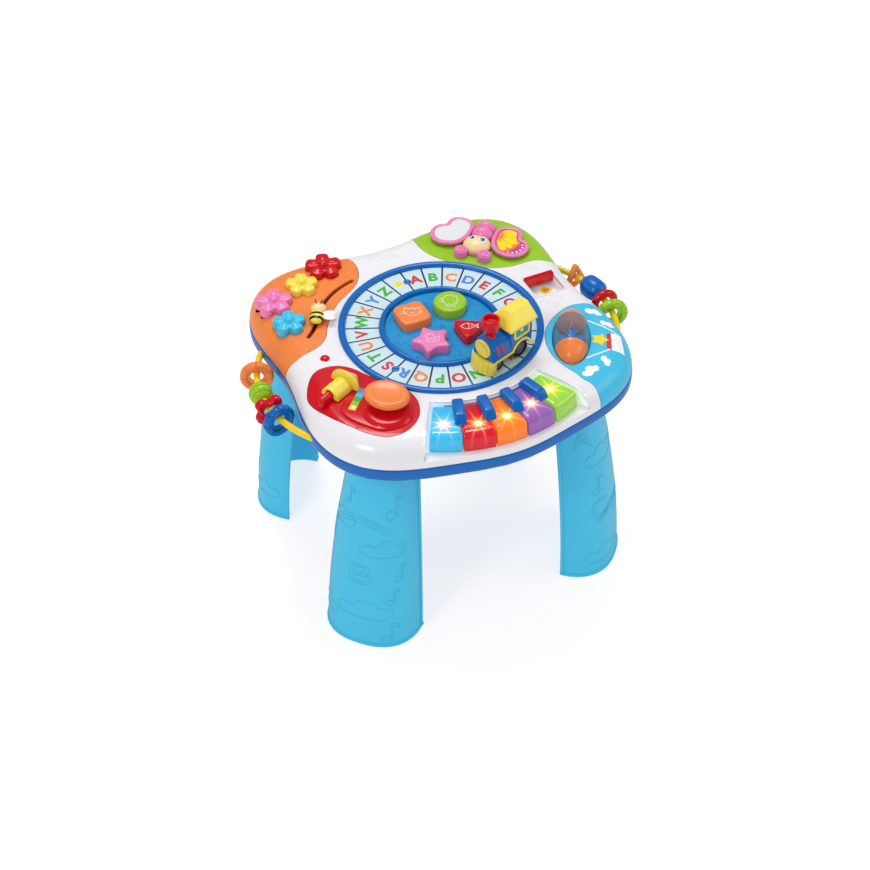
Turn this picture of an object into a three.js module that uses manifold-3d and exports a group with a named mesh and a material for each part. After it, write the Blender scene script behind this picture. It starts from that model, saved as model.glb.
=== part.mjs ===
// Musical activity table: a lobed play top on four open legs, with a train on a ring track,
// buttons, keys, a slider, a spinner and two beaded carry handles.
// Millimetres, +Z up, the floor at z = 0, the piano side towards -Y.

import * as THREE from 'three';
import { ConvexGeometry } from 'three/addons/geometries/ConvexGeometry.js';
import { mergeVertices } from 'three/addons/utils/BufferGeometryUtils.js';
import Module from 'manifold-3d';

const wasm = await Module();
wasm.setup();

// Clearances and common walls
const seam = 0.3; // between neighbouring pieces
const slack = 0.5; // round a piece that moves
const overrun = 20; // how far a cut runs past what it cuts
const cover_wall = 3;
const tray_wall = 3;
const rib_wall = 2.5;

// Heights
const leg_height = 285.2;
const rim_height = 17.7;
const edge_radius = 30; // rounded edge of the cover
const letter_drop = 1; // letter floor below the deck

// Plan of the top
const cover_radius = 213; // mean radius of the lobed outline
const ring_shift_y = 2.8; // ring centre from the middle of the footprint

// Sizes in plan, as shares of the mean radius of the top
const plan_shares = {
  track_inner: 0.3474,
  track_outer: 0.5352,
  board_radius: 0.2723,
  board_post_ring: 0.2347,
  large_flower_radius: 0.0986,
  small_flower_radius: 0.0859,
  slot_radius: 0.4695,
  wing_scale: 0.2347,
  window_width: 0.1878,
  window_length: 0.1761,
  spinner_half_length: 0.2207,
  spinner_radius: 0.1033,
  mound_radius: 0.1408,
  key_rear: 0.6667,
  key_front: 0.9249,
  bay_rear: 0.6385,
  sharp_from: 0.6901,
  sharp_to: 0.8357,
  handle_arc: 0.662,
  handle_centre_x: 0.3944,
  handle_centre_y: 0.0235,
  speaker_radius: 0.1221,
  speaker_y: 0.4319,
  switch_x: 0.3474,
};
const track_inner = plan_shares.track_inner * cover_radius;
const track_outer = plan_shares.track_outer * cover_radius;
const board_radius = plan_shares.board_radius * cover_radius;
const board_post_ring = plan_shares.board_post_ring * cover_radius;
const large_flower_radius = plan_shares.large_flower_radius * cover_radius;
const small_flower_radius = plan_shares.small_flower_radius * cover_radius;
const slot_radius = plan_shares.slot_radius * cover_radius;
const wing_scale = plan_shares.wing_scale * cover_radius;
const window_width = plan_shares.window_width * cover_radius;
const window_length = plan_shares.window_length * cover_radius;
const spinner_half_length = plan_shares.spinner_half_length * cover_radius;
const spinner_radius = plan_shares.spinner_radius * cover_radius;
const mound_radius = plan_shares.mound_radius * cover_radius;
const key_rear = plan_shares.key_rear * cover_radius;
const key_front = plan_shares.key_front * cover_radius;
const bay_rear = plan_shares.bay_rear * cover_radius;
const sharp_from = plan_shares.sharp_from * cover_radius;
const sharp_to = plan_shares.sharp_to * cover_radius;
const handle_arc = plan_shares.handle_arc * cover_radius;
const handle_centre_x = plan_shares.handle_centre_x * cover_radius;
const handle_centre_y = plan_shares.handle_centre_y * cover_radius;
const speaker_radius = plan_shares.speaker_radius * cover_radius;
const speaker_y = plan_shares.speaker_y * cover_radius;
const switch_x = plan_shares.switch_x * cover_radius;

// Shape buttons, as shares of the inner radius of the track
const island_shares = {
  square_button_side: 0.5,
  round_button_radius: 0.2703,
  triangle_button_reach: 0.3378,
  star_button_radius: 0.3311,
};
const square_button_side = island_shares.square_button_side * track_inner;
const round_button_radius = island_shares.round_button_radius * track_inner;
const triangle_button_reach = island_shares.triangle_button_reach * track_inner;
const star_button_radius = island_shares.star_button_radius * track_inner;

// Widths of the train, as shares of the width of the letter floor
const gauge_shares = {
  wheel_track: 0.3625,
  board_half_width: 0.435,
  chassis_half_width: 0.215,
  catcher_half_width: 0.405,
  boiler_radius: 0.355,
  boiler_foot_half_width: 0.415,
  lamp_disc_radius: 0.33,
  cab_half_width: 0.4,
  roof_half_width: 0.5,
};
const letter_floor_width = track_outer - track_inner;
const wheel_track = gauge_shares.wheel_track * letter_floor_width;
const board_half_width = gauge_shares.board_half_width * letter_floor_width;
const chassis_half_width = gauge_shares.chassis_half_width * letter_floor_width;
const catcher_half_width = gauge_shares.catcher_half_width * letter_floor_width;
const boiler_radius = gauge_shares.boiler_radius * letter_floor_width;
const boiler_foot_half_width = gauge_shares.boiler_foot_half_width * letter_floor_width;
const lamp_disc_radius = gauge_shares.lamp_disc_radius * letter_floor_width;
const cab_half_width = gauge_shares.cab_half_width * letter_floor_width;
const roof_half_width = gauge_shares.roof_half_width * letter_floor_width;

// Legs
const leg_half_width = 60;
const leg_depth = 56;
const leg_top_half_width = 56;
const leg_top_depth = 38;
const leg_top_set_in = 9;
const leg_wall = 3;
const leg_bead = 1.6;
const leg_bead_height = 5;
const leg_lip = 5;
const leg_top_plate = 3;
const leg_plug_inset = 6;
const leg_plug_height = 12;

// Track and island
const track_floor = 2.5;
const inner_bead = 7;
const inner_bead_rise = 4.5;
const outer_bead = 8.5;
const outer_bead_rise = 5;
const track_skirt = 8;
const track_skirt_wall = 4;
const island_drop = 8;
const island_plate_thickness = 2.5;
const island_ledge = 5;

// Shape buttons on the island
const button_rise = 4; // top above the letter floor
const button_travel = 3;
const button_bevel = 2;
const button_flange = 1.8;
const button_flange_thickness = 1.6;
const button_stem = 4;
const square_button_softness = 11;
const triangle_button_softness = 12;
const star_button_notch_share = 0.56;
const star_button_softness = 6;

// Circuit board
const board_thickness = 1.6;
const board_drop = 30; // top face below the letter floor
const board_dome_radius = 6;
const board_dome_rise = 1.2;
const board_post_radius = 4;

// Train, measured along the track and across it from the ring centre
const train_azimuth_degrees = -161; // heading in degrees
const train_inner_gap = 1; // from the inner bead to the wheels
const train_floor_gap = 0.3;
const rear_wheel_radius = 12;
const front_wheel_radius = 7.2;
const rear_axle_along = -27;
const front_axle_along = 8;
const wheel_thickness = 4.6;
const axle_radius = 2;
const axle_slack = 0.4;
const running_board = 2.6;
const running_board_rise = 18;
const fender_gap = 1.6;
const fender_tail_along = -49;
const fender_tail_rise = 11;
const chassis_bottom = 5;
const catcher_along = 19;
const catcher_low = 1.6;
const catcher_bulge = 6.5;
const catcher_slope = 3;
const catcher_thickness = 4;
const catcher_rib = 0.9;
const boiler_centre_rise = 31.8;
const boiler_nose_along = 20.5;
const lamp_disc_thickness = 1.4;
const cab_front_along = -11;
const cab_rear_along = -46;
const cab_top_rise = 48;
const roof_front_along = -8.5;
const roof_rear_along = -52;
const roof_low_rise = 46.4;
const roof_eave = 3.4;
const roof_ridge_rise = 63.5;
const roof_hip = 15;
const roof_ridge_half_width = 5.5;
const window_sill_rise = 31;
const window_margin = 5;
const window_corner = 4;
const window_frame = 1.4;
const chimney_along = 9;
const chimney_foot_radius = 5;
const chimney_flare_radius = 10.5;
const chimney_flare_rise = 60;
const chimney_top_rise = 70;
const chimney_lip = 3.4;
const chimney_bowl = 5;

// Flower panel
const flower_rise = 10;
const flower_samples = 25;
const flower_flange = 1.8;
const flower_petals = 5;
const flower_notch_share = 0.36;
const flower_eye_share = 0.3;
const flower_bevel = 1.6;
const switch_post_radius = 6;
const button_post_rise = 14; // switch posts above the tray floor

// Bee and its slot
const slot_half_width = 2.8;
const bee_rest_share = [-0.592, 0.362];
const slot_near_angle_degrees = -30; // from the centre of the near arc to the resting bee
const slot_near_travel_degrees = -21;
const slot_far_angle_degrees = 150;
const slot_far_travel_degrees = -48;
const bee_stem = 2.2;
const bee_foot_gap = 0.6;
const bee_washer_radius = 5;
const bee_washer_thickness = 1.6;
const bee_half_length = 12;
const bee_half_width = 6.6;
const bee_height = 10;
const bee_wing_length = 7;
const bee_wing_width = 4.6;
const bee_heading = 60;

// Butterfly
const butterfly_axis_degrees = 45.6; // from the ring centre outwards, degrees
const butterfly_share = [0.596, 0.648];
const butterfly_body_radius = 15;
const butterfly_body_length = 17.5;
const butterfly_body_rise = 15.5;
const butterfly_waist = 1.2;
const butterfly_plinth = 4;
const face_half_width = 17.5;
const face_half_length = 15.5;
const face_rise = 13.5;
const face_set = 30;
const curl_radius = 8.8;
const curl_rise = 11;
const curl_set = 49;
const curl_spread = 16;
const curl_arm = 3;
const wing_low = 3.4;
const wing_thickness = 4;
const wing_bevel = 1;
const mirror_inset = 6.5;
const mirror_thickness = 1.6;
const mirror_recess = 1.2;

// Peekaboo window
const window_share = [0.695, 0.081];
const window_depth = 14;
const window_softness = 5;
const shutter_bar = 5.6;
const shutter_rise = 5;
const shutter_drop = 9;
const shutter_plate = 1.8;
const shutter_plate_drop = 2.8;
const shutter_tongue = 36;
const shutter_travel = 28;

// Balloon panel and spinner
const spinner_share = [0.604, -0.41];
const spinner_axis_degrees = 61.4; // degrees from +X
const spinner_rise = 1.5;
const spinner_wall = 2;
const spinner_near_seam_share = -0.17;
const spinner_far_seam_share = 0.76;
const spinner_gap = 1.2;
const spinner_axle = 2;
const spinner_pin = 4.4;
const spinner_lug = 4;
const spinner_lug_half_width = 3.6;
const plane_length = 26;
const plane_radius = 5;
const plane_wing_span = 26;
const plane_wing_chord = 7;
const plane_wing_thickness = 2;

// Lever panel
const plateau_rise = 2.4;
const mound_share = [-0.573, -0.531];
const mound_rise = 6;
const mound_shoulder = 7;
const paddle_share = [-0.554, -0.484];
const paddle_half_length = 24.5;
const paddle_half_width = 22.5;
const paddle_low = 13;
const paddle_thickness = 10;
const paddle_stem = 6;
const paddle_swing = 8;
const paddle_pivot_drop = 8;
const paddle_pin = 2.5;
const paddle_pin_half_length = 11;
const paddle_azimuth_degrees = 55;
const arrow_share = [-0.71, -0.242];
const arrow_azimuth_degrees = 27;
const arrow_half_length = 22;
const arrow_head_length = 17;
const arrow_head_radius = 20.5;
const arrow_brim = 3;
const arrow_tip_radius = 2.5;
const arrow_shaft_radius = 12.5;
const arrow_low = 2;
const arrow_bevel = 2;
const arrow_travel = 11;
const rail_half_width = 5;
const rail_rise = 11;
const rail_half_length = 27;

// Lamp lens
const lens_share = [-0.695, 0.023];
const lens_radius = 5.5;
const lens_rise = 2.6;
const lens_flange = 2;
const lens_flange_thickness = 1.5;

// Piano
const key_count = 5;
const key_pitch_degrees = 11.2; // degrees
const key_middle_degrees = -90;
const key_wall = 2.5;
const key_bevel = 1.2;
const key_gap = 0.9; // between two keys
const key_skirt = 20;
const key_swing = 4;
const bay_from_degrees = -122;
const bay_to_degrees = -60;
const bay_wall = 2.5;
const bay_depth = 26.5; // well under the keys, below the deck
const bay_lip_depth = 22;
const sharp_half_width = 6;
const sharp_rise = 9;
const sharp_bevel = 2.4;
const comb_drop = 8;

// Handles and beads
const handle_radius = 4;
const handle_drop = 38; // below the letter floor
const handle_from_degrees = -37;
const handle_to_degrees = 37;
const bead_slack = 0.5;
const ring_hole = 8;
const ring_tube = 12.5;
const octagon_radius = 20.5;
const octagon_thickness = 10;
const octagon_segment = 1.2;
const lobed_radius = 20;
const lobed_lobes = 4;
const lobed_depth_share = 0.4;
const lobed_thickness = 11;
const lobed_chamfer = 2.4;
const plain_radius = 18;
const plain_tube = 5;
const triangle_radius = 23;
const triangle_thickness = 9;
const triangle_tube = 7.5;
const triangle_web_share = 1.6;
const ball_radius = 14.4;
const ball_ridges = 4;
const ball_groove_share = 0.1;
const ball_pole_degrees = 24;
const barrel_radius = 15;
const barrel_end_radius = 9.5;
const barrel_half_length = 17;
const barrel_facets = 8;

// Underside
const battery_length = 92;
const battery_width = 62;
const battery_door_thickness = 1.6;
const battery_ledge = 2.5;
const battery_wall_rise = 9;
const battery_y = -5;
const battery_grip = 12;
const battery_grip_depth = 0.7;
const switch_length = 16;
const switch_width = 7;
const switch_knob_length = 8;
const switch_base = 2.4;
const switch_proud = 2;
const switch_travel = 5;
const switch_overlap = 3;
const speaker_height = 13;
const speaker_magnet_radius = 12;
const grille_slot = 2.2;
const grille_pitch = 6;
const grille_count = 7;
const post_radius = 4.5;
const post_split = 9; // where cover posts meet tray posts, above the tray floor

// Heights that follow
const tray_z = leg_height + seam;
const rim_top_z = tray_z + rim_height;
const edge_z = rim_top_z + seam;
const deck_z = edge_z + edge_radius;
const letter_z = deck_z - letter_drop;
const deck_under_z = deck_z - cover_wall;
const tray_floor_z = tray_z + tray_wall;
const island_z = letter_z - island_drop;
const island_under_z = island_z - island_plate_thickness;
const board_z = letter_z - board_drop;
const split_z = tray_floor_z + post_split;

// Outline of the top: a polar curve as shares of its mean radius
const outline_sine_shares = { 1: -0.003, 3: 0.0164, 5: -0.0324 };
const outline_cosine_shares = { 2: 0.0066, 4: -0.0976, 6: -0.0108, 8: 0.007 };

// Edges of the coloured panels, as shares of the mean radius
const flower_edge_shares = [
  [-0.291, 0.892], [-0.235, 0.836], [-0.207, 0.751], [-0.207, 0.681], [-0.235, 0.601],
  [-0.286, 0.535], [-0.352, 0.488], [-0.451, 0.42], [-0.568, 0.276], [-0.62, 0.185],
  [-0.662, 0.146], [-0.714, 0.12], [-0.775, 0.106], [-0.84, 0.1], [-0.911, 0.117],
];
const flower_outside_shares = [[-1.4, 0.117], [-1.4, 1.4], [-0.291, 1.4]];
const meadow_edge_shares = [
  [0.901, 0.282], [0.826, 0.275], [0.735, 0.305], [0.604, 0.31], [0.491, 0.346],
  [0.366, 0.427], [0.282, 0.521], [0.225, 0.613], [0.2, 0.712], [0.202, 0.803], [0.188, 0.883],
];
const meadow_outside_shares = [[0.188, 1.4], [1.4, 1.4], [1.4, 0.282]];
const balloon_edge_shares = [
  [0.549, -0.85], [0.533, -0.789], [0.498, -0.742], [0.488, -0.69], [0.455, -0.599],
  [0.441, -0.498], [0.455, -0.399], [0.498, -0.3], [0.573, -0.225], [0.667, -0.172],
  [0.737, -0.155], [0.798, -0.164], [0.925, -0.188],
];
const balloon_outside_shares = [[1.4, -0.188], [1.4, -1.4], [0.549, -1.4]];
const lever_edge_shares = [
  [-0.892, -0.188], [-0.822, -0.08], [-0.751, -0.047], [-0.657, -0.064], [-0.596, -0.115],
  [-0.559, -0.205], [-0.529, -0.275], [-0.469, -0.423], [-0.415, -0.603], [-0.484, -0.657],
  [-0.568, -0.707], [-0.653, -0.695], [-0.732, -0.638], [-0.786, -0.549], [-0.853, -0.427],
  [-0.897, -0.282],
];
// Raised step round the mound, as shares of the mean radius
const plateau_edge_shares = [
  [-0.47, -0.55], [-0.5, -0.63], [-0.57, -0.66], [-0.65, -0.65], [-0.72, -0.58], [-0.785, -0.47],
  [-0.79, -0.4], [-0.75, -0.36], [-0.68, -0.36], [-0.6, -0.36], [-0.53, -0.38], [-0.48, -0.46],
];

// Places, as shares of the mean radius of the top
const leg_place_shares = {
  leg_front_right: [0.643, -0.488],
  leg_front_left: [-0.643, -0.488],
  leg_back_right: [0.634, 0.643],
  leg_back_left: [-0.634, 0.643],
};
const leg_azimuth_degrees = 41.9; // outward direction from the X axis
const flower_place_shares = {
  flower_red: [-0.387, 0.756],
  flower_yellow: [-0.565, 0.653],
  flower_pink: [-0.767, 0.577],
  flower_blue: [-0.761, 0.371],
};
const cover_post_shares = [
  [0, 0.775], [-0.81, 0.038], [0.86, -0.085], [-0.554, -0.742], [0.399, -0.61],
];
const leg_plug_shift_share = 0.12;

// Places of the shape buttons, as shares of the inner radius of the track
const square_place_share = [-0.338, 0.37];
const round_place_share = [0.342, 0.368];
const triangle_place_share = [0.32, -0.342];
const star_place_share = [-0.338, -0.358];

// Outline of the right-hand wing: away from the body, then towards the face
const wing_outline_shares = [
  [0.28, -0.1], [0.36, -0.24], [0.52, -0.33], [0.72, -0.35], [0.88, -0.28], [0.97, -0.14],
  [0.99, 0.02], [1.16, 0.12], [1.26, 0.3], [1.25, 0.52], [1.14, 0.7], [0.96, 0.806],
  [0.76, 0.812], [0.54, 0.74], [0.4, 0.6], [0.31, 0.4], [0.27, 0.16],
];

const radians = (degrees) => THREE.MathUtils.degToRad(degrees);
const at = ([x, y]) => [x * cover_radius, y * cover_radius];
const island_at = ([x, y]) => [x * track_inner, y * track_inner];
const around = ([x, y], radius, degrees) => [
  x + radius * Math.cos(radians(degrees)),
  y + radius * Math.sin(radians(degrees)),
];

// Solids

// A closed geometry as a solid with its faces pointing out.
function solid(geometry) {
  const bare = geometry.clone();
  bare.deleteAttribute('normal');
  bare.deleteAttribute('uv');
  const merged = mergeVertices(bare, 1e-4);
  const corners = merged.index.array;
  const kept = [];
  for (let i = 0; i < corners.length; i += 3) {
    const [a, b, c] = [corners[i], corners[i + 1], corners[i + 2]];
    if (a !== b && b !== c && c !== a) kept.push(a, b, c);
  }
  const made = (triangles) => new wasm.Manifold(new wasm.Mesh({
    numProp: 3,
    vertProperties: merged.attributes.position.array,
    triVerts: new Uint32Array(triangles),
  }));
  const first = made(kept);
  return first.volume() < 0 ? made(kept.reverse()) : first;
}

function geometryOf(body) {
  const mesh = body.getMesh();
  const geometry = new THREE.BufferGeometry();
  geometry.setAttribute('position', new THREE.BufferAttribute(mesh.vertProperties, 3));
  geometry.setIndex(new THREE.BufferAttribute(mesh.triVerts, 1));
  geometry.computeVertexNormals();
  return geometry;
}

const join = (...bodies) => bodies.reduce((whole, body) => whole.add(body));
const cut = (body, ...tools) => tools.reduce((rest, tool) => rest.subtract(tool), body);

// A body moved and turned about Z.
function placed(body, [x, y], z = 0, degrees = 0) {
  const geometry = geometryOf(body);
  geometry.rotateZ(radians(degrees));
  geometry.translate(x, y, z);
  return solid(geometry);
}

const vector = ([x, y]) => new THREE.Vector2(x, y);
const shape = (points) => new THREE.Shape(points.map(vector));

function prism(points, low, high) {
  const geometry = new THREE.ExtrudeGeometry(shape(points), { depth: high - low, bevelEnabled: false });
  return solid(geometry.translate(0, 0, low));
}

const anticlockwise = (points) => (
  THREE.ShapeUtils.isClockWise(points.map(vector)) ? [...points].reverse() : points);

// A prism whose upper edge is chamfered.
function pillow(points, low, high, bevel) {
  const flat = anticlockwise(points);
  const ring = (inset, z) => grow(flat, -inset).map(([x, y]) => [x, y, z]);
  return loft([ring(0, low), ring(0, high - bevel), ring(bevel, high)], flat);
}

// A slab about z = 0 whose two faces are chamfered.
function slab(points, thickness, chamfer) {
  const flat = anticlockwise(points);
  const ring = (inset, z) => grow(flat, -inset).map(([x, y]) => [x, y, z]);
  const half = thickness / 2;
  const rings = [ring(chamfer, -half), ring(0, chamfer - half), ring(0, half - chamfer), ring(chamfer, half)];
  return loft(rings, flat);
}

function box(x0, x1, y0, y1, z0, z1) {
  return prism([[x0, y0], [x1, y0], [x1, y1], [x0, y1]], z0, z1);
}

// A body of revolution about Z from a profile of [radius, height].
function revolve(profile, steps) {
  return solid(new THREE.LatheGeometry(profile.map(vector), steps).rotateX(Math.PI / 2));
}

function ellipsoid(rx, ry, rz, [x, y, z], steps) {
  return solid(new THREE.SphereGeometry(1, steps, steps / 2).scale(rx, ry, rz).translate(x, y, z));
}

// A skin through rings of equal count, closed by the flat outline at both ends.
function loft(rings, flat) {
  const count = flat.length;
  const index = [];
  for (let level = 0; level + 1 < rings.length; level += 1) {
    for (let i = 0; i < count; i += 1) {
      const a = level * count + i;
      const b = level * count + (i + 1) % count;
      index.push(a, b, b + count, a, b + count, a + count);
    }
  }
  const last = (rings.length - 1) * count;
  for (const [a, b, c] of THREE.ShapeUtils.triangulateShape(flat.map(vector), [])) {
    index.push(a, c, b, last + a, last + b, last + c);
  }
  const geometry = new THREE.BufferGeometry();
  geometry.setAttribute('position', new THREE.Float32BufferAttribute(rings.flat(2), 3));
  geometry.setIndex(index);
  return solid(geometry);
}

// Outlines

function circle([x, y], radius, steps) {
  return Array.from({ length: steps }, (_, i) => around([x, y], radius, (360 * i) / steps));
}

function arc(centre, radius, from, to, steps) {
  return Array.from({ length: steps + 1 }, (_, i) => around(centre, radius, from + ((to - from) * i) / steps));
}

function sector(centre, inner, outer, from, to, steps) {
  return [...arc(centre, outer, from, to, steps), ...arc(centre, inner, to, from, steps)];
}

const disc = (centre, radius, low, high, steps = 12) => prism(circle(centre, radius, steps), low, high);

// Points of a smooth curve through the given ones.
function smooth(points, steps, closed = false) {
  const spots = points.map(([x, y]) => new THREE.Vector3(x, y, 0));
  const curve = new THREE.CatmullRomCurve3(spots, closed, 'centripetal');
  const drawn = curve.getPoints(steps).map(({ x, y }) => [x, y]);
  return closed ? drawn.slice(0, -1) : drawn;
}

// A polygon whose corners are cut back and rounded.
function soften(corners, back, steps = 4) {
  return corners.flatMap((corner, i) => {
    const here = vector(corner);
    const before = vector(corners.at(i - 1)).sub(here).setLength(back).add(here);
    const after = vector(corners[(i + 1) % corners.length]).sub(here).setLength(back).add(here);
    return new THREE.QuadraticBezierCurve(before, here, after).getPoints(steps).map(({ x, y }) => [x, y]);
  });
}

// An outline moved out by an amount, or in where it is negative, corners kept.
function grow(points, amount) {
  const turn = THREE.ShapeUtils.isClockWise(points.map(vector)) ? -1 : 1;
  return points.map((point, i) => {
    const here = vector(point);
    const back = here.clone().sub(vector(points.at(i - 1))).normalize();
    const ahead = vector(points[(i + 1) % points.length]).sub(here).normalize();
    const sum = new THREE.Vector2(back.y + ahead.y, -back.x - ahead.x);
    const shift = sum.multiplyScalar((amount * turn) / (1 + back.dot(ahead)));
    return [here.x + shift.x, here.y + shift.y];
  });
}

const moved = (points, [x, y]) => points.map(([px, py]) => [px + x, py + y]);

function turned(points, degrees) {
  const [c, s] = [Math.cos(radians(degrees)), Math.sin(radians(degrees))];
  return points.map(([x, y]) => [x * c - y * s, x * s + y * c]);
}

// A radius that swells and dips round the circle.
function rippled(radius, count, depth_share, steps, sharpness = 1) {
  return Array.from({ length: steps }, (_, i) => {
    const degrees = (360 * i) / steps;
    const dip = Math.abs(Math.sin(radians((degrees * count) / 2))) ** sharpness;
    return around([0, 0], radius * (1 - depth_share * dip), degrees);
  });
}

// The lobed outline of the top

const outline_steps = 42;
const ring_steps = 32;

function outlineRadius(angle) {
  let share = 1;
  for (const [n, sine] of Object.entries(outline_sine_shares)) share += sine * Math.sin(n * angle);
  for (const [n, cosine] of Object.entries(outline_cosine_shares)) share += cosine * Math.cos(n * angle);
  return share * cover_radius;
}

function outlineSlope(angle) {
  let share = 0;
  for (const [n, sine] of Object.entries(outline_sine_shares)) share += n * sine * Math.cos(n * angle);
  for (const [n, cosine] of Object.entries(outline_cosine_shares)) share -= n * cosine * Math.sin(n * angle);
  return share * cover_radius;
}

function outlinePoint(angle, inset) {
  const [r, slope] = [outlineRadius(angle), outlineSlope(angle)];
  const size = Math.hypot(r, slope);
  const [c, s] = [Math.cos(angle), Math.sin(angle)];
  const normal = [(r * c + slope * s) / size, (r * s - slope * c) / size];
  return [r * c - inset * normal[0], r * s - inset * normal[1]];
}

// A body with the lobed outline from a profile of [inset, height], closed on the axis.
function lobed(profile, low, high) {
  const positions = [0, 0, low];
  for (const [inset, z] of profile) {
    for (let i = 0; i < outline_steps; i += 1) {
      positions.push(...outlinePoint((2 * Math.PI * i) / outline_steps, inset), z);
    }
  }
  positions.push(0, 0, high);
  const last = positions.length / 3 - 1;
  const index = [];
  for (let i = 0; i < outline_steps; i += 1) {
    const next = (i + 1) % outline_steps;
    index.push(0, 1 + next, 1 + i);
    for (let level = 0; level + 1 < profile.length; level += 1) {
      const [a, b] = [1 + level * outline_steps + i, 1 + level * outline_steps + next];
      index.push(a, b, b + outline_steps, a, b + outline_steps, a + outline_steps);
    }
    index.push(last, last - outline_steps + i, last - outline_steps + next);
  }
  const geometry = new THREE.BufferGeometry();
  geometry.setAttribute('position', new THREE.Float32BufferAttribute(positions, 3));
  geometry.setIndex(index);
  return solid(geometry);
}

function domeProfile(radius, inset, degrees) {
  return degrees.map((angle) => [
    inset + radius * (1 - Math.sin(radians(angle))),
    edge_z + radius * Math.cos(radians(angle)),
  ]);
}

const dome_outside = domeProfile(edge_radius, 0, [90, 60, 30, 0]);
const dome_inside = domeProfile(edge_radius - cover_wall, cover_wall, [0, 45, 90]);
const full_dome = lobed(dome_outside, edge_z, deck_z);
// What lies inside the shell, clear of its skin.
const dome_room = lobed(
  domeProfile(edge_radius - cover_wall - seam, cover_wall + seam, [90, 45, 0]), edge_z, deck_under_z - seam);
const dome_shell = lobed([...dome_inside, ...dome_outside], deck_under_z, deck_z);

// Assembly

const table = new THREE.Group();
table.position.y = ring_shift_y;
const train = new THREE.Group();
train.rotation.z = radians(train_azimuth_degrees);
table.add(train);

function plastic(color, roughness = 0.35) {
  return new THREE.MeshStandardMaterial({ color, roughness, metalness: 0 });
}

const white = plastic(0xf2f1f6);
const blue = plastic(0x0a5cb0);
const pale_blue = plastic(0x3cb9e6);
const orange = plastic(0xf59650);
const green = plastic(0xa0cd37);
const red = plastic(0xc8192d);
const pink = plastic(0xf596c8);
const yellow = plastic(0xfae650);
const black = plastic(0x141419, 0.5);
const cream = plastic(0xfadc96);
const clear_grey = plastic(0x7896aa, 0.1);
const board_green = plastic(0x1e6e3c, 0.6);

function add(name, body, material, parent = table) {
  const mesh = new THREE.Mesh(geometryOf(body), material);
  mesh.name = name;
  parent.add(mesh);
  return mesh;
}

// Legs

// Half of a rounded section: outward reach against half width, from one edge to the other.
function legArc(depth, half_width, steps = 9) {
  return Array.from({ length: steps + 1 }, (_, i) => {
    const angle = radians(-90 + (180 * i) / steps);
    const power = (value) => Math.sign(value) * Math.abs(value) ** (2 / 2.4);
    return [depth * power(Math.cos(angle)), half_width * power(Math.sin(angle))];
  });
}

// The open section of a leg wall, with a bead of the given size along both edges.
function legSection(depth, half_width, bead) {
  const outside = legArc(depth + bead, half_width + bead).slice(1, -1);
  const inside = legArc(depth - leg_wall, half_width - leg_wall).reverse();
  const rim = half_width + leg_bead;
  return [[0, -rim], [leg_lip, -rim], ...outside.filter(([u]) => u > leg_lip), [leg_lip, rim], [0, rim], ...inside];
}

const legTopArc = (inset) => legArc(leg_top_depth - inset, leg_top_half_width - inset);

// Where a leg stands and which way it faces.
function legFrame(share) {
  const [x, y] = around([0, 0], 1, leg_azimuth_degrees);
  const outward = Math.atan2(Math.sign(share[1]) * y, Math.sign(share[0]) * x);
  return { place: at(share), degrees: outward * THREE.MathUtils.RAD2DEG };
}

// The plug on top of a leg and the socket that takes it share one outline.
function legPlug(inset) {
  const shift = leg_plug_shift_share * leg_top_depth - leg_top_set_in;
  return moved(legTopArc(inset), [shift, 0]);
}

function leg() {
  const lift = (points, set_in, z) => points.map(([u, v]) => [u - set_in, v, z]);
  const foot = legSection(leg_depth, leg_half_width, leg_bead);
  const plain = legSection(leg_depth, leg_half_width, 0);
  const top = legSection(leg_top_depth, leg_top_half_width, 0);
  const wall = loft([
    lift(foot, 0, 0),
    lift(foot, 0, leg_bead_height),
    lift(plain, 0, leg_bead_height),
    lift(top, leg_top_set_in, leg_height),
  ], plain);
  const plate = prism(moved(legTopArc(leg_wall / 2), [-leg_top_set_in, 0]), leg_height - leg_top_plate, leg_height);
  const plug = prism(legPlug(leg_plug_inset), leg_height - leg_top_plate, leg_height + leg_plug_height);
  return join(wall, plate, plug);
}

for (const [name, share] of Object.entries(leg_place_shares)) {
  const { place, degrees } = legFrame(share);
  const mesh = add(name, leg(), pale_blue);
  mesh.position.set(...place, 0);
  mesh.rotation.z = radians(degrees);
}

// Handles: an arc of rod at each side

const handle_z = letter_z - handle_drop;

// A ring of points round the rod, or round a bead on it, at an angle along the handle arc.
function rodRing(side, degrees, radius, steps) {
  return circle([0, 0], radius, steps).map(([a, z]) => {
    const reach = handle_arc + a;
    const [x, y] = around([handle_centre_x, handle_centre_y], reach, degrees);
    return [side * x, y, handle_z + z];
  });
}

const rod_sides = 8;

function handleRod(side, radius, steps = 12) {
  const flat = circle([0, 0], radius, rod_sides);
  const rings = Array.from({ length: steps + 1 }, (_, i) => {
    const degrees = handle_from_degrees + ((handle_to_degrees - handle_from_degrees) * i) / steps;
    return rodRing(side, degrees, radius, rod_sides);
  });
  return loft(rings, flat);
}

// Underside: the tray with its rim, sockets, posts and battery box

const tray_profile_inside = [[tray_wall, tray_floor_z], [tray_wall, rim_top_z]];
const tray_profile_outside = [
  [seam, rim_top_z], [0, rim_top_z - leg_bead], [0, tray_z + tray_wall], [tray_wall / 2, tray_z],
];

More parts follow.
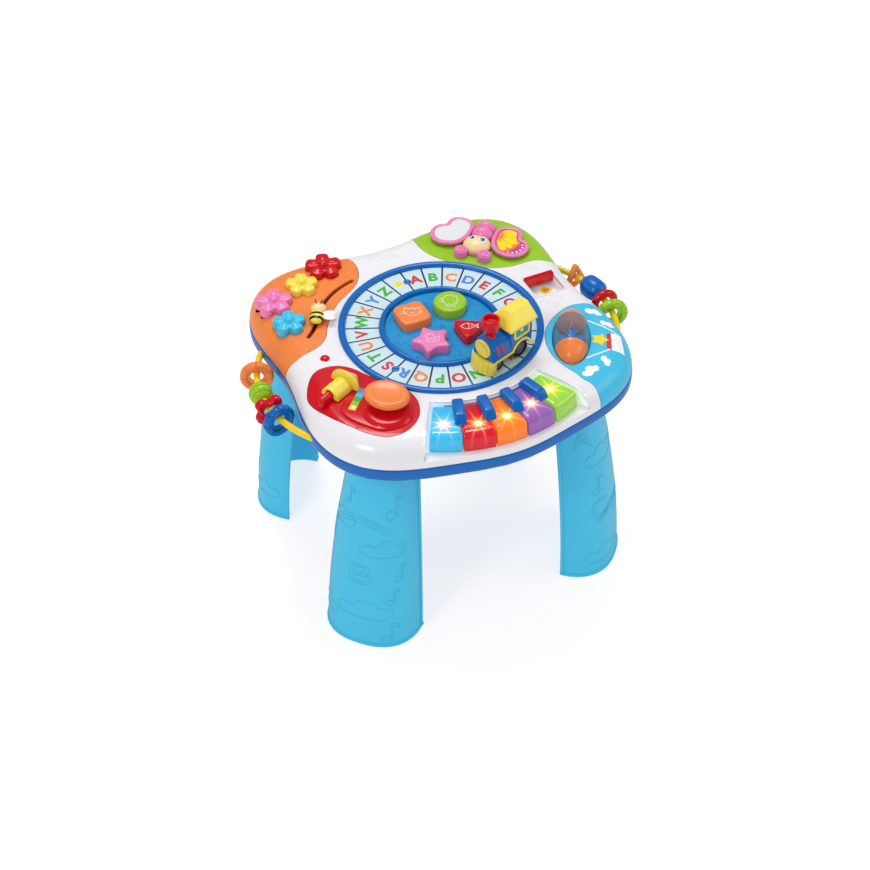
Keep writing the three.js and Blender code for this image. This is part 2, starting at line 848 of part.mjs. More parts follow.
function tray() {
  const profile = [...tray_profile_inside, ...tray_profile_outside].reverse();
  let body = lobed(profile, tray_z, tray_floor_z);
  const socket_top = leg_height + leg_plug_height + seam;
  const socket = (inset, low, high) => Object.values(leg_place_shares).map((share) => {
    const { place, degrees } = legFrame(share);
    return prism(moved(turned(legPlug(inset), degrees), place), low, high);
  });
  body = join(body, ...socket(leg_plug_inset - seam - rib_wall, tray_floor_z - seam, socket_top + rib_wall));
  for (const share of cover_post_shares) {
    body = join(body, disc(at(share), post_radius, tray_floor_z - seam, split_z, 6));
  }
  for (let i = 0; i < 4; i += 1) {
    const post = around([0, 0], board_post_ring, 45 + 90 * i);
    body = join(body, disc(post, board_post_radius, tray_floor_z - seam, board_z - board_thickness - seam, 6));
  }
  for (const share of Object.values(flower_place_shares)) {
    body = join(body, disc(at(share), switch_post_radius, tray_floor_z - seam, tray_floor_z + button_post_rise, 6));
  }
  const half = [battery_length / 2, battery_width / 2];
  const frame = (inset, low, high) => box(
    -half[0] + inset, half[0] - inset, battery_y - half[1] + inset, battery_y + half[1] - inset, low, high);
  const box_wall = cut(
    frame(-rib_wall, tray_floor_z - seam, tray_floor_z + battery_wall_rise),
    frame(battery_ledge, tray_floor_z - seam - overrun, tray_floor_z + battery_wall_rise + overrun));
  const door_hole = frame(-seam, tray_z - overrun, tray_z + battery_door_thickness + seam);
  const battery_hole = frame(battery_ledge, tray_z - overrun, tray_floor_z + overrun);
  const switch_hole = box(
    switch_x - switch_width / 2, switch_x + switch_width / 2,
    -switch_length / 2, switch_length / 2, tray_z - overrun, tray_floor_z + seam);
  body = cut(join(body, box_wall), door_hole, battery_hole, switch_hole);
  for (let i = 0; i < grille_count; i += 1) {
    const x = (i - (grille_count - 1) / 2) * grille_pitch;
    const half_slot = Math.sqrt(speaker_radius ** 2 - x ** 2) - rib_wall;
    const slot = box(
      x - grille_slot / 2, x + grille_slot / 2,
      speaker_y - half_slot, speaker_y + half_slot, tray_z - overrun, tray_floor_z + seam);
    body = cut(body, slot);
  }
  return cut(body, ...socket(leg_plug_inset - seam, tray_z - overrun, socket_top),
    handleRod(1, handle_radius + seam), handleRod(-1, handle_radius + seam));
}

add('base_tray', tray(), blue);
add('handle_right', handleRod(1, handle_radius), yellow);
add('handle_left', handleRod(-1, handle_radius), yellow);

function batteryDoor() {
  const [half_x, half_y] = [battery_length / 2, battery_width / 2];
  const plate = box(-half_x, half_x, battery_y - half_y, battery_y + half_y, tray_z, tray_z + battery_door_thickness);
  const grips = [-1, 0, 1].map((i) => {
    const x = half_x - battery_ledge * 3 + i * battery_ledge * 2;
    return box(x - battery_ledge / 2, x + battery_ledge / 2,
      battery_y - battery_grip, battery_y + battery_grip, tray_z - overrun, tray_z + battery_grip_depth);
  });
  return cut(plate, ...grips);
}
add('battery_door', batteryDoor(), blue);

function powerSwitch() {
  const knob = box(
    switch_x - switch_width / 2 + slack, switch_x + switch_width / 2 - slack,
    -switch_length / 2 + slack, -switch_length / 2 + slack + switch_knob_length,
    tray_z - switch_proud, tray_floor_z + seam + switch_base);
  const base = box(
    switch_x - switch_width / 2 - switch_overlap, switch_x + switch_width / 2 + switch_overlap,
    -switch_length / 2 - switch_overlap, switch_length / 2 - switch_overlap,
    tray_floor_z + seam, tray_floor_z + seam + switch_base);
  return join(knob, base);
}
add('power_switch', powerSwitch(), black);

function speaker() {
  const [low, high] = [tray_floor_z + seam, tray_floor_z + seam + speaker_height];
  const basket = low + rib_wall;
  return placed(revolve([
    [0, low + rib_wall], [speaker_radius - rib_wall, low + seam], [speaker_radius - rib_wall, low],
    [speaker_radius, low], [speaker_radius, basket],
    [speaker_magnet_radius, high - 2 * rib_wall], [speaker_magnet_radius, high], [0, high],
  ], 14), [0, speaker_y]);
}
add('speaker', speaker(), black);

function circuitBoard() {
  let body = disc([0, 0], board_radius, board_z - board_thickness, board_z, 20);
  for (const share of [square_place_share, round_place_share, triangle_place_share, star_place_share]) {
    body = join(body, disc(island_at(share), board_dome_radius, board_z - seam, board_z + board_dome_rise, 6));
  }
  return body;
}
add('circuit_board', circuitBoard(), board_green);

// Coloured panels

function region(edge, outside, steps) {
  return [...smooth(edge.map(at), steps), ...outside.map(at)];
}

const flower_region = region(flower_edge_shares, flower_outside_shares, 24);
const meadow_region = region(meadow_edge_shares, meadow_outside_shares, 18);
const balloon_region = region(balloon_edge_shares, balloon_outside_shares, 20);
const lever_region = smooth(lever_edge_shares.map(at), 26, true);
const ring_opening = disc(
  [0, 0], track_outer + track_skirt_wall - rib_wall + seam + slack,
  edge_z - overrun, deck_z + overrun, ring_steps);

const regionPrism = (points) => prism(points, edge_z - overrun, deck_z + overrun);
const panelShell = (points) => cut(dome_shell.intersect(regionPrism(points)), ring_opening);

// Cover

const window_centre = at(window_share);

function windowOutline(grown) {
  const [w, l] = [window_width / 2 + grown, window_length / 2 + grown];
  return moved(soften([[-w, -l], [w, -l], [w, l], [-w, l]], window_softness + grown), window_centre);
}

const bayAngle = (length, radius) => (length / radius) * THREE.MathUtils.RAD2DEG;

// The piano bay as a sector, grown by a wall.
function bay(grown, front) {
  const extra = bayAngle(grown, key_front);
  return sector([0, 0], bay_rear - grown, front, bay_from_degrees - extra, bay_to_degrees + extra, 8);
}

function cover() {
  const far = cover_radius + edge_radius;
  const bay_floor_z = deck_z - bay_depth;
  let body = cut(dome_shell, ring_opening);
  for (const points of [flower_region, meadow_region, balloon_region, lever_region]) {
    body = cut(body, regionPrism(grow(points, seam)));
  }
  const tub = prism(bay(bay_wall, far), bay_floor_z - bay_wall, deck_z + overrun);
  const gap = prism(bay(bay_wall - seam, far), bay_floor_z - bay_wall + seam, deck_z + overrun);
  const well = prism(bay(0, key_front + slack + seam), bay_floor_z, deck_z + overrun);
  const lip = prism(bay(0, far + bay_wall), deck_z - bay_lip_depth, deck_z + overrun);
  body = join(cut(body, gap), cut(full_dome.intersect(tub), well, lip));
  const window_low = letter_z - window_depth;
  body = cut(body, prism(windowOutline(0), window_low, deck_z + overrun));
  const window_tub = prism(windowOutline(rib_wall), window_low - rib_wall, deck_under_z + seam);
  body = join(body, cut(window_tub, prism(windowOutline(0), window_low, deck_z + overrun)));
  for (const share of cover_post_shares) {
    body = join(body, disc(at(share), post_radius, split_z + seam, deck_z - seam, 6).intersect(full_dome));
  }
  const lens = at(lens_share);
  return cut(body, disc(lens, lens_radius + seam, edge_z, deck_z + overrun), shutterSlot());
}

// Shutter of the window: a bar in the tub and a tongue that slides under the deck

const shutter_plate_z = letter_z - shutter_plate_drop;
const shutter_bar_y = window_centre[1] + window_length / 2 - slack;

function shutterTongue(grown, length) {
  const half = window_width / 2 - window_softness;
  return box(
    window_centre[0] - half - grown, window_centre[0] + half + grown,
    shutter_bar_y - shutter_bar, shutter_bar_y + length,
    shutter_plate_z - shutter_plate - grown, shutter_plate_z + grown);
}

const shutterSlot = () => shutterTongue(seam, rib_wall + overrun);

function shutter() {
  const half = window_width / 2 - slack;
  const bar = pillow([
    [window_centre[0] - half, shutter_bar_y - shutter_bar], [window_centre[0] + half, shutter_bar_y - shutter_bar],
    [window_centre[0] + half, shutter_bar_y], [window_centre[0] - half, shutter_bar_y],
  ], letter_z - shutter_drop, letter_z + shutter_rise, leg_bead);
  return join(cut(bar, cornerCut()), shutterTongue(0, shutter_tongue));
}

// The tub has soft corners, so the bar keeps clear of them.
function cornerCut() {
  const all = box(
    window_centre[0] - window_width, window_centre[0] + window_width,
    window_centre[1] - window_length, window_centre[1] + window_length,
    edge_z, letter_z + shutter_rise + overrun);
  return cut(all, prism(windowOutline(-slack), edge_z - overrun, letter_z + shutter_rise + 2 * overrun));
}

add('top_cover', cover(), white);
add('window_shutter', shutter(), red);

// Track: two beads with the letter floor between them and a ledge for the island

function beadProfile(inner, outer, rise, low) {
  const [middle, half] = [(inner + outer) / 2, (outer - inner) / 2];
  return [0, 45, 90, 135, 180].map((degrees) => [
    middle + half * Math.cos(radians(degrees)),
    low + (rise - low) * Math.sin(radians(degrees)),
  ]);
}

function trackChannel() {
  const flange_z = deck_z + seam;
  const bead_out = track_outer + outer_bead;
  const skirt = track_outer + track_skirt_wall - rib_wall;
  const bead_in = track_inner - inner_bead;
  const under = letter_z - track_floor;
  const ledge_z = island_under_z - seam;
  return revolve([
    [bead_in - island_ledge, ledge_z - rib_wall], [track_inner - inner_bead / 2, ledge_z - rib_wall],
    [track_inner - inner_bead / 2, under], [track_outer - track_floor, under],
    [track_outer - track_floor, letter_z - track_skirt], [skirt, letter_z - track_skirt], [skirt, flange_z],
    [bead_out, flange_z],
    ...beadProfile(track_outer, bead_out, letter_z + outer_bead_rise, flange_z + seam),
    [track_outer, letter_z], [track_inner, letter_z],
    ...beadProfile(bead_in, track_inner, letter_z + inner_bead_rise, letter_z + seam),
    [bead_in, ledge_z], [bead_in - island_ledge, ledge_z], [bead_in - island_ledge, ledge_z - rib_wall],
  ], ring_steps);
}
add('track_channel', trackChannel(), blue);

// Shape buttons in the island

const square_half = square_button_side / 2;
const square_outline = soften(
  [[-square_half, -square_half], [square_half, -square_half], [square_half, square_half], [-square_half, square_half]],
  square_button_softness, 3);
const triangle_outline = soften(
  [0, 120, 240].map((degrees) => around([0, 0], triangle_button_reach, degrees)), triangle_button_softness, 3);
const star_outline = soften(
  Array.from({ length: 10 }, (_, i) => around(
    [0, 0], star_button_radius * (i % 2 ? star_button_notch_share : 1), 90 + 36 * i)),
  star_button_softness, 2);

const shape_buttons = {
  button_square: { share: square_place_share, outline: square_outline, material: orange },
  button_round: { share: round_place_share, outline: circle([0, 0], round_button_radius, 20), material: green },
  button_triangle: { share: triangle_place_share, outline: triangle_outline, material: red },
  button_star: { share: star_place_share, outline: star_outline, material: pink },
};

// A cap with a flange under the panel and a stem that ends over its switch.
function pushButton(outline, flange_top, top, stem_end) {
  const cap = pillow(outline, flange_top - button_flange_thickness, top, button_bevel);
  const flange = prism(grow(outline, button_flange), flange_top - button_flange_thickness, flange_top);
  return join(cap, flange, disc([0, 0], button_stem, stem_end, flange_top - seam, 8));
}

function islandPlate() {
  let body = disc([0, 0], track_inner - inner_bead - seam, island_under_z, island_z, ring_steps);
  for (const { share, outline } of Object.values(shape_buttons)) {
    body = cut(body, prism(moved(grow(outline, slack), island_at(share)), island_under_z - overrun, deck_z));
  }
  return body;
}
add('island_plate', islandPlate(), pale_blue);

for (const [name, { share, outline, material }] of Object.entries(shape_buttons)) {
  const stem_end = board_z + board_dome_rise + button_travel + seam;
  const mesh = add(name, pushButton(outline, island_under_z - seam, letter_z + button_rise, stem_end), material);
  mesh.position.set(...island_at(share), 0);
}

// Flower panel with its buttons and the bee in the slot

const flowers = {
  flower_red: { radius: large_flower_radius, material: red },
  flower_yellow: { radius: small_flower_radius, material: yellow },
  flower_pink: { radius: large_flower_radius, material: pink },
  flower_blue: { radius: small_flower_radius, material: pale_blue },
};
const flowerOutline = (radius) => rippled(radius, flower_petals, flower_notch_share, flower_samples, 4);

const bee_rest = at(bee_rest_share);
const slot_near_centre = around(bee_rest, slot_radius, slot_near_angle_degrees + 180);
const slot_far_centre = around(bee_rest, slot_radius, slot_far_angle_degrees + 180);

function slotSolid(low, high) {
  const [inner, outer] = [slot_radius - slot_half_width, slot_radius + slot_half_width];
  const near_end = slot_near_angle_degrees + slot_near_travel_degrees;
  const far_end = slot_far_angle_degrees + slot_far_travel_degrees;
  return join(
    prism(sector(slot_near_centre, inner, outer, near_end, slot_near_angle_degrees + seam, 4), low, high),
    prism(sector(slot_far_centre, inner, outer, far_end, slot_far_angle_degrees + seam, 8), low, high),
    disc(around(slot_near_centre, slot_radius, near_end), slot_half_width, low, high, 8),
    disc(around(slot_far_centre, slot_radius, far_end), slot_half_width, low, high, 8),
    disc(bee_rest, slot_half_width, low, high, 8));
}

function flowerPanel() {
  let body = panelShell(flower_region);
  for (const [name, { radius }] of Object.entries(flowers)) {
    const hole = moved(grow(flowerOutline(radius), slack), at(flower_place_shares[name]));
    body = cut(body, prism(hole, edge_z, deck_z + overrun));
  }
  return cut(body, slotSolid(edge_z, deck_z + overrun));
}
add('flower_panel', flowerPanel(), orange);

for (const [name, { radius, material }] of Object.entries(flowers)) {
  const outline = flowerOutline(radius);
  const flange_top = deck_under_z - seam;
  const stem_end = tray_floor_z + button_post_rise + button_travel + seam;
  const cap = pillow(outline, flange_top - button_flange_thickness, letter_z + flower_rise, flower_bevel);
  const place = at(flower_place_shares[name]);
  const reach = radius * (1 - flower_notch_share) + flower_flange;
  const flange = placed(
    disc(place, reach, flange_top - button_flange_thickness, flange_top, 12).intersect(dome_room),
    [-place[0], -place[1]]);
  const eye_radius = radius * flower_eye_share;
  const eye = ellipsoid(eye_radius, eye_radius, flower_bevel * 2, [0, 0, letter_z + flower_rise - seam], 8);
  const stem = disc([0, 0], button_stem, stem_end, flange_top - seam, 8);
  const mesh = add(name, join(cap, flange, eye, stem), material);
  mesh.position.set(...place, 0);
}

function bee() {
  const low = deck_z + bee_foot_gap;
  const middle = [0, 0, low + bee_height / 2];
  const belly = ellipsoid(bee_half_length * 0.62, bee_half_width, bee_height / 2, [-bee_half_length * 0.38, 0, middle[2]], 10);
  const head = ellipsoid(bee_half_length * 0.52, bee_half_width, bee_height / 2, [bee_half_length * 0.48, 0, middle[2]], 10);
  const wings = [-1, 1].map((side) => ellipsoid(
    bee_wing_width, bee_wing_length, bee_height / 5,
    [-bee_half_length / 4, -bee_half_width - bee_wing_length / 3, middle[2] + (side * bee_height) / 5], 8));
  const stem = disc([0, 0], bee_stem, deck_under_z - bee_foot_gap - bee_washer_thickness, middle[2], 8);
  const washer = disc([0, 0], bee_washer_radius,
    deck_under_z - bee_foot_gap - bee_washer_thickness, deck_under_z - bee_foot_gap, 12);
  return join(belly, head, ...wings, stem, washer);
}
const bee_mesh = add('bee', bee(), yellow);
bee_mesh.position.set(...bee_rest, 0);
bee_mesh.rotation.z = radians(bee_heading);

const keeper_top = deck_under_z - bee_foot_gap - bee_washer_thickness - seam;
const keeper_mesh = add('bee_keeper', disc([0, 0], bee_washer_radius, keeper_top - bee_washer_thickness, keeper_top, 12), red);
keeper_mesh.position.set(...bee_rest, 0);

// Butterfly on the meadow panel, built along +X from its body towards its tail

add('meadow_panel', panelShell(meadow_region), green);
const butterfly = new THREE.Group();
butterfly.position.set(...at(butterfly_share), 0);
butterfly.rotation.z = radians(butterfly_axis_degrees);
table.add(butterfly);

const butterfly_base = deck_z + seam;

function butterflyBody() {
  const [half, rise] = [butterfly_body_length, butterfly_body_rise - letter_drop];
  const lump = (along, share) => ellipsoid(
    half * 0.62, butterfly_body_radius * share, rise, [along, 0, butterfly_base], 14);
  const under = box(-2 * cover_radius, cover_radius, -cover_radius, cover_radius, butterfly_base - cover_radius, butterfly_base);
  const plinth_end = curl_set - curl_radius / 2;
  const plinth = box(-plinth_end, 0, -face_half_width / 2, face_half_width / 2,
    butterfly_base, butterfly_base + butterfly_plinth);
  const curls = [-1, 1].map((side) => pillow(
    circle([-curl_set, side * curl_spread], curl_radius, 12), butterfly_base, letter_z + curl_rise, leg_bead));
  const arms = box(-curl_set - curl_arm, -curl_set + curl_arm, -curl_spread, curl_spread,
    butterfly_base, butterfly_base + butterfly_plinth);
  const body = join(lump(half * 0.42, 0.94), lump(-half * 0.36, 1), plinth, ...curls, arms);
  return cut(body, under, faceSolid(seam));
}

// The face is a flattened ball that sits on the plinth.
function faceSolid(grown) {
  const low = butterfly_base + butterfly_plinth + seam - grown;
  const ball = ellipsoid(
    face_half_length + grown, face_half_width + grown, face_rise - butterfly_plinth + grown,
    [-face_set, 0, low + grown], 14);
  return cut(ball, box(-2 * cover_radius, cover_radius, -cover_radius, cover_radius, low - cover_radius, low));
}

// A wing on its own hinge line beside the body, side 1 to the left of the tail and -1 to the right.
const wing_hinge_y = wing_scale * 0.27;
const wing_base = butterfly_base + wing_low;

function wingOutline(side, inset) {
  const points = wing_outline_shares.map(([out, forward]) => [-forward * wing_scale, side * out * wing_scale]);
  return grow(smooth(points, 26, true), -inset);
}

function wing(side) {
  const top = wing_base + wing_thickness;
  const blade = pillow(wingOutline(side, 0), wing_base, top, wing_bevel);
  const floor_z = top - mirror_recess;
  return cut(blade, prism(wingOutline(side, mirror_inset), floor_z, top + overrun), butterflyClear());
}

// What the wings keep clear of: the body and the face, grown by a gap.
function butterflyClear() {
  const rise = butterfly_body_rise + slack;
  const lump = (along, share) => ellipsoid(
    butterfly_body_length * 0.62 + 1.5 * slack, butterfly_body_radius * share + 1.5 * slack, rise, [along, 0, butterfly_base], 14);
  return join(
    lump(butterfly_body_length * 0.42, 0.94), lump(-butterfly_body_length * 0.36, 1),
    faceSolid(1.5 * slack), ...[-1, 1].map((side) => disc([-curl_set, side * curl_spread], curl_radius + slack, edge_z, deck_z + overrun)));
}

add('butterfly_body', butterflyBody(), pink, butterfly);
add('butterfly_head', faceSolid(0), cream, butterfly);
add('mirror_wing', wing(1), pink, butterfly);
add('pattern_wing', wing(-1), pink, butterfly);

function mirror() {
  const floor_z = wing_base + wing_thickness - mirror_recess;
  return prism(wingOutline(1, mirror_inset + seam), floor_z + seam, floor_z + seam + mirror_thickness);
}
add('mirror', cut(mirror(), butterflyClear()), clear_grey, butterfly);

// Balloon panel and the spinner, built along +X and turned to its axis

const spinner_place = at(spinner_share);
const spinner_z = letter_z + spinner_rise;

function capsuleRadius(along, grown) {
  const share = along / (spinner_half_length + grown);
  return (spinner_radius + grown) * Math.sqrt(Math.max(0, 1 - share ** 2));
}

// The capsule's side from one place to another along its axis, as [radius, place].
function capsuleSide(from, to, grown, steps) {
  return Array.from({ length: steps + 1 }, (_, i) => {
    const along = from + ((to - from) * i) / steps;
    return [capsuleRadius(along, grown), along];
  });
}

const alongX = (body) => solid(geometryOf(body).rotateY(Math.PI / 2));
const near_seam = spinner_near_seam_share * spinner_half_length;
const far_seam = spinner_far_seam_share * spinner_half_length;
const inner_end = spinner_half_length - spinner_wall;

function spinnerShell() {
  const near = revolve([
    ...capsuleSide(-spinner_half_length, near_seam, 0, 6),
    ...capsuleSide(near_seam, -inner_end, -spinner_wall, 3),
    [0, -spinner_half_length],
  ], 14);
  const far = revolve([
    ...capsuleSide(far_seam, spinner_half_length, 0, 4),
    ...capsuleSide(inner_end, far_seam, -spinner_wall, 2),
    [capsuleRadius(far_seam, 0), far_seam],
  ], 14);
  const reach = spinner_half_length + spinner_pin;
  const axle = disc([0, 0], spinner_axle, -reach, reach, 10);
  return alongX(join(near, far, axle));
}

function spinnerWindow() {
  const [from, to] = [near_seam + seam, far_seam - seam];
  return alongX(revolve([
    ...capsuleSide(from, to, 0, 6),
    ...capsuleSide(to, from, -spinner_wall, 4),
    [capsuleRadius(from, 0), from],
  ], 14));
}

function spinnerPlane() {
  const half = plane_length / 2;
  const hole = disc([0, 0], spinner_axle + seam, -plane_length, plane_length, 10);
  const hull = revolve([
    [0, -half], [plane_radius * 0.7, -half], [plane_radius, -half / 2], [plane_radius * 0.8, half / 2],
    [plane_radius * 0.5, half], [0, half],
  ], 12);
  const wings = box(-plane_wing_thickness / 2, plane_wing_thickness / 2, -plane_wing_span / 2, plane_wing_span / 2,
    -plane_wing_chord, 0);
  const tail = box(-plane_wing_thickness / 2, plane_radius * 2, -plane_wing_thickness / 2, plane_wing_thickness / 2,
    half - plane_wing_chord, half);
  return alongX(cut(join(hull, wings, tail), hole));
}

function balloonPanel() {
  const lug_at = spinner_half_length + spinner_gap;
  const lugs = [-1, 1].map((side) => {
    const [a, b] = [side * lug_at, side * (lug_at + spinner_lug)];
    const hangs = box(Math.min(a, b), Math.max(a, b), -spinner_lug_half_width, spinner_lug_half_width,
      deck_z - spinner_lug_half_width, spinner_z + spinner_lug_half_width);
    return placed(hangs, spinner_place, 0, spinner_axis_degrees);
  });
  const pocket_outline = capsuleSide(-spinner_half_length - spinner_gap, spinner_half_length + spinner_gap, spinner_gap, 16);
  const outline = [
    ...pocket_outline.map(([r, a]) => [a, -r]),
    ...pocket_outline.slice(1, -1).reverse().map(([r, a]) => [a, r]),
  ];
  const pocket = placed(prism(outline, edge_z - overrun, deck_z + overrun + spinner_radius), spinner_place, 0, spinner_axis_degrees);
  const bore_body = alongX(disc([0, 0], spinner_axle + axle_slack, -2 * spinner_half_length, 2 * spinner_half_length, 12));
  const bore = placed(bore_body, spinner_place, spinner_z, spinner_axis_degrees);
  return cut(join(cut(panelShell(balloon_region), pocket), ...lugs), bore);
}
add('balloon_panel', balloonPanel(), pale_blue);

for (const [name, body, material] of [
  ['spinner_shell', spinnerShell(), orange],
  ['spinner_window', spinnerWindow(), clear_grey],
  ['spinner_plane', spinnerPlane(), blue],
]) {
  const mesh = add(name, body, material);
  mesh.position.set(...spinner_place, spinner_z);
  mesh.rotation.z = radians(spinner_axis_degrees);
}

// Lever panel with the mound, the arrow on its rail and the paddle

const paddle_place = at(paddle_share);
const paddle_pivot_z = deck_z - paddle_pivot_drop;
const arrow_place = at(arrow_share);
const paddle_well = paddle_stem + paddle_swing * 0.5 + slack;

function leverPanel() {
  const mound = placed(revolve([
    [0, deck_z - seam], [mound_radius, deck_z - seam], [mound_radius - mound_shoulder / 3, deck_z + mound_rise * 0.6],
    [mound_radius - mound_shoulder, deck_z + mound_rise], [0, deck_z + mound_rise],
  ], 20), at(mound_share));
  const rail_section = arc([0, letter_z + rail_rise - rail_half_width], rail_half_width, 0, 180, 6)
    .map(([y, z]) => [-z, y]).concat([[seam - deck_z, -rail_half_width], [seam - deck_z, rail_half_width]]);
  const rail_bar = alongX(prism(rail_section, -rail_half_length, rail_half_length));
  const rail = placed(rail_bar, arrow_place, 0, arrow_azimuth_degrees);
  const well = placed(box(-paddle_well, paddle_well, -paddle_stem - slack, paddle_stem + slack,
    edge_z - overrun, deck_z + overrun), paddle_place, 0, paddle_azimuth_degrees);
  const hanger_low = paddle_pivot_z - paddle_pin - rib_wall;
  const hangers = [-1, 1].map((side) => {
    const near = side * (paddle_stem + 2 * slack);
    const far = side * (paddle_stem + 2 * slack + rib_wall);
    return placed(box(-paddle_pin - rib_wall, paddle_pin + rib_wall, Math.min(near, far), Math.max(near, far),
      hanger_low, deck_under_z + seam), paddle_place, 0, paddle_azimuth_degrees);
  });
  const bore = placed(alongY(disc([0, 0], paddle_pin + axle_slack, -2 * paddle_pin_half_length, 2 * paddle_pin_half_length, 10)),
    paddle_place, paddle_pivot_z, paddle_azimuth_degrees);
  const plateau = pillow(smooth(plateau_edge_shares.map(at), 20, true), deck_z - seam, deck_z + plateau_rise, plateau_rise / 2);
  const floor = regionPrism(lever_region);
  const raised = join(mound, rail, plateau).intersect(floor);
  return cut(join(panelShell(lever_region), raised, ...hangers), well, bore);
}

const alongY = (body) => solid(geometryOf(body).rotateX(Math.PI / 2));

function paddle() {
  const low = letter_z + paddle_low;
  const oval = circle([0, 0], 1, 20).map(([x, y]) => [x * paddle_half_length, y * paddle_half_width]);
  const dish = pillow(oval, low, low + paddle_thickness, paddle_thickness * 0.4);
  const stem = box(-paddle_stem / 2, paddle_stem / 2, -paddle_stem, paddle_stem, paddle_pivot_z - paddle_pin, low + seam);
  const pin = alongY(disc([0, 0], paddle_pin, -paddle_pin_half_length, paddle_pin_half_length, 12)).translate([0, 0, paddle_pivot_z]);
  return join(dish, stem, pin);
}

// Half a barrel with half a cone for its head, astride the rail.
function arrow() {
  const shaft_end = arrow_half_length - arrow_head_length;
  const base = letter_z + arrow_low;
  const whole = revolve([
    [0, -arrow_half_length], [arrow_shaft_radius - arrow_bevel, -arrow_half_length],
    [arrow_shaft_radius, arrow_bevel - arrow_half_length], [arrow_shaft_radius, shaft_end],
    [arrow_head_radius, shaft_end], [arrow_head_radius, shaft_end + arrow_brim],
    [arrow_tip_radius, arrow_half_length], [0, arrow_half_length],
  ], 20);
  const all = 2 * arrow_half_length;
  const half = cut(placed(alongX(whole), [0, 0], base), box(-all, all, -all, all, base - all, base));
  const tunnel = box(-all, all, -rail_half_width - slack, rail_half_width + slack, base - slack, letter_z + rail_rise + slack);
  return cut(half, tunnel);
}

add('lever_panel', leverPanel(), red);
const paddle_mesh = add('paddle', paddle(), orange);
paddle_mesh.position.set(...paddle_place, 0);
paddle_mesh.rotation.z = radians(paddle_azimuth_degrees);
const arrow_mesh = add('arrow_slider', arrow(), yellow);
arrow_mesh.position.set(...arrow_place, 0);
arrow_mesh.rotation.z = radians(arrow_azimuth_degrees);

function lens() {
  const flange_top = deck_under_z - seam;
  return revolve([
    [0, flange_top - lens_flange_thickness], [lens_radius + lens_flange, flange_top - lens_flange_thickness],
    [lens_radius + lens_flange, flange_top], [lens_radius, flange_top], [lens_radius, deck_z + seam],
    [lens_radius * 0.7, deck_z + lens_rise * 0.7], [0, deck_z + lens_rise],
  ], 14);
}
add('led_lens', lens(), red).position.set(...at(lens_share), 0);

// Piano keys and the comb of sharps

const key_materials = [pale_blue, red, orange, plastic(0x8c46aa), plastic(0x96cd41)];
const key_names = ['key_blue', 'key_red', 'key_orange', 'key_purple', 'key_green'];
const keyMiddle = (i) => key_middle_degrees + (i - (key_count - 1) / 2) * key_pitch_degrees;

function keyOutline(middle, inset) {
  const half = (radius) => key_pitch_degrees / 2 - bayAngle(key_gap / 2 + inset, radius);
  return [
    ...arc([0, 0], key_front - inset, middle - half(key_front), middle + half(key_front), 4),
    ...arc([0, 0], key_rear + inset, middle + half(key_rear), middle - half(key_rear), 2),
  ];
}

function key(middle) {
  const low = letter_z - key_skirt;
  const cap = pillow(keyOutline(middle, 0), low - key_bevel, deck_z, key_bevel);
  const hollow = prism(keyOutline(middle, key_wall), low - overrun, deck_z - key_wall);
  const under = prism(keyOutline(middle, -key_wall), low - overrun, low);
  return cut(cap, hollow, under);
}

for (let i = 0; i < key_count; i += 1) add(key_names[i], key(keyMiddle(i)), key_materials[i]);

function sharpComb() {
  const [bar_in, bar_out] = [bay_rear + seam, key_rear - key_gap];
  const [from, to] = [keyMiddle(0) + key_pitch_degrees / 3, keyMiddle(key_count - 1) - key_pitch_degrees / 3];
  const sharp_low = deck_z + slack;
  let body = prism(sector([0, 0], bar_in, bar_out, from, to, 8), deck_z - comb_drop, sharp_low + seam);
  for (let i = 0; i + 1 < key_count; i += 1) {
    const degrees = keyMiddle(i) + key_pitch_degrees / 2;
    const outline = turned(soften([
      [sharp_from, -sharp_half_width], [sharp_to, -sharp_half_width],
      [sharp_to, sharp_half_width], [sharp_from, sharp_half_width],
    ], sharp_bevel, 2), degrees);
    const neck = turned([
      [(bar_in + bar_out) / 2, -sharp_half_width / 2], [sharp_from + sharp_bevel, -sharp_half_width / 2],
      [sharp_from + sharp_bevel, sharp_half_width / 2], [(bar_in + bar_out) / 2, sharp_half_width / 2],
    ], degrees);
    const top = letter_z + sharp_rise;
    const block = cut(
      pillow(outline, sharp_low - sharp_bevel, top, sharp_bevel),
      disc([0, 0], cover_radius, sharp_low - overrun, sharp_low));
    body = join(body, block, prism(neck, sharp_low, sharp_low + sharp_bevel));
  }
  return body;
}
add('sharp_comb', sharpComb(), blue);

// Train, +X along its heading and Y across the track

const train_lateral = track_inner + train_inner_gap + wheel_track;

const rail_z = letter_z + train_floor_gap;
const board_top_z = letter_z + running_board_rise;
const rear_axle_z = rail_z + rear_wheel_radius;
const front_axle_z = rail_z + front_wheel_radius;
const fender_radius = rear_wheel_radius + fender_gap + running_board;

// Side view of the running board's top, from the nose to the tail over the rear wheel.
function boardLine(lift) {
  const radius = fender_radius + lift;
  const rise = board_top_z + lift - rear_axle_z;
  const meet = Math.asin(Math.min(0.99, rise / radius)) * THREE.MathUtils.RAD2DEG;
  const tail = letter_z + fender_tail_rise;
  return [
    [catcher_along, board_top_z + lift],
    ...arc([rear_axle_along, rear_axle_z], radius, Math.min(meet, 60), 165, 9),
    [fender_tail_along, tail + lift],
  ];
}

// A side view extruded across the train.
function acrossTrain(points, from, to) {
  const geometry = new THREE.ExtrudeGeometry(shape(points), { depth: to - from, bevelEnabled: false });
  return solid(geometry.rotateX(Math.PI / 2).translate(0, train_lateral + to, 0));
}

function acrossDisc(along, z, radius, from, to, steps) {
  return acrossTrain(circle([along, z], radius, steps), from, to);
}

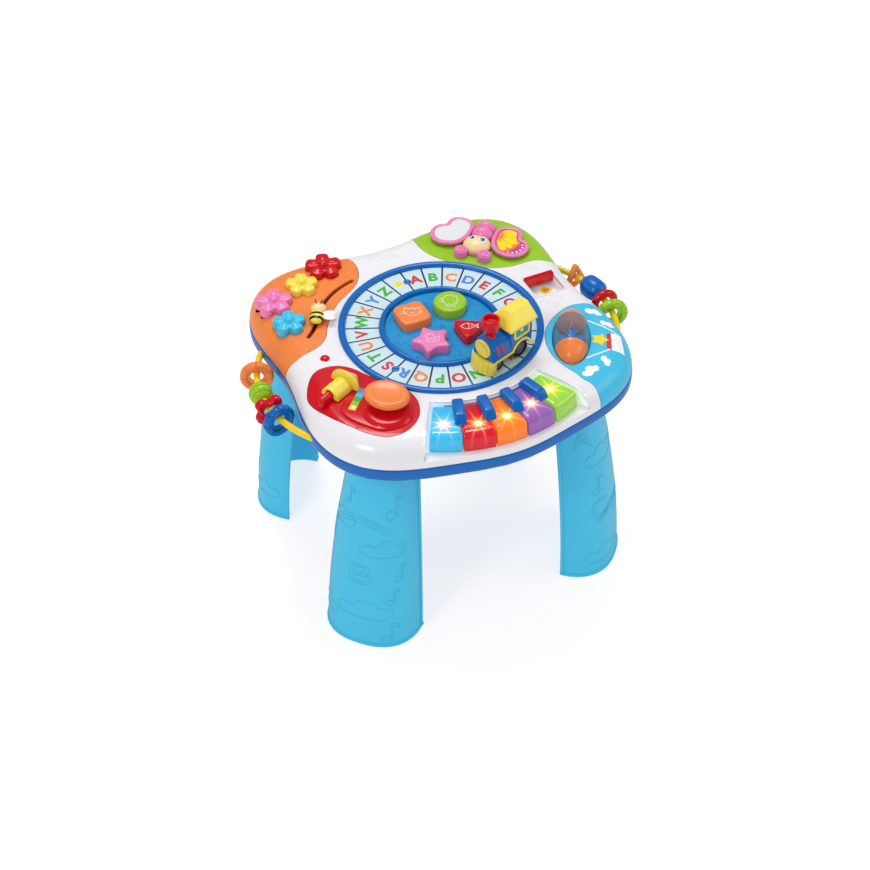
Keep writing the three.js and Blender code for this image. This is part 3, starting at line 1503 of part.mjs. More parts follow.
// The guard in front of the train: a bowed, ribbed blade.
function catcher() {
  const across = 18;
  const level = (forward) => {
    const front = Array.from({ length: across + 1 }, (_, i) => {
      const y = catcher_half_width * (-1 + (2 * i) / across);
      const bow = catcher_bulge * (1 - (y / catcher_half_width) ** 2);
      const rib = i % 3 === 0 ? 0 : catcher_rib;
      return [catcher_along + forward + bow + rib, y];
    });
    const rear = [catcher_half_width, 0, -catcher_half_width].map((y) => [
      catcher_along - catcher_thickness + catcher_bulge * (1 - (y / catcher_half_width) ** 2) * 0.8, y]);
    return [...front, ...rear];
  };
  const flat = level(0);
  const raise = (points, z) => points.map(([x, y]) => [x, y + train_lateral, z]);
  return loft([
    raise(level(catcher_slope), letter_z + catcher_low),
    raise(level(0), board_top_z - running_board / 2),
    raise(level(0), board_top_z),
  ], flat);
}

function chassis() {
  const line = boardLine(0);
  const under = boardLine(-running_board).reverse();
  const board = acrossTrain([...line, ...under], -board_half_width, board_half_width);
  const spine_top = board_top_z - running_board / 2;
  const spine = acrossTrain([
    [rear_axle_along - rear_wheel_radius / 2, letter_z + chassis_bottom],
    [catcher_along, letter_z + chassis_bottom],
    [catcher_along, spine_top], [rear_axle_along - rear_wheel_radius / 2, spine_top],
  ], -chassis_half_width, chassis_half_width);
  const front_arch = [-1, 1].map((side) => {
    const [near, far] = [side * (chassis_half_width + seam), side * (wheel_track + slack)];
    return acrossDisc(front_axle_along, front_axle_z, front_wheel_radius + slack, Math.min(near, far), Math.max(near, far), 20);
  });
  const bores = [
    acrossDisc(rear_axle_along, rear_axle_z, axle_radius + axle_slack, -board_half_width, board_half_width, 12),
    acrossDisc(front_axle_along, front_axle_z, axle_radius + axle_slack, -board_half_width, board_half_width, 12),
  ];
  return cut(join(board, spine, catcher()), ...front_arch, ...bores);
}

function trainBody() {
  const sole_z = board_top_z - running_board;
  const boiler_z = letter_z + boiler_centre_rise;
  const section = [
    ...arc([0, 0], boiler_radius, 0, 180, 14).map(([y, z]) => [y, z + boiler_z]),
    [-boiler_foot_half_width, sole_z], [boiler_foot_half_width, sole_z],
  ];
  const forward = new THREE.ExtrudeGeometry(shape(section), {
    depth: boiler_nose_along - cab_front_along,
    bevelEnabled: false,
  });
  const quarter = new THREE.Matrix4().makeBasis(
    new THREE.Vector3(0, 1, 0), new THREE.Vector3(0, 0, 1), new THREE.Vector3(1, 0, 0));
  const boiler = solid(forward.applyMatrix4(quarter).translate(cab_front_along, train_lateral, 0));
  const disc_body = solid(new THREE.CylinderGeometry(lamp_disc_radius, lamp_disc_radius, lamp_disc_thickness * 2, 24)
    .rotateZ(Math.PI / 2).translate(boiler_nose_along, train_lateral, boiler_z));
  const cab = acrossTrain([
    [cab_rear_along, sole_z], [cab_front_along + seam, sole_z],
    [cab_front_along + seam, letter_z + cab_top_rise], [cab_rear_along, letter_z + cab_top_rise],
  ], -cab_half_width, cab_half_width);
  const below = acrossTrain([
    ...boardLine(seam), [fender_tail_along - overrun, letter_z + fender_tail_rise],
    [fender_tail_along - overrun, edge_z], [catcher_along + overrun, edge_z], [catcher_along + overrun, board_top_z + seam],
  ], -2 * board_half_width, 2 * board_half_width);
  return cut(join(boiler, disc_body, cab), below);
}

function roof() {
  const low = letter_z + roof_low_rise;
  const corners = [];
  for (const z of [low, low + roof_eave]) {
    for (const x of [roof_front_along, roof_rear_along]) {
      for (const side of [-1, 1]) corners.push([x, side * roof_half_width, z]);
    }
  }
  for (const x of [roof_front_along - roof_hip, roof_rear_along]) {
    for (const side of [-1, 1]) corners.push([x, side * roof_ridge_half_width, letter_z + roof_ridge_rise]);
  }
  const hull = new ConvexGeometry(corners.map(([x, y, z]) => new THREE.Vector3(x, y + train_lateral, z)));
  const recess = acrossTrain([
    [cab_rear_along - seam, low - overrun], [cab_front_along + 2 * seam, low - overrun],
    [cab_front_along + 2 * seam, letter_z + cab_top_rise + seam], [cab_rear_along - seam, letter_z + cab_top_rise + seam],
  ], -cab_half_width - seam, cab_half_width + seam);
  const sill = letter_z + window_sill_rise;
  const frame_line = soften([
    [cab_rear_along + window_margin, sill], [cab_front_along - window_margin, sill],
    [cab_front_along - window_margin, low + seam], [cab_rear_along + window_margin, low + seam],
  ], window_corner, 2);
  const frames = [-1, 1].map((side) => {
    const [near, far] = [side * (cab_half_width + seam), side * (cab_half_width + seam + window_frame)];
    return acrossTrain(frame_line, Math.min(near, far), Math.max(near, far));
  });
  return join(cut(solid(hull), recess), ...frames);
}

function chimney() {
  const foot = letter_z + boiler_centre_rise + boiler_radius / 2;
  const flare = letter_z + chimney_flare_rise;
  const top = letter_z + chimney_top_rise;
  const pipe = revolve([
    [0, foot], [chimney_foot_radius, foot], [chimney_foot_radius, letter_z + roof_low_rise + roof_eave],
    [chimney_flare_radius - seam, flare], [chimney_flare_radius, top - seam], [chimney_flare_radius - seam, top],
    [chimney_flare_radius - chimney_lip, top], [chimney_flare_radius - chimney_lip, top - chimney_bowl],
    [0, top - chimney_bowl],
  ], 14);
  const seat = solid(new THREE.CylinderGeometry(boiler_radius + seam, boiler_radius + seam, boiler_radius * 4, 28)
    .rotateZ(Math.PI / 2).translate(0, 0, letter_z + boiler_centre_rise));
  return placed(cut(pipe, seat), [chimney_along, train_lateral]);
}

function wheelset(along, z, radius) {
  const dish = wheel_thickness / 4;
  const [inside, outside] = [wheel_track - wheel_thickness, wheel_track];
  const half = (side) => [
    [axle_radius, side * inside], [radius, side * inside], [radius, side * (outside - dish / 2)],
    [radius * 0.78, side * outside], [radius * 0.72, side * (outside - dish)],
    [axle_radius * 1.6, side * (outside - dish)], [axle_radius * 1.5, side * outside], [0, side * outside],
  ];
  const profile = [...half(-1).reverse(), ...half(1)];
  return solid(geometryOf(revolve(profile, 12)).rotateX(Math.PI / 2).translate(along, train_lateral, z));
}

add('train_chassis', chassis(), yellow, train);
add('train_body', trainBody(), blue, train);
add('train_roof', roof(), yellow, train);
add('train_chimney', chimney(), red, train);
add('train_front_wheels', wheelset(front_axle_along, front_axle_z, front_wheel_radius), black, train);
add('train_rear_wheels', wheelset(rear_axle_along, rear_axle_z, rear_wheel_radius), black, train);

// Beads, each built about the rod's axis (+Y along the rod, X outward) and hung at its angle

// A bore wide enough for the curve of the rod over the bead's length.
const beadBore = (half_length) => handle_radius + bead_slack + half_length ** 2 / (2 * handle_arc);
const ring_drop = ring_hole - handle_radius - bead_slack;

function ringBead(outline, hole, thickness, bevel) {
  const body = cut(slab(outline, thickness, bevel), prism(hole, -thickness, thickness));
  return solid(geometryOf(body).rotateX(Math.PI / 2).translate(0, 0, -ring_drop));
}

function octagonBead() {
  const outline = soften(circle([0, 0], octagon_radius, 8), octagon_radius / 5, 1);
  return ringBead(outline, circle([0, 0], ring_hole, 12), octagon_thickness, octagon_segment * 2);
}

function triangleBead() {
  const corners = (radius) => [90, 210, 330].map((degrees) => around([0, 0], radius, degrees));
  const outline = soften(corners(triangle_radius), triangle_radius / 3, 4);
  const hole = soften(corners(triangle_radius - triangle_web_share * triangle_tube), triangle_tube / 2, 2);
  const body = cut(slab(outline, triangle_thickness, leg_bead), prism(hole, -triangle_thickness, triangle_thickness));
  const side_room = (triangle_radius - triangle_web_share * triangle_tube) / 2 - handle_radius - bead_slack;
  return solid(geometryOf(body).rotateX(Math.PI / 2).translate(0, 0, -2 * side_room));
}

function lobedBead() {
  const outline = turned(rippled(lobed_radius, lobed_lobes, lobed_depth_share, 32, 3), 45);
  return ringBead(outline, circle([0, 0], ring_hole, 12), lobed_thickness, lobed_chamfer);
}

function plainBead() {
  const ring = revolve(circle([plain_radius - plain_tube, 0], plain_tube, 6).concat([[plain_radius, 0]]), 18);
  return solid(geometryOf(ring).rotateX(Math.PI / 2).translate(0, 0, -(plain_radius - 2 * plain_tube - handle_radius - bead_slack)));
}

// A ball with ridges round the rod.
function ballBead() {
  const levels = 4 * ball_ridges;
  const profile = Array.from({ length: levels + 1 }, (_, i) => {
    const polar = radians(ball_pole_degrees + ((180 - 2 * ball_pole_degrees) * i) / levels);
    const reach = ball_radius * (i % 4 === 0 ? 1 - ball_groove_share : 1);
    return [reach * Math.sin(polar), -ball_radius * Math.cos(polar)];
  }).filter((_, i) => i % 4 !== 2);
  const bore = beadBore(ball_radius);
  const ends = [bore, profile[0][1]];
  return alongY(revolve([ends, ...profile, [bore, -ends[1]], ends], 16));
}

function barrelBead() {
  const flat = circle([0, 0], 1, barrel_facets);
  const rings = [[-1, barrel_end_radius], [-0.45, barrel_radius], [0.45, barrel_radius], [1, barrel_end_radius]]
    .map(([share, radius]) => flat.map(([x, y]) => [x * radius, y * radius, share * barrel_half_length]));
  const body = cut(loft(rings, flat), disc([0, 0], beadBore(barrel_half_length), -2 * barrel_half_length, 2 * barrel_half_length, 12));
  return solid(geometryOf(body).rotateX(Math.PI / 2));
}

const beads = [
  { name: 'bead_left_octagon_back', side: -1, angle: 21.5, body: octagonBead(), material: orange },
  { name: 'bead_left_ball', side: -1, angle: 7, body: ballBead(), material: green },
  { name: 'bead_left_lobed', side: -1, angle: -3.7, body: lobedBead(), material: red },
  { name: 'bead_left_octagon_front', side: -1, angle: -13, body: octagonBead(), material: blue },
  { name: 'bead_right_triangle', side: 1, angle: 22, body: triangleBead(), material: orange },
  { name: 'bead_right_barrel', side: 1, angle: 8.6, body: barrelBead(), material: blue },
  { name: 'bead_right_plain', side: 1, angle: -2, body: plainBead(), material: red },
  { name: 'bead_right_octagon', side: 1, angle: -11.5, body: octagonBead(), material: green },
];

for (const { name, side, angle, body, material } of beads) {
  const mesh = add(name, body, material);
  const [x, y] = around([handle_centre_x, handle_centre_y], handle_arc, angle);
  mesh.position.set(side * x, y, handle_z);
  mesh.rotation.z = radians(side > 0 ? angle : 180 - angle);
}

export default table;
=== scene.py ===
"""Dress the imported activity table: its moulded skins, prints, lights and studio."""
import logging
import math
from dataclasses import dataclass, field
from enum import Enum
from typing import Callable, Iterable, Sequence

import bmesh
import bpy
from mathutils import Matrix, Vector


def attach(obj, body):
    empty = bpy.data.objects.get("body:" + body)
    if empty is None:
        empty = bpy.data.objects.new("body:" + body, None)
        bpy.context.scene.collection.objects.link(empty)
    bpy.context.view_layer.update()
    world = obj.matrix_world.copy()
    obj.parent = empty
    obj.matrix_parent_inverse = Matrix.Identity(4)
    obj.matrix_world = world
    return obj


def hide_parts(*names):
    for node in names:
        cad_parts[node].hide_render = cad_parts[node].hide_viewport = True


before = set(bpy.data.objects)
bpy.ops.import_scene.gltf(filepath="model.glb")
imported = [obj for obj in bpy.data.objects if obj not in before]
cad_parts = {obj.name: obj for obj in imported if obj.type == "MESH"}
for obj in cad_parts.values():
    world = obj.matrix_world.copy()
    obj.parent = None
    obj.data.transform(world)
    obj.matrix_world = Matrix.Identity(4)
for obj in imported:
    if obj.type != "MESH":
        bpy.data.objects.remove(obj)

log = logging.getLogger("activity_table")

Point = tuple[float, float]
Spot = tuple[float, float, float]
Ring = list[Spot]

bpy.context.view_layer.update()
MM = 0.001
RING_SHIFT_Y = 2.8
EDGE_Z = 303.5
DECK_Z = 333.5
LETTER_Z = 332.5
COVER_RADIUS = 213.0
TAU = 2 * math.pi
QUARTER = math.pi / 2
EULER = 2.718
CAPITAL = 0.73  # a capital's height as a share of the type's size
POINT = 0.001  # the radius at which a round form closes on its axis


# Colour and finish

def linear(red: int, green: int, blue: int) -> tuple[float, float, float, float]:
    """Turn a display colour of 0 to 255 into a linear one.

    Args:
        red: The red channel.
        green: The green channel.
        blue: The blue channel.

    Returns:
        The colour with an alpha of 1.
    """
    def channel(value: int) -> float:
        """Return one channel, linear."""
        share = value / 255
        return share / 12.92 if share <= 0.04045 else ((share + 0.055) / 1.055) ** 2.4
    return channel(red), channel(green), channel(blue), 1.0


def new_group(name: str, inputs: dict[str, tuple[str, object]], outputs: dict[str, str],
              kind: str = "ShaderNodeTree") -> bpy.types.NodeTree:
    """Start a node group with named sockets.

    Args:
        name: The group's name.
        inputs: Socket type and first value by input name, None for a socket without one.
        outputs: Socket type by output name.
        kind: The kind of tree.

    Returns:
        The tree, with its input and output nodes named "in" and "out".
    """
    tree = bpy.data.node_groups.new(name, kind)
    for label, (socket, value) in inputs.items():
        made = tree.interface.new_socket(label, in_out="INPUT", socket_type=f"NodeSocket{socket}")
        if value is not None:
            made.default_value = value
    for label, socket in outputs.items():
        tree.interface.new_socket(label, in_out="OUTPUT", socket_type=f"NodeSocket{socket}")
    tree.nodes.new("NodeGroupInput").name = "in"
    tree.nodes.new("NodeGroupOutput").name = "out"
    return tree


def fill(node: bpy.types.Node, values: dict[str | int, object]) -> None:
    """Set the first values of a node's inputs."""
    for socket, value in values.items():
        node.inputs[socket].default_value = value


def wire(tree: bpy.types.NodeTree,
         *links: tuple[bpy.types.Node, str | int, bpy.types.Node, str | int]) -> None:
    """Link nodes, each link as a node and its output, then a node and its input."""
    for start, output, end, target in links:
        tree.links.new(start.outputs[output], end.inputs[target])


def maths(tree: bpy.types.NodeTree, operation: str, *values: object) -> bpy.types.NodeSocket:
    """Add a Math node that works on numbers or sockets, and return its output.

    Args:
        tree: The node tree.
        operation: What the node does.
        values: Numbers, or sockets to link.

    Returns:
        The node's output.
    """
    node = tree.nodes.new("ShaderNodeMath")
    node.operation = operation
    for index, value in enumerate(values):
        if isinstance(value, (int, float)):
            node.inputs[index].default_value = value
        else:
            tree.links.new(value, node.inputs[index])
    return node.outputs[0]


def moulded_group() -> bpy.types.ShaderNodeTree:
    """Build the moulded-plastic effect once: colour drift, gloss drift and orange peel."""
    name = "moulded plastic"
    if name in bpy.data.node_groups:
        return bpy.data.node_groups[name]
    tree = new_group(
        name,
        {"Colour": ("Color", (0.8, 0.8, 0.8, 1)), "Gloss": ("Float", 0.3), "Drift": ("Float", 0.06),
         "Peel": ("Float", 0.05), "Peel Scale": ("Float", 700.0)},
        {"Colour": "Color", "Roughness": "Float", "Normal": "Vector"})
    nodes, links = tree.nodes, tree.links
    source, sink = nodes["in"], nodes["out"]
    place, shade, bump = (nodes.new(f"ShaderNode{kind}") for kind in ("TexCoord", "HueSaturation", "Bump"))
    broad, fine = nodes.new("ShaderNodeTexNoise"), nodes.new("ShaderNodeTexNoise")
    fill(broad, {"Scale": 22, "Detail": 3})
    fill(fine, {"Detail": 2})
    fill(bump, {"Distance": 0.0004})
    centred = maths(tree, "SUBTRACT", broad.outputs["Fac"], 0.5)
    links.new(maths(tree, "MULTIPLY_ADD", centred, source.outputs["Drift"], 1.0), shade.inputs["Value"])
    links.new(maths(tree, "MULTIPLY_ADD", centred, 0.16, source.outputs["Gloss"]), sink.inputs["Roughness"])
    wire(tree, (place, "Object", broad, "Vector"), (place, "Object", fine, "Vector"),
         (source, "Peel Scale", fine, "Scale"), (source, "Colour", shade, "Color"),
         (shade, "Color", sink, "Colour"),
         (source, "Peel", bump, "Strength"), (fine, "Fac", bump, "Height"),
         (bump, "Normal", sink, "Normal"))
    return tree


@dataclass(frozen=True)
class Finish:
    """A moulded plastic or print, one material for each."""

    name: str
    colour: tuple[int, int, int]
    slot: str
    roughness: float = 0.3
    drift: float = 0.06
    peel: float = 0.05
    coat: float = 0.22
    soak: float = 0.0  # how far light enters the plastic

    def material(self) -> bpy.types.Material:
        """Return the material, built on its first use."""
        made = bpy.data.materials.get(self.name)
        if made:
            return made
        made = bpy.data.materials.new(self.name)
        made.use_nodes = True
        tree = made.node_tree
        shader, skin = tree.nodes["Principled BSDF"], tree.nodes.new("ShaderNodeGroup")
        skin.node_tree = moulded_group()
        fill(skin, {"Colour": linear(*self.colour), "Gloss": self.roughness, "Drift": self.drift,
                    "Peel": self.peel})
        wire(tree, (skin, "Colour", shader, "Base Color"), (skin, "Roughness", shader, "Roughness"),
             (skin, "Normal", shader, "Normal"))
        fill(shader, {"Specular IOR Level": 0.35, "Coat Weight": self.coat, "Coat Roughness": 0.05})
        if self.soak:
            fill(shader, {"Subsurface Weight": self.soak, "Subsurface Radius": (1.0, 1.0, 1.0),
                          "Subsurface Scale": 0.003})
        self.finish_shader(made, shader)
        return made

    def finish_shader(self, made: bpy.types.Material, shader: bpy.types.ShaderNode) -> None:
        """Leave room for a kind of finish to change its shader."""


@dataclass(frozen=True)
class Clear(Finish):
    """A clear moulded window."""

    def finish_shader(self, made: bpy.types.Material, shader: bpy.types.ShaderNode) -> None:
        """Let light through, less towards the edges.

        Args:
            made: The material.
            shader: The material's shader.
        """
        tree = made.node_tree
        edge = tree.nodes.new("ShaderNodeLayerWeight")
        fill(edge, {"Blend": 0.35})
        tree.links.new(maths(tree, "MULTIPLY_ADD", edge.outputs["Facing"], 0.3, 0.02),
                       shader.inputs["Alpha"])


@dataclass(frozen=True)
class PaintedReflectionMirror(Finish):
    """A silvered plastic mirror, with a painted reflection: a white glow in place of what it would reflect.
    """

    def finish_shader(self, made: bpy.types.Material, shader: bpy.types.ShaderNode) -> None:
        """Make the sheet metallic, with a white glow that paints its bright reflection."""
        fill(shader, {"Metallic": 0.7, "Emission Color": (1, 1, 1, 1), "Emission Strength": 0.5})


@dataclass(frozen=True)
class PaintedKeyGlow(Finish):
    """A wall with a painted glow that stands in for the light of the keys' lamps."""

    def finish_shader(self, made: bpy.types.Material, shader: bpy.types.ShaderNode) -> None:
        """Add an even painted glow."""
        fill(shader, {"Emission Color": linear(*self.colour), "Emission Strength": 0.3})


@dataclass(frozen=True)
class Lit(Finish):
    """A translucent key with a lamp under it that flares through the plastic."""

    lamp: tuple[float, float, float] = (0.0, 0.0, 0.0)

    def finish_shader(self, made: bpy.types.Material, shader: bpy.types.ShaderNode) -> None:
        """Add the star flare round the lamp.

        Args:
            made: The material.
            shader: The material's shader.
        """
        tree = made.node_tree
        place, centre, flare, warm = (
            tree.nodes.new(f"ShaderNode{kind}") for kind in ("TexCoord", "Mapping", "Group", "Mix"))
        flare.node_tree = flare_group()
        warm.data_type = "RGBA"
        fill(centre, {"Location": [-value * MM for value in self.lamp]})
        fill(flare, {"Tint": linear(*self.colour)})
        fill(warm, {"B": (0.9, 0.32, 0.02, 1)})
        fill(shader, {"Emission Strength": 1.0})
        tree.links.new(shader.inputs["Base Color"].links[0].from_socket, warm.inputs["A"])
        wire(tree, (place, "Object", centre, "Vector"), (centre, "Vector", flare, "Place"),
             (flare, "Light", shader, "Emission Color"), (flare, "Warmth", warm, "Factor"),
             (warm, "Result", shader, "Base Color"))


def flare_group() -> bpy.types.ShaderNodeTree:
    """Build the lamp's flare: a white core, a warm ring and thin rays that fade outwards."""
    name = "lamp flare"
    if name in bpy.data.node_groups:
        return bpy.data.node_groups[name]
    tree = new_group(name, {"Place": ("Vector", (0, 0, 0)), "Tint": ("Color", (1, 1, 1, 1))},
                     {"Light": "Color", "Warmth": "Float"})
    nodes, links = tree.nodes, tree.links
    source, sink = nodes["in"], nodes["out"]
    split, tones = nodes.new("ShaderNodeSeparateXYZ"), nodes.new("ShaderNodeCombineXYZ")
    length, body, total = (nodes.new("ShaderNodeVectorMath") for _ in range(3))
    length.operation, body.operation, total.operation = "LENGTH", "SCALE", "ADD"
    wire(tree, (source, "Place", split, 0), (source, "Place", length, 0))
    reach = length.outputs["Value"]
    squared_reach = maths(tree, "MULTIPLY", reach, reach)

    def fade(distance: bpy.types.NodeSocket, rate: float) -> bpy.types.NodeSocket:
        """Return a light that falls off with a distance."""
        return maths(tree, "POWER", EULER, maths(tree, "MULTIPLY", distance, -rate))

    def spot(radius: float) -> bpy.types.NodeSocket:
        """Return a soft round spot of light."""
        return fade(squared_reach, 1 / (2 * radius ** 2))
    core, halo, warmth = (spot(radius) for radius in (0.0019, 0.0038, 0.0055))
    links.new(warmth, sink.inputs["Warmth"])
    angle = maths(tree, "ARCTAN2", split.outputs["Y"], split.outputs["X"])
    wave = maths(tree, "ABSOLUTE", maths(tree, "COSINE", maths(tree, "MULTIPLY", angle, 4.0)))
    ray = maths(tree, "MULTIPLY", maths(tree, "POWER", wave, 26.0), fade(reach, 1 / 0.0060))
    strengths = ((3.4, 2.8, 1.5), (3.2, 2.1, 0.7), (2.8, 0.9, 0.0))  # of core, ray and halo by channel
    for channel, (in_core, in_ray, in_halo) in enumerate(strengths):
        light = maths(tree, "ADD", maths(tree, "MULTIPLY", core, in_core),
                      maths(tree, "MULTIPLY", ray, in_ray))
        links.new(maths(tree, "ADD", light, maths(tree, "MULTIPLY", halo, in_halo)), tones.inputs[channel])
    links.new(maths(tree, "MULTIPLY_ADD", fade(reach, 1 / 0.011), 0.7, 0.12), body.inputs["Scale"])
    wire(tree, (source, "Tint", body, 0), (tones, 0, total, 0), (body, 0, total, 1),
         (total, 0, sink, "Light"))
    return tree


def ink(name: str, colour: tuple[int, int, int], slot: str) -> Finish:
    """Return a flat printed finish."""
    return Finish(name, colour, slot, 0.4, 0.0, 0.0, 0.1)


WHITE = Finish("white shell plastic", (240, 239, 244), "white_plastic", 0.22, 0.02)
BLUE = Finish("royal blue plastic", (0, 104, 190), "blue_plastic", 0.24)
SKY = Finish("sky blue plastic", (66, 198, 238), "sky_plastic", 0.34, 0.05, soak=0.1)
WATER = Finish("water blue plastic", (34, 152, 214), "sky_plastic", 0.22)
ORANGE = Finish("orange plastic", (247, 138, 68), "orange_plastic", 0.28, soak=0.15)
RED = Finish("red plastic", (212, 6, 26), "red_plastic", 0.22, soak=0.1)
PINK = Finish("pink plastic", (242, 132, 190), "pink_plastic", 0.28, soak=0.15)
GREEN = Finish("lime plastic", (156, 206, 40), "green_plastic", 0.28, soak=0.15)
YELLOW = Finish("yellow plastic", (250, 228, 84), "yellow_plastic", 0.3, soak=0.2)
ROD_YELLOW = Finish("yellow rod plastic", (250, 214, 40), "yellow_plastic", 0.26, soak=0.1)
CREAM = Finish("cream plastic", (250, 222, 160), "cream_plastic", 0.3, soak=0.2)
# Dark teal painted shade for the capsule's open inside.
INSIDE_SHADE_TEAL = Finish("teal plate plastic", (62, 128, 156), "sky_plastic", 0.3)
BLACK = Finish("black plastic", (22, 24, 30), "black_plastic", 0.32, 0.1)
GREY = Finish("grey hub plastic", (96, 98, 108), "black_plastic", 0.35)
BOARD = Finish("circuit board resin", (30, 110, 60), "board", 0.4, 0.2)
CONE = Finish("speaker paper", (30, 30, 32), "cone_paper", 0.7, 0.2, peel=0.5, coat=0.0)
# The mirror's white glow is a painted reflection.
MIRROR = PaintedReflectionMirror("silvered sheet", (226, 230, 236), "mirror_film", 0.06, 0.01, 0.0)
# The bay's white carries a painted glow: the keys' light, painted on.
BAY_WHITE = PaintedKeyGlow("lit bay plastic", (240, 242, 240), "white_plastic", 0.3, 0.02)
SMOKE = Clear("clear capsule plastic", (150, 196, 222), "clear_plastic", 0.05, 0.0, 0.0)
PRINT_WHITE = ink("white print", (250, 250, 252), "white_plastic")
PRINT_PALE = Finish("pale letter floor", (206, 232, 240), "white_plastic", 0.3, 0.02)
PRINT_DARK = ink("dark divider print", (44, 34, 100), "blue_plastic")
PRINT_RED = ink("red print", (222, 48, 54), "red_plastic")
PRINT_GREEN = ink("green print", (66, 178, 44), "green_plastic")
PRINT_ORANGE = ink("orange print", (242, 140, 50), "orange_plastic")
PRINT_BLUE = ink("blue print", (84, 138, 214), "sky_plastic")
PRINT_YELLOW = ink("yellow print", (252, 222, 20), "yellow_plastic")
PRINT_ROSE = ink("dark pink print", (200, 70, 130), "pink_plastic")
# A darkened copy of the red: painted shade at the bottom of the bee's slot.
SHADED_SLOT_RED = Finish("dark red slot plastic", (120, 20, 20), "red_plastic", 0.4)


# Outlines in the plan of the table, in millimetres

def around(centre: Point, radius: float, degrees: float) -> Point:
    """Return the point at a radius and an angle from a centre."""
    angle = math.radians(degrees)
    return centre[0] + radius * math.cos(angle), centre[1] + radius * math.sin(angle)


def circle(centre: Point, radius: float, steps: int = 48) -> list[Point]:
    """Return a circle's points, anticlockwise."""
    return [around(centre, radius, 360 * i / steps) for i in range(steps)]


def arc(centre: Point, radius: float, start: float, end: float, steps: int) -> list[Point]:
    """Return the points of an arc, both ends among them."""
    return [around(centre, radius, start + (end - start) * i / steps) for i in range(steps + 1)]


def share(place: Point, scale: float = COVER_RADIUS) -> Point:
    """Turn shares of the table's mean radius into millimetres."""
    return place[0] * scale, place[1] * scale


def shifted(points: Iterable[Point], by: Point, degrees: float = 0.0) -> list[Point]:
    """Return points turned about the origin, then moved."""
    cos, sin = math.cos(math.radians(degrees)), math.sin(math.radians(degrees))
    return [(x * cos - y * sin + by[0], x * sin + y * cos + by[1]) for x, y in points]


def box(x0: float, y0: float, x1: float, y1: float) -> list[Point]:
    """Return a rectangle's corners, anticlockwise."""
    return [(x0, y0), (x1, y0), (x1, y1), (x0, y1)]


def star(centre: Point, outer: float, inner: float, turn: float = 90.0) -> list[Point]:
    """Return a five-pointed star with its first point at an angle."""
    return [around(centre, inner if k % 2 else outer, turn + 36 * k) for k in range(10)]


def quarter(steps: int) -> list[Point]:
    """Return a quarter round as shares of its radius, in and up, from its foot to its top."""
    return [(1 - math.cos(QUARTER * k / steps), math.sin(QUARTER * k / steps)) for k in range(steps + 1)]


def squared(value: float, power: float) -> float:
    """Square off a sine or cosine."""
    return math.copysign(abs(value) ** power, value)


def spline(points: Sequence[Point], steps: int, closed: bool = False) -> list[Point]:
    """Return a smooth centripetal curve through points.

    Args:
        points: The points that the curve meets.
        steps: Steps between two neighbours.
        closed: Whether the curve returns to its start.

    Returns:
        The curve's points; an open curve keeps its last one.
    """
    count = len(points)
    spans = count if closed else count - 1
    drawn = []
    for span in range(spans):
        if closed:
            p = [points[(span + shift) % count] for shift in (-1, 0, 1, 2)]
        else:
            p = [points[min(max(span + shift, 0), count - 1)] for shift in (-1, 0, 1, 2)]
            if span == 0:
                p[0] = (2 * p[1][0] - p[2][0], 2 * p[1][1] - p[2][1])
            if span == spans - 1:
                p[3] = (2 * p[2][0] - p[1][0], 2 * p[2][1] - p[1][1])
        knots = [0.0]
        for a, b in zip(p, p[1:]):
            knots.append(knots[-1] + max(math.dist(a, b), 1e-6) ** 0.5)
        for i in range(steps):
            t = knots[1] + (knots[2] - knots[1]) * i / steps
            drawn.append(neville(list(zip(p, knots)), t))
    if not closed:
        drawn.append(tuple(points[-1]))
    return drawn


def neville(level: list[tuple[Point, float]], t: float) -> Point:
    """Blend four knots of a centripetal curve at a parameter.

    Args:
        level: Four points, each with its knot.
        t: The parameter, between the middle knots.

    Returns:
        The point on the curve.
    """
    def mix(a: Point, b: Point, start: float, end: float) -> Point:
        """Blend two points by where t lies between two knots."""
        part = (t - start) / (end - start)
        return a[0] + (b[0] - a[0]) * part, a[1] + (b[1] - a[1]) * part
    (p0, t0), (p1, t1), (p2, t2), (p3, t3) = level
    a1, a2, a3 = mix(p0, p1, t0, t1), mix(p1, p2, t1, t2), mix(p2, p3, t2, t3)
    b1, b2 = mix(a1, a2, t0, t2), mix(a2, a3, t1, t3)
    return mix(b1, b2, t1, t2)


def rounded(before: Vector, here: Vector, after: Vector, steps: int) -> list[Point]:
    """Return the curve that takes a corner's place between two spots beside it.

    Args:
        before: Where the curve starts.
        here: The corner.
        after: Where the curve ends.
        steps: How many steps it is drawn in.

    Returns:
        The curve's points.
    """
    drawn = []
    for k in range(steps + 1):
        t = k / steps
        spot = before * (1 - t) ** 2 + here * 2 * t * (1 - t) + after * t ** 2
        drawn.append((spot.x, spot.y))
    return drawn


def soften(corners: Sequence[Point], back: float, steps: int = 8) -> list[Point]:
    """Return a polygon whose corners are cut back and rounded.

    Args:
        corners: The polygon's corners.
        back: How far a corner is cut back.
        steps: How many steps it is drawn in.

    Returns:
        The rounded outline.
    """
    drawn = []
    for i, corner in enumerate(corners):
        here = Vector(corner)
        before = here + (Vector(corners[i - 1]) - here).normalized() * back
        after = here + (Vector(corners[(i + 1) % len(corners)]) - here).normalized() * back
        drawn += rounded(before, here, after, steps)
    return drawn


def area(points: Sequence[Point]) -> float:
    """Return a polygon's signed area."""
    return sum(a[0] * b[1] - b[0] * a[1] for a, b in zip(points, list(points[1:]) + [points[0]])) / 2


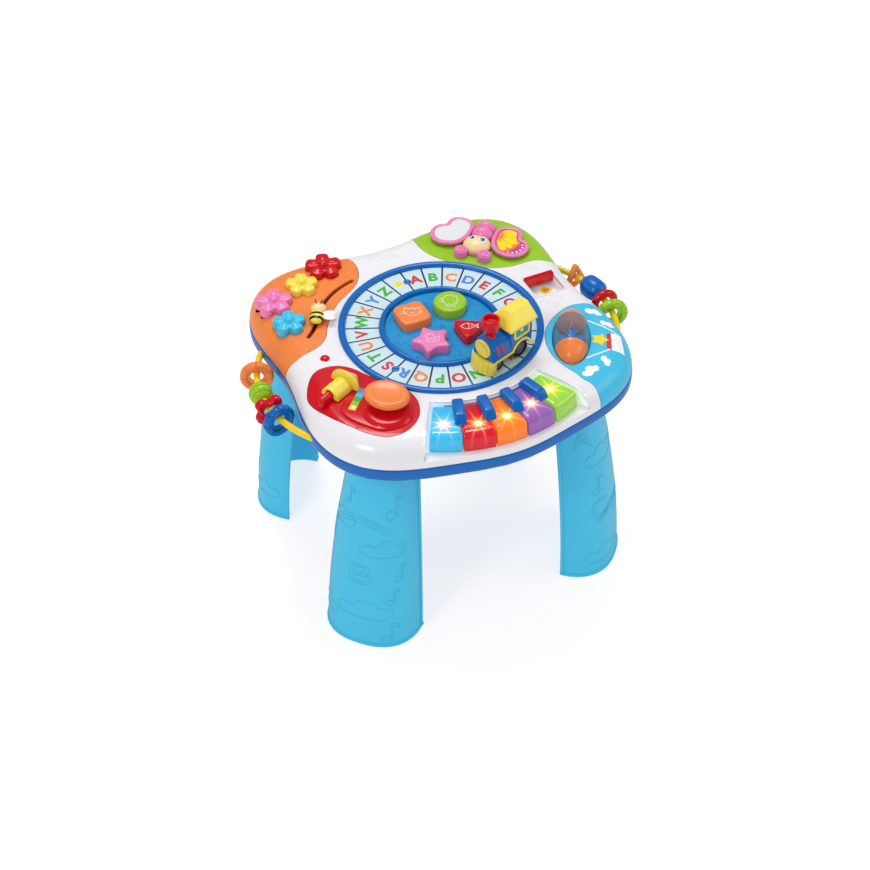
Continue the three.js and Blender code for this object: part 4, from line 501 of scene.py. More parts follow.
def grow(points: Sequence[Point], amount: float) -> list[Point]:
    """Move an outline out by an amount, or in where it is negative.

    Args:
        points: The outline's points.
        amount: How far it moves out.

    Returns:
        The moved outline.
    """
    turn = 1 if area(points) > 0 else -1
    grown = []
    for i, point in enumerate(points):
        here = Vector(point)
        back = (here - Vector(points[i - 1])).normalized()
        ahead = (Vector(points[(i + 1) % len(points)]) - here).normalized()
        divisor = max(1 + back.dot(ahead), 0.35)
        shift = Vector((back.y + ahead.y, -back.x - ahead.x)) * (amount * turn / divisor)
        grown.append((here.x + shift.x, here.y + shift.y))
    return grown


def thick_line(path: Sequence[Point], width: float) -> list[Point]:
    """Return the outline of a line of a given width along a path.

    Args:
        path: Points of its middle line.
        width: The line's width.

    Returns:
        The outline, along one side and back along the other.
    """
    half = width / 2
    left, right = [], []
    for i, point in enumerate(path):
        before, after = path[max(i - 1, 0)], path[min(i + 1, len(path) - 1)]
        run = Vector((after[0] - before[0], after[1] - before[1])).normalized()
        left.append((point[0] - run.y * half, point[1] + run.x * half))
        right.append((point[0] + run.y * half, point[1] - run.x * half))
    return left + right[::-1]


# Meshes

@dataclass
class Mould:
    """Corners and faces gathered in millimetres before they become one piece."""

    corners: Ring = field(default_factory=list)
    faces: list[tuple[int, ...]] = field(default_factory=list)

    def skin(self, rings: Sequence[Ring], low_cap: bool = True, high_cap: bool = True,
             wrap: bool = True) -> "Mould":
        """Join rings of equal count, and close the first and last with one face each.

        Args:
            rings: Rings of corners, each with the same count.
            low_cap: Whether the first ring is closed.
            high_cap: Whether the last ring is closed.
            wrap: Whether each ring returns to its start.

        Returns:
            The mould itself.
        """
        start, count = len(self.corners), len(rings[0])
        for ring in rings:
            self.corners.extend(ring)
        for level in range(len(rings) - 1):
            for i in range(count if wrap else count - 1):
                a = start + level * count + i
                b = start + level * count + (i + 1) % count
                self.faces.append((a, b, b + count, a + count))
        if low_cap:
            self.faces.append(tuple(start + i for i in reversed(range(count))))
        if high_cap:
            last = start + (len(rings) - 1) * count
            self.faces.append(tuple(last + i for i in range(count)))
        return self

    def slab(self, outline: Sequence[Point], low: float, high: float, round_high: float = 0.0,
             round_low: float = 0.0, steps: int = 4) -> "Mould":
        """Raise an outline into a slab with rounded upper and lower edges.

        Args:
            outline: The outline.
            low: Height of its underside.
            high: Height of its top.
            round_high: Radius of the upper edge.
            round_low: Radius of the lower edge.
            steps: How many steps it is drawn in.

        Returns:
            The mould itself.
        """
        curve = quarter(steps)
        rings = [flat_path(outline, low)] if not round_low else [
            flat_path(grow(outline, -round_low * (1 - up)), low + round_low * back) for back, up in curve]
        rings += [flat_path(outline, high)] if not round_high else [
            flat_path(grow(outline, -round_high * back), high - round_high * (1 - up))
            for back, up in curve]
        return self.skin(rings)

    def crowned(self, outline: Sequence[Point], low: float, high: float, edge: float, crown: float,
                steps: int = 6) -> "Mould":
        """Raise an outline into a cushion: a rounded edge, then a top that swells to its middle.

        Args:
            outline: The outline.
            low: Height of its underside.
            high: Height of its top.
            edge: Radius of the upper edge.
            crown: How far the top swells.
            steps: How many steps it is drawn in.

        Returns:
            The mould itself.
        """
        middle = (sum(x for x, _ in outline) / len(outline), sum(y for _, y in outline) / len(outline))
        rings = [flat_path(outline, low)]
        for back, up in quarter(steps):
            rings.append(flat_path(grow(outline, -edge * back), high - crown - edge * (1 - up)))
        base = grow(outline, -edge)
        for k in range(1, steps + 1):
            part = k / (steps + 1)
            z = high - crown + crown * (1 - (1 - part) ** 2)
            rings.append([(x + (middle[0] - x) * part, y + (middle[1] - y) * part, z) for x, y in base])
        return self.skin(rings)

    def lathe(self, profile: Sequence[Point], steps: int = 48) -> "Mould":
        """Turn a profile of radius and height about Z.

        Args:
            profile: Pairs of radius and height.
            steps: How many steps it is drawn in.

        Returns:
            The mould itself.
        """
        rings = [flat_path(circle((0, 0), max(radius, POINT), steps), z) for radius, z in profile]
        closed = profile[0] == profile[-1]
        return self.skin(rings, not closed, not closed)

    def ball(self, radii: Spot, centre: Spot, steps: int = 32, low: float = -1.0) -> "Mould":
        """Add an ellipsoid, cut flat where low is above -1.

        Args:
            radii: Its three half lengths.
            centre: Its middle.
            steps: How many steps it is drawn in.
            low: Where it is cut, as a share of its half height.

        Returns:
            The mould itself.
        """
        levels = steps // 2
        rings = []
        for k in range(levels + 1):
            polar = math.acos(low) * (1 - k / levels)
            reach = max(math.sin(polar), 0.001)
            rings.append([
                (centre[0] + radii[0] * reach * math.cos(TAU * i / steps),
                 centre[1] + radii[1] * reach * math.sin(TAU * i / steps),
                 centre[2] + radii[2] * math.cos(polar)) for i in range(steps)])
        return self.skin(rings)

    def tube(self, path: Sequence[Spot], radius: float, sides: int = 16, closed: bool = False) -> "Mould":
        """Sweep a round section along a path.

        Args:
            path: Points of its middle line.
            radius: Its radius.
            sides: Sides of the section.
            closed: Whether it returns to its start.

        Returns:
            The mould itself.
        """
        rings, count = [], len(path)
        up = Vector((0, 0, 1))
        for i, spot in enumerate(path):
            before = path[(i - 1) % count] if closed else path[max(i - 1, 0)]
            after = path[(i + 1) % count] if closed else path[min(i + 1, count - 1)]
            run = (Vector(after) - Vector(before)).normalized()
            side = run.cross(up)
            if side.length < 1e-3:
                side = run.cross(Vector((1, 0, 0)))
            side.normalize()
            top = side.cross(run).normalized()
            turns = [TAU * k / sides for k in range(sides)]
            rings.append([tuple(Vector(spot) + side * radius * math.cos(turn) + top * radius
                                * math.sin(turn))
                          for turn in turns])
        if closed:
            rings.append(rings[0])
        return self.skin(rings, not closed, not closed)

    def moved(self, matrix: Matrix) -> "Mould":
        """Return the same faces with every corner moved by a matrix."""
        return Mould([tuple(matrix @ Vector(spot)) for spot in self.corners], list(self.faces))

    def at(self, *place: float) -> "Mould":
        """Return the same faces moved to a place."""
        return self.moved(Matrix.Translation(place))

    def join(self, *others: "Mould") -> "Mould":
        """Take in the faces of other moulds.

        Args:
            others: The moulds to take in.

        Returns:
            The mould itself.
        """
        for other in others:
            start = len(self.corners)
            self.corners.extend(other.corners)
            self.faces.extend(tuple(start + i for i in face) for face in other.faces)
        return self

    def mesh(self, name: str) -> bpy.types.Mesh:
        """Make the mesh in metres in the table's frame, merged, with its faces outwards.

        Args:
            name: The mesh's name.

        Returns:
            The mesh.
        """
        made = bpy.data.meshes.new(name)
        made.from_pydata([(x * MM, (y + RING_SHIFT_Y) * MM, z * MM) for x, y, z in self.corners], [],
                         self.faces)
        return tidy_mesh(made)


def tidy_mesh(mesh: bpy.types.Mesh) -> bpy.types.Mesh:
    """Merge doubles and turn the faces outwards.

    Args:
        mesh: The mesh to tidy.

    Returns:
        The same mesh.
    """
    work = bmesh.new()
    work.from_mesh(mesh)
    bmesh.ops.remove_doubles(work, verts=work.verts, dist=2e-6)
    bmesh.ops.dissolve_degenerate(work, edges=work.edges, dist=1e-7)
    bmesh.ops.recalc_face_normals(work, faces=work.faces)
    work.to_mesh(mesh)
    work.free()
    return mesh


def shade(mesh: bpy.types.Mesh, degrees: float) -> None:
    """Shade smooth, with edges sharper than an angle kept sharp."""
    mesh.polygons.foreach_set("use_smooth", [True] * len(mesh.polygons))
    mesh.set_sharp_from_angle(angle=math.radians(degrees))


def put(name: str, data: bpy.types.ID) -> bpy.types.Object:
    """Put a new object into the scene.

    Args:
        name: The object's name.
        data: Its mesh, curve, lamp or camera.

    Returns:
        The object.
    """
    made = bpy.data.objects.new(name, data)
    bpy.context.scene.collection.objects.link(made)
    return made


def evaluated(thing: bpy.types.Object) -> bpy.types.Mesh:
    """Return an object's mesh as its modifiers leave it, and remove the object.

    Args:
        thing: The object.

    Returns:
        The mesh.
    """
    graph = bpy.context.evaluated_depsgraph_get()
    graph.update()
    result = bpy.data.meshes.new_from_object(thing.evaluated_get(graph))
    bpy.data.objects.remove(thing)
    return result


def piece(name: str, source: Mould | bpy.types.Mesh, finish: Finish, body: str = "table",
          replaces: Sequence[str] = (), sharp: float = 40.0) -> bpy.types.Object:
    """Make a finished piece that rides on a body.

    Args:
        name: The piece's name.
        source: A mould, or a mesh that is already in metres.
        finish: What it is made of.
        body: The CAD body that it moves with.
        replaces: CAD nodes that it stands for.
        sharp: Edges sharper than this stay sharp.

    Returns:
        The object.
    """
    mesh = source.mesh(name) if isinstance(source, Mould) else source
    shade(mesh, sharp)
    made = put(name, mesh)
    made.data.materials.clear()
    made.data.materials.append(finish.material())
    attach(made, body)
    if replaces:
        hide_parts(*replaces)
    log.info("piece %s, %d faces, on %s", name, len(mesh.polygons), body)
    return made


def carve(source: bpy.types.Mesh, cutters: Sequence[bpy.types.Mesh], operation: str = "DIFFERENCE",
          crossing: bool = False) -> bpy.types.Mesh:
    """Cut one mesh by others in turn.

    Args:
        source: The mesh to cut.
        cutters: What cuts it.
        operation: DIFFERENCE or INTERSECT.
        crossing: Whether a cutter may cross itself.

    Returns:
        The plain result.
    """
    target = put("carving", source)
    tools = [put("cutter", cutter) for cutter in cutters]
    for tool in tools:
        modifier = target.modifiers.new("cut", "BOOLEAN")
        modifier.operation, modifier.solver = operation, "EXACT"
        modifier.use_self = crossing
        modifier.object = tool
    result = evaluated(target)
    for tool in tools:
        bpy.data.objects.remove(tool)
    return result


def carved(name: str, source: Mould, *cutters: bpy.types.Mesh,
           operation: str = "DIFFERENCE") -> bpy.types.Mesh:
    """Return a mould's mesh, cut and merged."""
    return tidy_mesh(carve(source.mesh(name), cutters, operation))


def spin(degrees: float, axis: str) -> Matrix:
    """Return a turn about an axis."""
    return Matrix.Rotation(math.radians(degrees), 4, axis)


def turned(place: Spot, degrees: float) -> Matrix:
    """Return a turn about Z followed by a move."""
    return Matrix.Translation(place) @ spin(degrees, "Z")


def prism(outline: Sequence[Point], low: float, high: float) -> Mould:
    """Return a plain prism."""
    return Mould().slab(outline, low, high)


def dress(node: str, finish: Finish) -> None:
    """Give a CAD node that stays a finished material.

    Args:
        node: The CAD node's name.
        finish: What it is made of.
    """
    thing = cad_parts[node]
    thing.data.materials.clear()
    thing.data.materials.append(finish.material())


def lettering(text: str, weight: float, steps: int, depth: float = 0.0) -> bpy.types.Mesh:
    """Return text at unit size, as a solid of a depth or else as its bare outline.

    Args:
        text: What it says.
        weight: Thickening of the strokes.
        steps: Steps in each curve of a letter.
        depth: The solid's depth.

    Returns:
        The mesh.
    """
    curve = bpy.data.curves.new("lettering", "FONT")
    curve.body, curve.offset, curve.resolution_u, curve.extrude = text, weight, steps, depth
    if not depth:
        curve.fill_mode = "NONE"
    return evaluated(put("lettering", curve))


def letters(text: str, height: float, place: Spot, degrees: float, thickness: float,
            weight: float = 0.0) -> Mould:
    """Return raised lettering, centred on a place, with its tops turned to an angle.

    Args:
        text: What to write.
        height: Height of a capital in millimetres.
        place: Centre of the lettering on its surface.
        degrees: Turn about Z.
        thickness: How far it stands up.
        weight: Thickening of the strokes, as a share of the height.

    Returns:
        The lettering as a mould.
    """
    mesh = lettering(text, weight, 4, 0.5)
    xs, low = [v.co.x for v in mesh.vertices], min(v.co.z for v in mesh.vertices)
    middle, scale, seat = (min(xs) + max(xs)) / 2, height / CAPITAL, turned(place, degrees)
    corners = [tuple(seat @ Vector(((v.co.x - middle) * scale, (v.co.y - CAPITAL / 2) * scale,
                                    (v.co.z - low) * thickness))) for v in mesh.vertices]
    faces = [tuple(polygon.vertices) for polygon in mesh.polygons]
    bpy.data.meshes.remove(mesh)
    return Mould(corners, faces)


# Geometry Nodes for what repeats or follows a path

def ridge_tree() -> bpy.types.GeometryNodeTree:
    """Build the tree that lays a round bead along a curve, with named size inputs."""
    name = "bead along path"
    if name in bpy.data.node_groups:
        return bpy.data.node_groups[name]
    tree = new_group(
        name,
        {"Path": ("Geometry", None), "Bead Radius": ("Float", 0.0006), "Bead Sides": ("Int", 8),
         "Finish": ("Material", None)},
        {"Bead": "Geometry"}, "GeometryNodeTree")
    source, sink = tree.nodes["in"], tree.nodes["out"]
    as_curve, section, sweep, realize, finish = (
        tree.nodes.new(f"GeometryNode{kind}")
        for kind in ("MeshToCurve", "CurvePrimitiveCircle", "CurveToMesh", "RealizeInstances",
                     "SetMaterial"))
    fill(sweep, {"Fill Caps": True})
    wire(tree, (source, "Path", as_curve, "Mesh"), (source, "Bead Radius", section, "Radius"),
         (source, "Bead Sides", section, "Resolution"), (as_curve, "Curve", sweep, "Curve"),
         (section, "Curve", sweep, "Profile Curve"), (sweep, "Mesh", realize, "Geometry"),
         (realize, "Geometry", finish, "Geometry"), (source, "Finish", finish, "Material"),
         (finish, "Geometry", sink, "Bead"))
    return tree


def ring_tree() -> bpy.types.GeometryNodeTree:
    """Build the tree that repeats a mesh at even steps about the table's ring centre."""
    name = "repeat round ring"
    if name in bpy.data.node_groups:
        return bpy.data.node_groups[name]
    tree = new_group(
        name,
        {"Item": ("Geometry", None), "Count": ("Int", 27), "Step Angle": ("Float", TAU / 27),
         "Centre": ("Vector", None), "Finish": ("Material", None)},
        {"Items": "Geometry"}, "GeometryNodeTree")
    source, sink = tree.nodes["in"], tree.nodes["out"]
    spots, index, place, realize, finish = (
        tree.nodes.new(f"GeometryNode{kind}")
        for kind in ("Points", "InputIndex", "InstanceOnPoints", "RealizeInstances", "SetMaterial"))
    turn = tree.nodes.new("ShaderNodeCombineXYZ")
    angle = maths(tree, "MULTIPLY", index.outputs["Index"], source.outputs["Step Angle"])
    tree.links.new(angle, turn.inputs["Z"])
    wire(tree, (source, "Count", spots, "Count"), (source, "Centre", spots, "Position"),
         (spots, "Points", place, "Points"), (source, "Item", place, "Instance"),
         (turn, 0, place, "Rotation"),
         (place, "Instances", realize, "Geometry"), (realize, "Geometry", finish, "Geometry"),
         (source, "Finish", finish, "Material"), (finish, "Geometry", sink, "Items"))
    return tree


def grown_mesh(mesh: bpy.types.Mesh, tree: bpy.types.GeometryNodeTree,
               values: dict[str, object]) -> bpy.types.Mesh:
    """Run a Geometry Nodes tree on a mesh and return the plain result.

    Args:
        mesh: What the tree starts from.
        tree: The tree.
        values: Input values by socket name.

    Returns:
        The resulting mesh.
    """
    thing = put("growing", mesh)
    modifier = thing.modifiers.new("nodes", "NODES")
    modifier.node_group = tree
    for socket in tree.interface.items_tree:
        if socket.in_out == "INPUT" and socket.name in values:
            modifier[socket.identifier] = values[socket.name]
    return evaluated(thing)


def ridge(name: str, paths: Sequence[Sequence[Spot]], radius: float, finish: Finish, body: str = "table",
          sides: int = 8) -> bpy.types.Object:
    """Lay fine beads along paths as one piece.

    Args:
        name: The piece's name.
        paths: Points of each bead's middle line, in millimetres.
        radius: The bead's radius.
        finish: What it is made of.
        body: The CAD body that it moves with.
        sides: Sides of the bead's section.

    Returns:
        The piece.
    """
    mesh = bpy.data.meshes.new(name)
    spots, edges = [], []
    for path in paths:
        start = len(spots)
        spots.extend((x * MM, (y + RING_SHIFT_Y) * MM, z * MM) for x, y, z in path)
        edges.extend((start + i, start + i + 1) for i in range(len(path) - 1))
    mesh.from_pydata(spots, edges, [])
    result = grown_mesh(mesh, ridge_tree(), {
        "Bead Radius": radius * MM, "Bead Sides": sides, "Finish": finish.material()})
    return piece(name, tidy_mesh(result), finish, body, sharp=60)


def anticlockwise(outline: Sequence[Point]) -> list[Point]:
    """Return an outline in the order that keeps its inside on the left."""
    return list(outline) if area(outline) > 0 else list(outline)[::-1]


def flat_path(points: Sequence[Point], z: float, closed: bool = False) -> Ring:
    """Lift plan points to a height, closing the path where asked."""
    path = [(x, y, z) for x, y in points]
    return path + path[:1] if closed else path


# The lobed shell

SINES = {1: -0.003, 3: 0.0164, 5: -0.0324}
COSINES = {2: 0.0066, 4: -0.0976, 6: -0.0108, 8: 0.007}
LENS = share((-0.695, 0.023))


def outline_point(angle: float, inset: float) -> Point:
    """Return a point of the lobed outline, moved in along its normal.

    Args:
        angle: The angle about the table's middle, in radians.
        inset: How far it is moved in.

    Returns:
        The point.
    """
    reach = COVER_RADIUS * (1 + sum(v * math.sin(n * angle) for n, v in SINES.items())
                            + sum(v * math.cos(n * angle) for n, v in COSINES.items()))
    slope = COVER_RADIUS * (sum(n * v * math.cos(n * angle) for n, v in SINES.items())
                            - sum(n * v * math.sin(n * angle) for n, v in COSINES.items()))
    size = math.hypot(reach, slope)
    cos, sin = math.cos(angle), math.sin(angle)
    return (reach * cos - inset * (reach * cos + slope * sin) / size,
            reach * sin - inset * (reach * sin - slope * cos) / size)


def lobed_rings(profile: Sequence[Point], steps: int) -> list[Ring]:
    """Return rings of the lobed outline for a profile of inset and height."""
    return [[(*outline_point(TAU * i / steps, inset), z) for i in range(steps)] for inset, z in profile]


def dome_profile(radius: float, inset: float, steps: int) -> list[Point]:
    """Return the quarter-round edge from its foot to the deck."""
    return [(inset + radius * back, EDGE_Z + radius * up) for back, up in quarter(steps)]


@dataclass
class Shell:
    """The white cover with the four coloured panels let into it."""

    edge_radius: float = 30.0
    wall: float = 3.0
    gap: float = 0.35
    steps: int = 200
    ring_opening: float = 116.3
    window: Point = (148.0, 17.25)
    window_size: Point = (40.0, 37.5)
    window_softness: float = 5.0
    window_floor: float = 318.5
    bay_from: float = -121.0
    bay_to: float = -61.3
    bay_rear: float = 136.0
    bay_floor: float = 307.0
    bay_front_floor: float = 311.5
    bay_middle: float = 165.0
    bay_end: float = 208.0
    bay_steps: int = 48
    key_front: float = 197.0
    print_root: float = 0.4  # how deep a print's underside lies
    stamp_span: Point = (304.0, 345.0)

    FLOWER_EDGE = [
        (-0.291, 0.892), (-0.235, 0.836), (-0.207, 0.751), (-0.207, 0.681), (-0.235, 0.601),
        (-0.286, 0.535), (-0.352, 0.488), (-0.451, 0.42), (-0.568, 0.276), (-0.62, 0.185),
        (-0.662, 0.146), (-0.714, 0.12), (-0.775, 0.106), (-0.84, 0.1), (-0.911, 0.117)]
    MEADOW_EDGE = [
        (0.901, 0.282), (0.826, 0.275), (0.735, 0.305), (0.604, 0.31), (0.491, 0.346),
        (0.366, 0.427), (0.282, 0.521), (0.225, 0.613), (0.2, 0.712), (0.202, 0.803), (0.188, 0.883)]
    BALLOON_EDGE = [
        (0.549, -0.85), (0.533, -0.789), (0.498, -0.742), (0.488, -0.69), (0.455, -0.599),
        (0.441, -0.498), (0.455, -0.399), (0.498, -0.3), (0.573, -0.225), (0.667, -0.172),
        (0.737, -0.155), (0.798, -0.164), (0.925, -0.188)]
    LEVER_EDGE = [
        (-0.892, -0.188), (-0.822, -0.08), (-0.751, -0.047), (-0.657, -0.064), (-0.596, -0.115),
        (-0.545, -0.2), (-0.485, -0.285), (-0.415, -0.38), (-0.386, -0.49), (-0.419, -0.605),
        (-0.485, -0.675),
        (-0.575, -0.71), (-0.653, -0.695), (-0.732, -0.63), (-0.786, -0.549), (-0.853, -0.427),
        (-0.897, -0.282)]

    def region(self, edge: Sequence[Point], outside: Sequence[Point]) -> list[Point]:
        """Return a panel's outline: its drawn edge, closed beyond the cover."""
        return spline([share(p) for p in edge], 8) + [share(p) for p in outside]

    def regions(self) -> dict[str, list[Point]]:
        """Return the four panels' outlines by name."""
        return {
            "flower": self.region(self.FLOWER_EDGE, [(-1.4, 0.117), (-1.4, 1.4), (-0.291, 1.4)]),
            "meadow": self.region(self.MEADOW_EDGE, [(0.188, 1.4), (1.4, 1.4), (1.4, 0.282)]),
            "balloon": self.region(self.BALLOON_EDGE, [(1.4, -0.188), (1.4, -1.4), (0.549, -1.4)]),
            "lever": spline([share(p) for p in self.LEVER_EDGE], 8, closed=True),
        }

    def skin(self, name: str) -> bpy.types.Mesh:
        """Make the whole moulded skin, open over the track.

        Args:
            name: The mesh's name.

        Returns:
            The skin's mesh.
        """
        outside = dome_profile(self.edge_radius, 0, 10)
        inside = dome_profile(self.edge_radius - self.wall, self.wall, 6)
        rings = lobed_rings(inside[::-1] + outside, self.steps)
        inner = circle((0, 0), self.ring_opening, self.steps)
        low, high = flat_path(inner, DECK_Z - self.wall), flat_path(inner, DECK_Z)
        return Mould().skin([low, *rings, high, low], False, False).mesh(name)

    def cutter(self, outline: Sequence[Point], low: float = 280.0, high: float = 360.0) -> bpy.types.Mesh:
        """Return a prism to cut with."""
        return prism(outline, low, high).mesh("cutter")

    def bay_outline(self, grown: float, front: float) -> list[Point]:
        """Return the piano bay's outline, grown by a wall.

        Args:
            grown: How far it is moved out.
            front: Radius of the front side.

        Returns:
            The outline.
        """
        extra = math.degrees(grown / self.key_front)
        return (arc((0, 0), front, self.bay_from - extra, self.bay_to + extra, 36)
                + arc((0, 0), self.bay_rear - grown, self.bay_to + extra, self.bay_from - extra, 24))

    def printed(self, name: str, outlines: Sequence[Sequence[Point]], lift: float, finish: Finish) -> None:
        """Lay flat marks on the domed skin, so that they follow it.

        Args:
            name: The piece's name.
            outlines: The marks in plan, which don't overlap.
            lift: How far they stand up.
            finish: What they are made of.
        """
        high = dome_profile(self.edge_radius + lift, -lift, 14)
        low = dome_profile(self.edge_radius - self.print_root, self.print_root, 14)
        sheet = Mould().skin([*lobed_rings(high, self.steps), *self.middle_caps(lift),
                              *lobed_rings(low[::-1], self.steps),
                              lobed_rings(high[:1], self.steps)[0]], False, False)
        stamps = Mould().join(*[prism(anticlockwise(outline), *self.stamp_span) for outline in outlines])
        piece(name, tidy_mesh(carve(sheet.mesh(name), [stamps.mesh("stamps")], "INTERSECT", True)), finish,
              sharp=30)

    def middle_caps(self, lift: float) -> list[Ring]:
        """Return the small rings that close a thin skin over the deck's middle."""
        ring = circle((0, 0), self.ring_opening - 20, self.steps)
        return [flat_path(ring, DECK_Z + lift), flat_path(ring, DECK_Z - self.print_root)]

    def window_outline(self, grown: float) -> list[Point]:
        """Return the window tub's outline."""
        w, l = self.window_size[0] / 2 + grown, self.window_size[1] / 2 + grown
        return shifted(soften(box(-w, -l, w, l), self.window_softness + grown), self.window)

    def build(self) -> None:
        """Make the cover, its tubs and the four panels."""
        regions = self.regions()
        base = self.skin("cover skin")
        cuts = [self.cutter(grow(outline, self.gap)) for outline in regions.values()]
        beyond = 400.0
        cuts += [self.cutter(outline) for outline in (
            self.bay_outline(0, beyond), self.window_outline(0), circle(LENS, 5.8, 32))]
        piece("cover_shell", tidy_mesh(carve(base.copy(), cuts)), WHITE, replaces=["top_cover"], sharp=30)
        for name, finish in (("flower", ORANGE), ("meadow", GREEN), ("balloon", SKY), ("lever", RED)):
            mesh = carve(base.copy(), [self.cutter(grow(regions[name], -self.gap))], "INTERSECT")
            cutters = self.openings(name)
            if cutters:
                mesh = carve(mesh, cutters)
            piece(f"{name}_skin", tidy_mesh(mesh), finish, replaces=[f"{name}_panel"], sharp=30)
        self.build_tubs()

    def openings(self, name: str) -> list[bpy.types.Mesh]:
        """Return the cutters of a panel's own holes.

        Args:
            name: The panel.

        Returns:
            The cutters, none where the panel is whole.
        """
        if name == "flower":
            return Flowers().cutters(self)
        if name == "balloon":
            return [self.cutter(Spinner().pocket())]
        if name == "lever":
            return [self.cutter(LeverPanel().well())]
        return []

    def build_tubs(self) -> None:
        """Make the window tub with its soft rim, and the piano bay."""
        tub = Mould().skin(
            [flat_path(self.window_outline(g), z) for g, z in (
                (2.2, DECK_Z - 0.05), (2.0, DECK_Z + 0.5), (1.2, DECK_Z + 0.9), (0.2, DECK_Z + 0.5),
                (-0.3, DECK_Z - 1.0), (-0.8, self.window_floor + 2), (-1.4, self.window_floor + 0.5),
                (-2.6, self.window_floor))], low_cap=False)
        tub.skin([flat_path(self.window_outline(g), z) for g, z in (
            (2.2, DECK_Z - 0.05), (2.2, DECK_Z - 6), (2.2, self.window_floor - 2))], low_cap=False)
        piece("window_tub", tub, WHITE, sharp=50)
        self.build_bay()

    def build_bay(self) -> None:
        """Make the piano bay's walls, floor and apron."""
        levels = [(-1.6, DECK_Z - 0.1), (-1.0, DECK_Z + 0.35), (-0.2, DECK_Z + 0.1), (0.0, DECK_Z - 1.2),
                  (0.0, self.bay_floor)]
        rings = []
        for out, z in levels:
            extra = math.degrees(-out / self.bay_middle)
            line = arc((0, 0), self.bay_rear + out, self.bay_from - extra, self.bay_to + extra,
                       self.bay_steps)
            rings.append(flat_path(line, z))
        wall = Mould().skin(rings, False, False, wrap=False)
        for side, edge in ((-1, self.bay_from), (1, self.bay_to)):
            rows = []
            for out, z in levels:
                near, degrees = self.bay_rear + out, edge + side * math.degrees(-out / self.bay_middle)
                row = []
                for k in range(13):
                    radius = near + (self.bay_end - near) * k / 12
                    drop = min(0, z - DECK_Z)
                    level = z if z <= self.bay_floor else self.deck_height(radius, edge) + drop
                    row.append((*around((0, 0), radius, degrees), level))
                rows.append(row)
            wall.skin(rows, False, False, wrap=False)
        lip = self.key_front + 0.8
        floor = prism(self.bay_outline(0.5, lip), self.bay_floor - 2, self.bay_floor)
        apron = prism(arc((0, 0), 222, self.bay_from, self.bay_to, 48)
                      + arc((0, 0), lip, self.bay_to, self.bay_from, 48), EDGE_Z, self.bay_front_floor)
        # The bay's walls and floor carry a painted glow of the keys' light.
        piece("bay_walls", wall, BAY_WHITE, sharp=50)
        piece("bay_floor", floor, BAY_WHITE)
        piece("bay_apron", carved("apron", apron, self.solid_cover(), operation="INTERSECT"), WHITE,
              sharp=30)

    def deck_height(self, radius: float, degrees: float) -> float:
        """Return the shell's height at a place, falling along its rounded edge.

        Args:
            radius: Distance from the table's middle.
            degrees: The angle about it.

        Returns:
            The height.
        """
        reach = math.hypot(*outline_point(math.radians(degrees), 0))
        inset = max(0.0, reach - radius)
        if inset >= self.edge_radius:
            return DECK_Z
        return EDGE_Z + math.sqrt(max(0.0, self.edge_radius ** 2 - (self.edge_radius - inset) ** 2))

    def solid_cover(self) -> bpy.types.Mesh:
        """Return the cover's outer form as a closed solid."""
        return Mould().skin(lobed_rings(dome_profile(self.edge_radius, 0, 10),
                                        self.steps)).mesh("cover form")


# Track, island and shape buttons

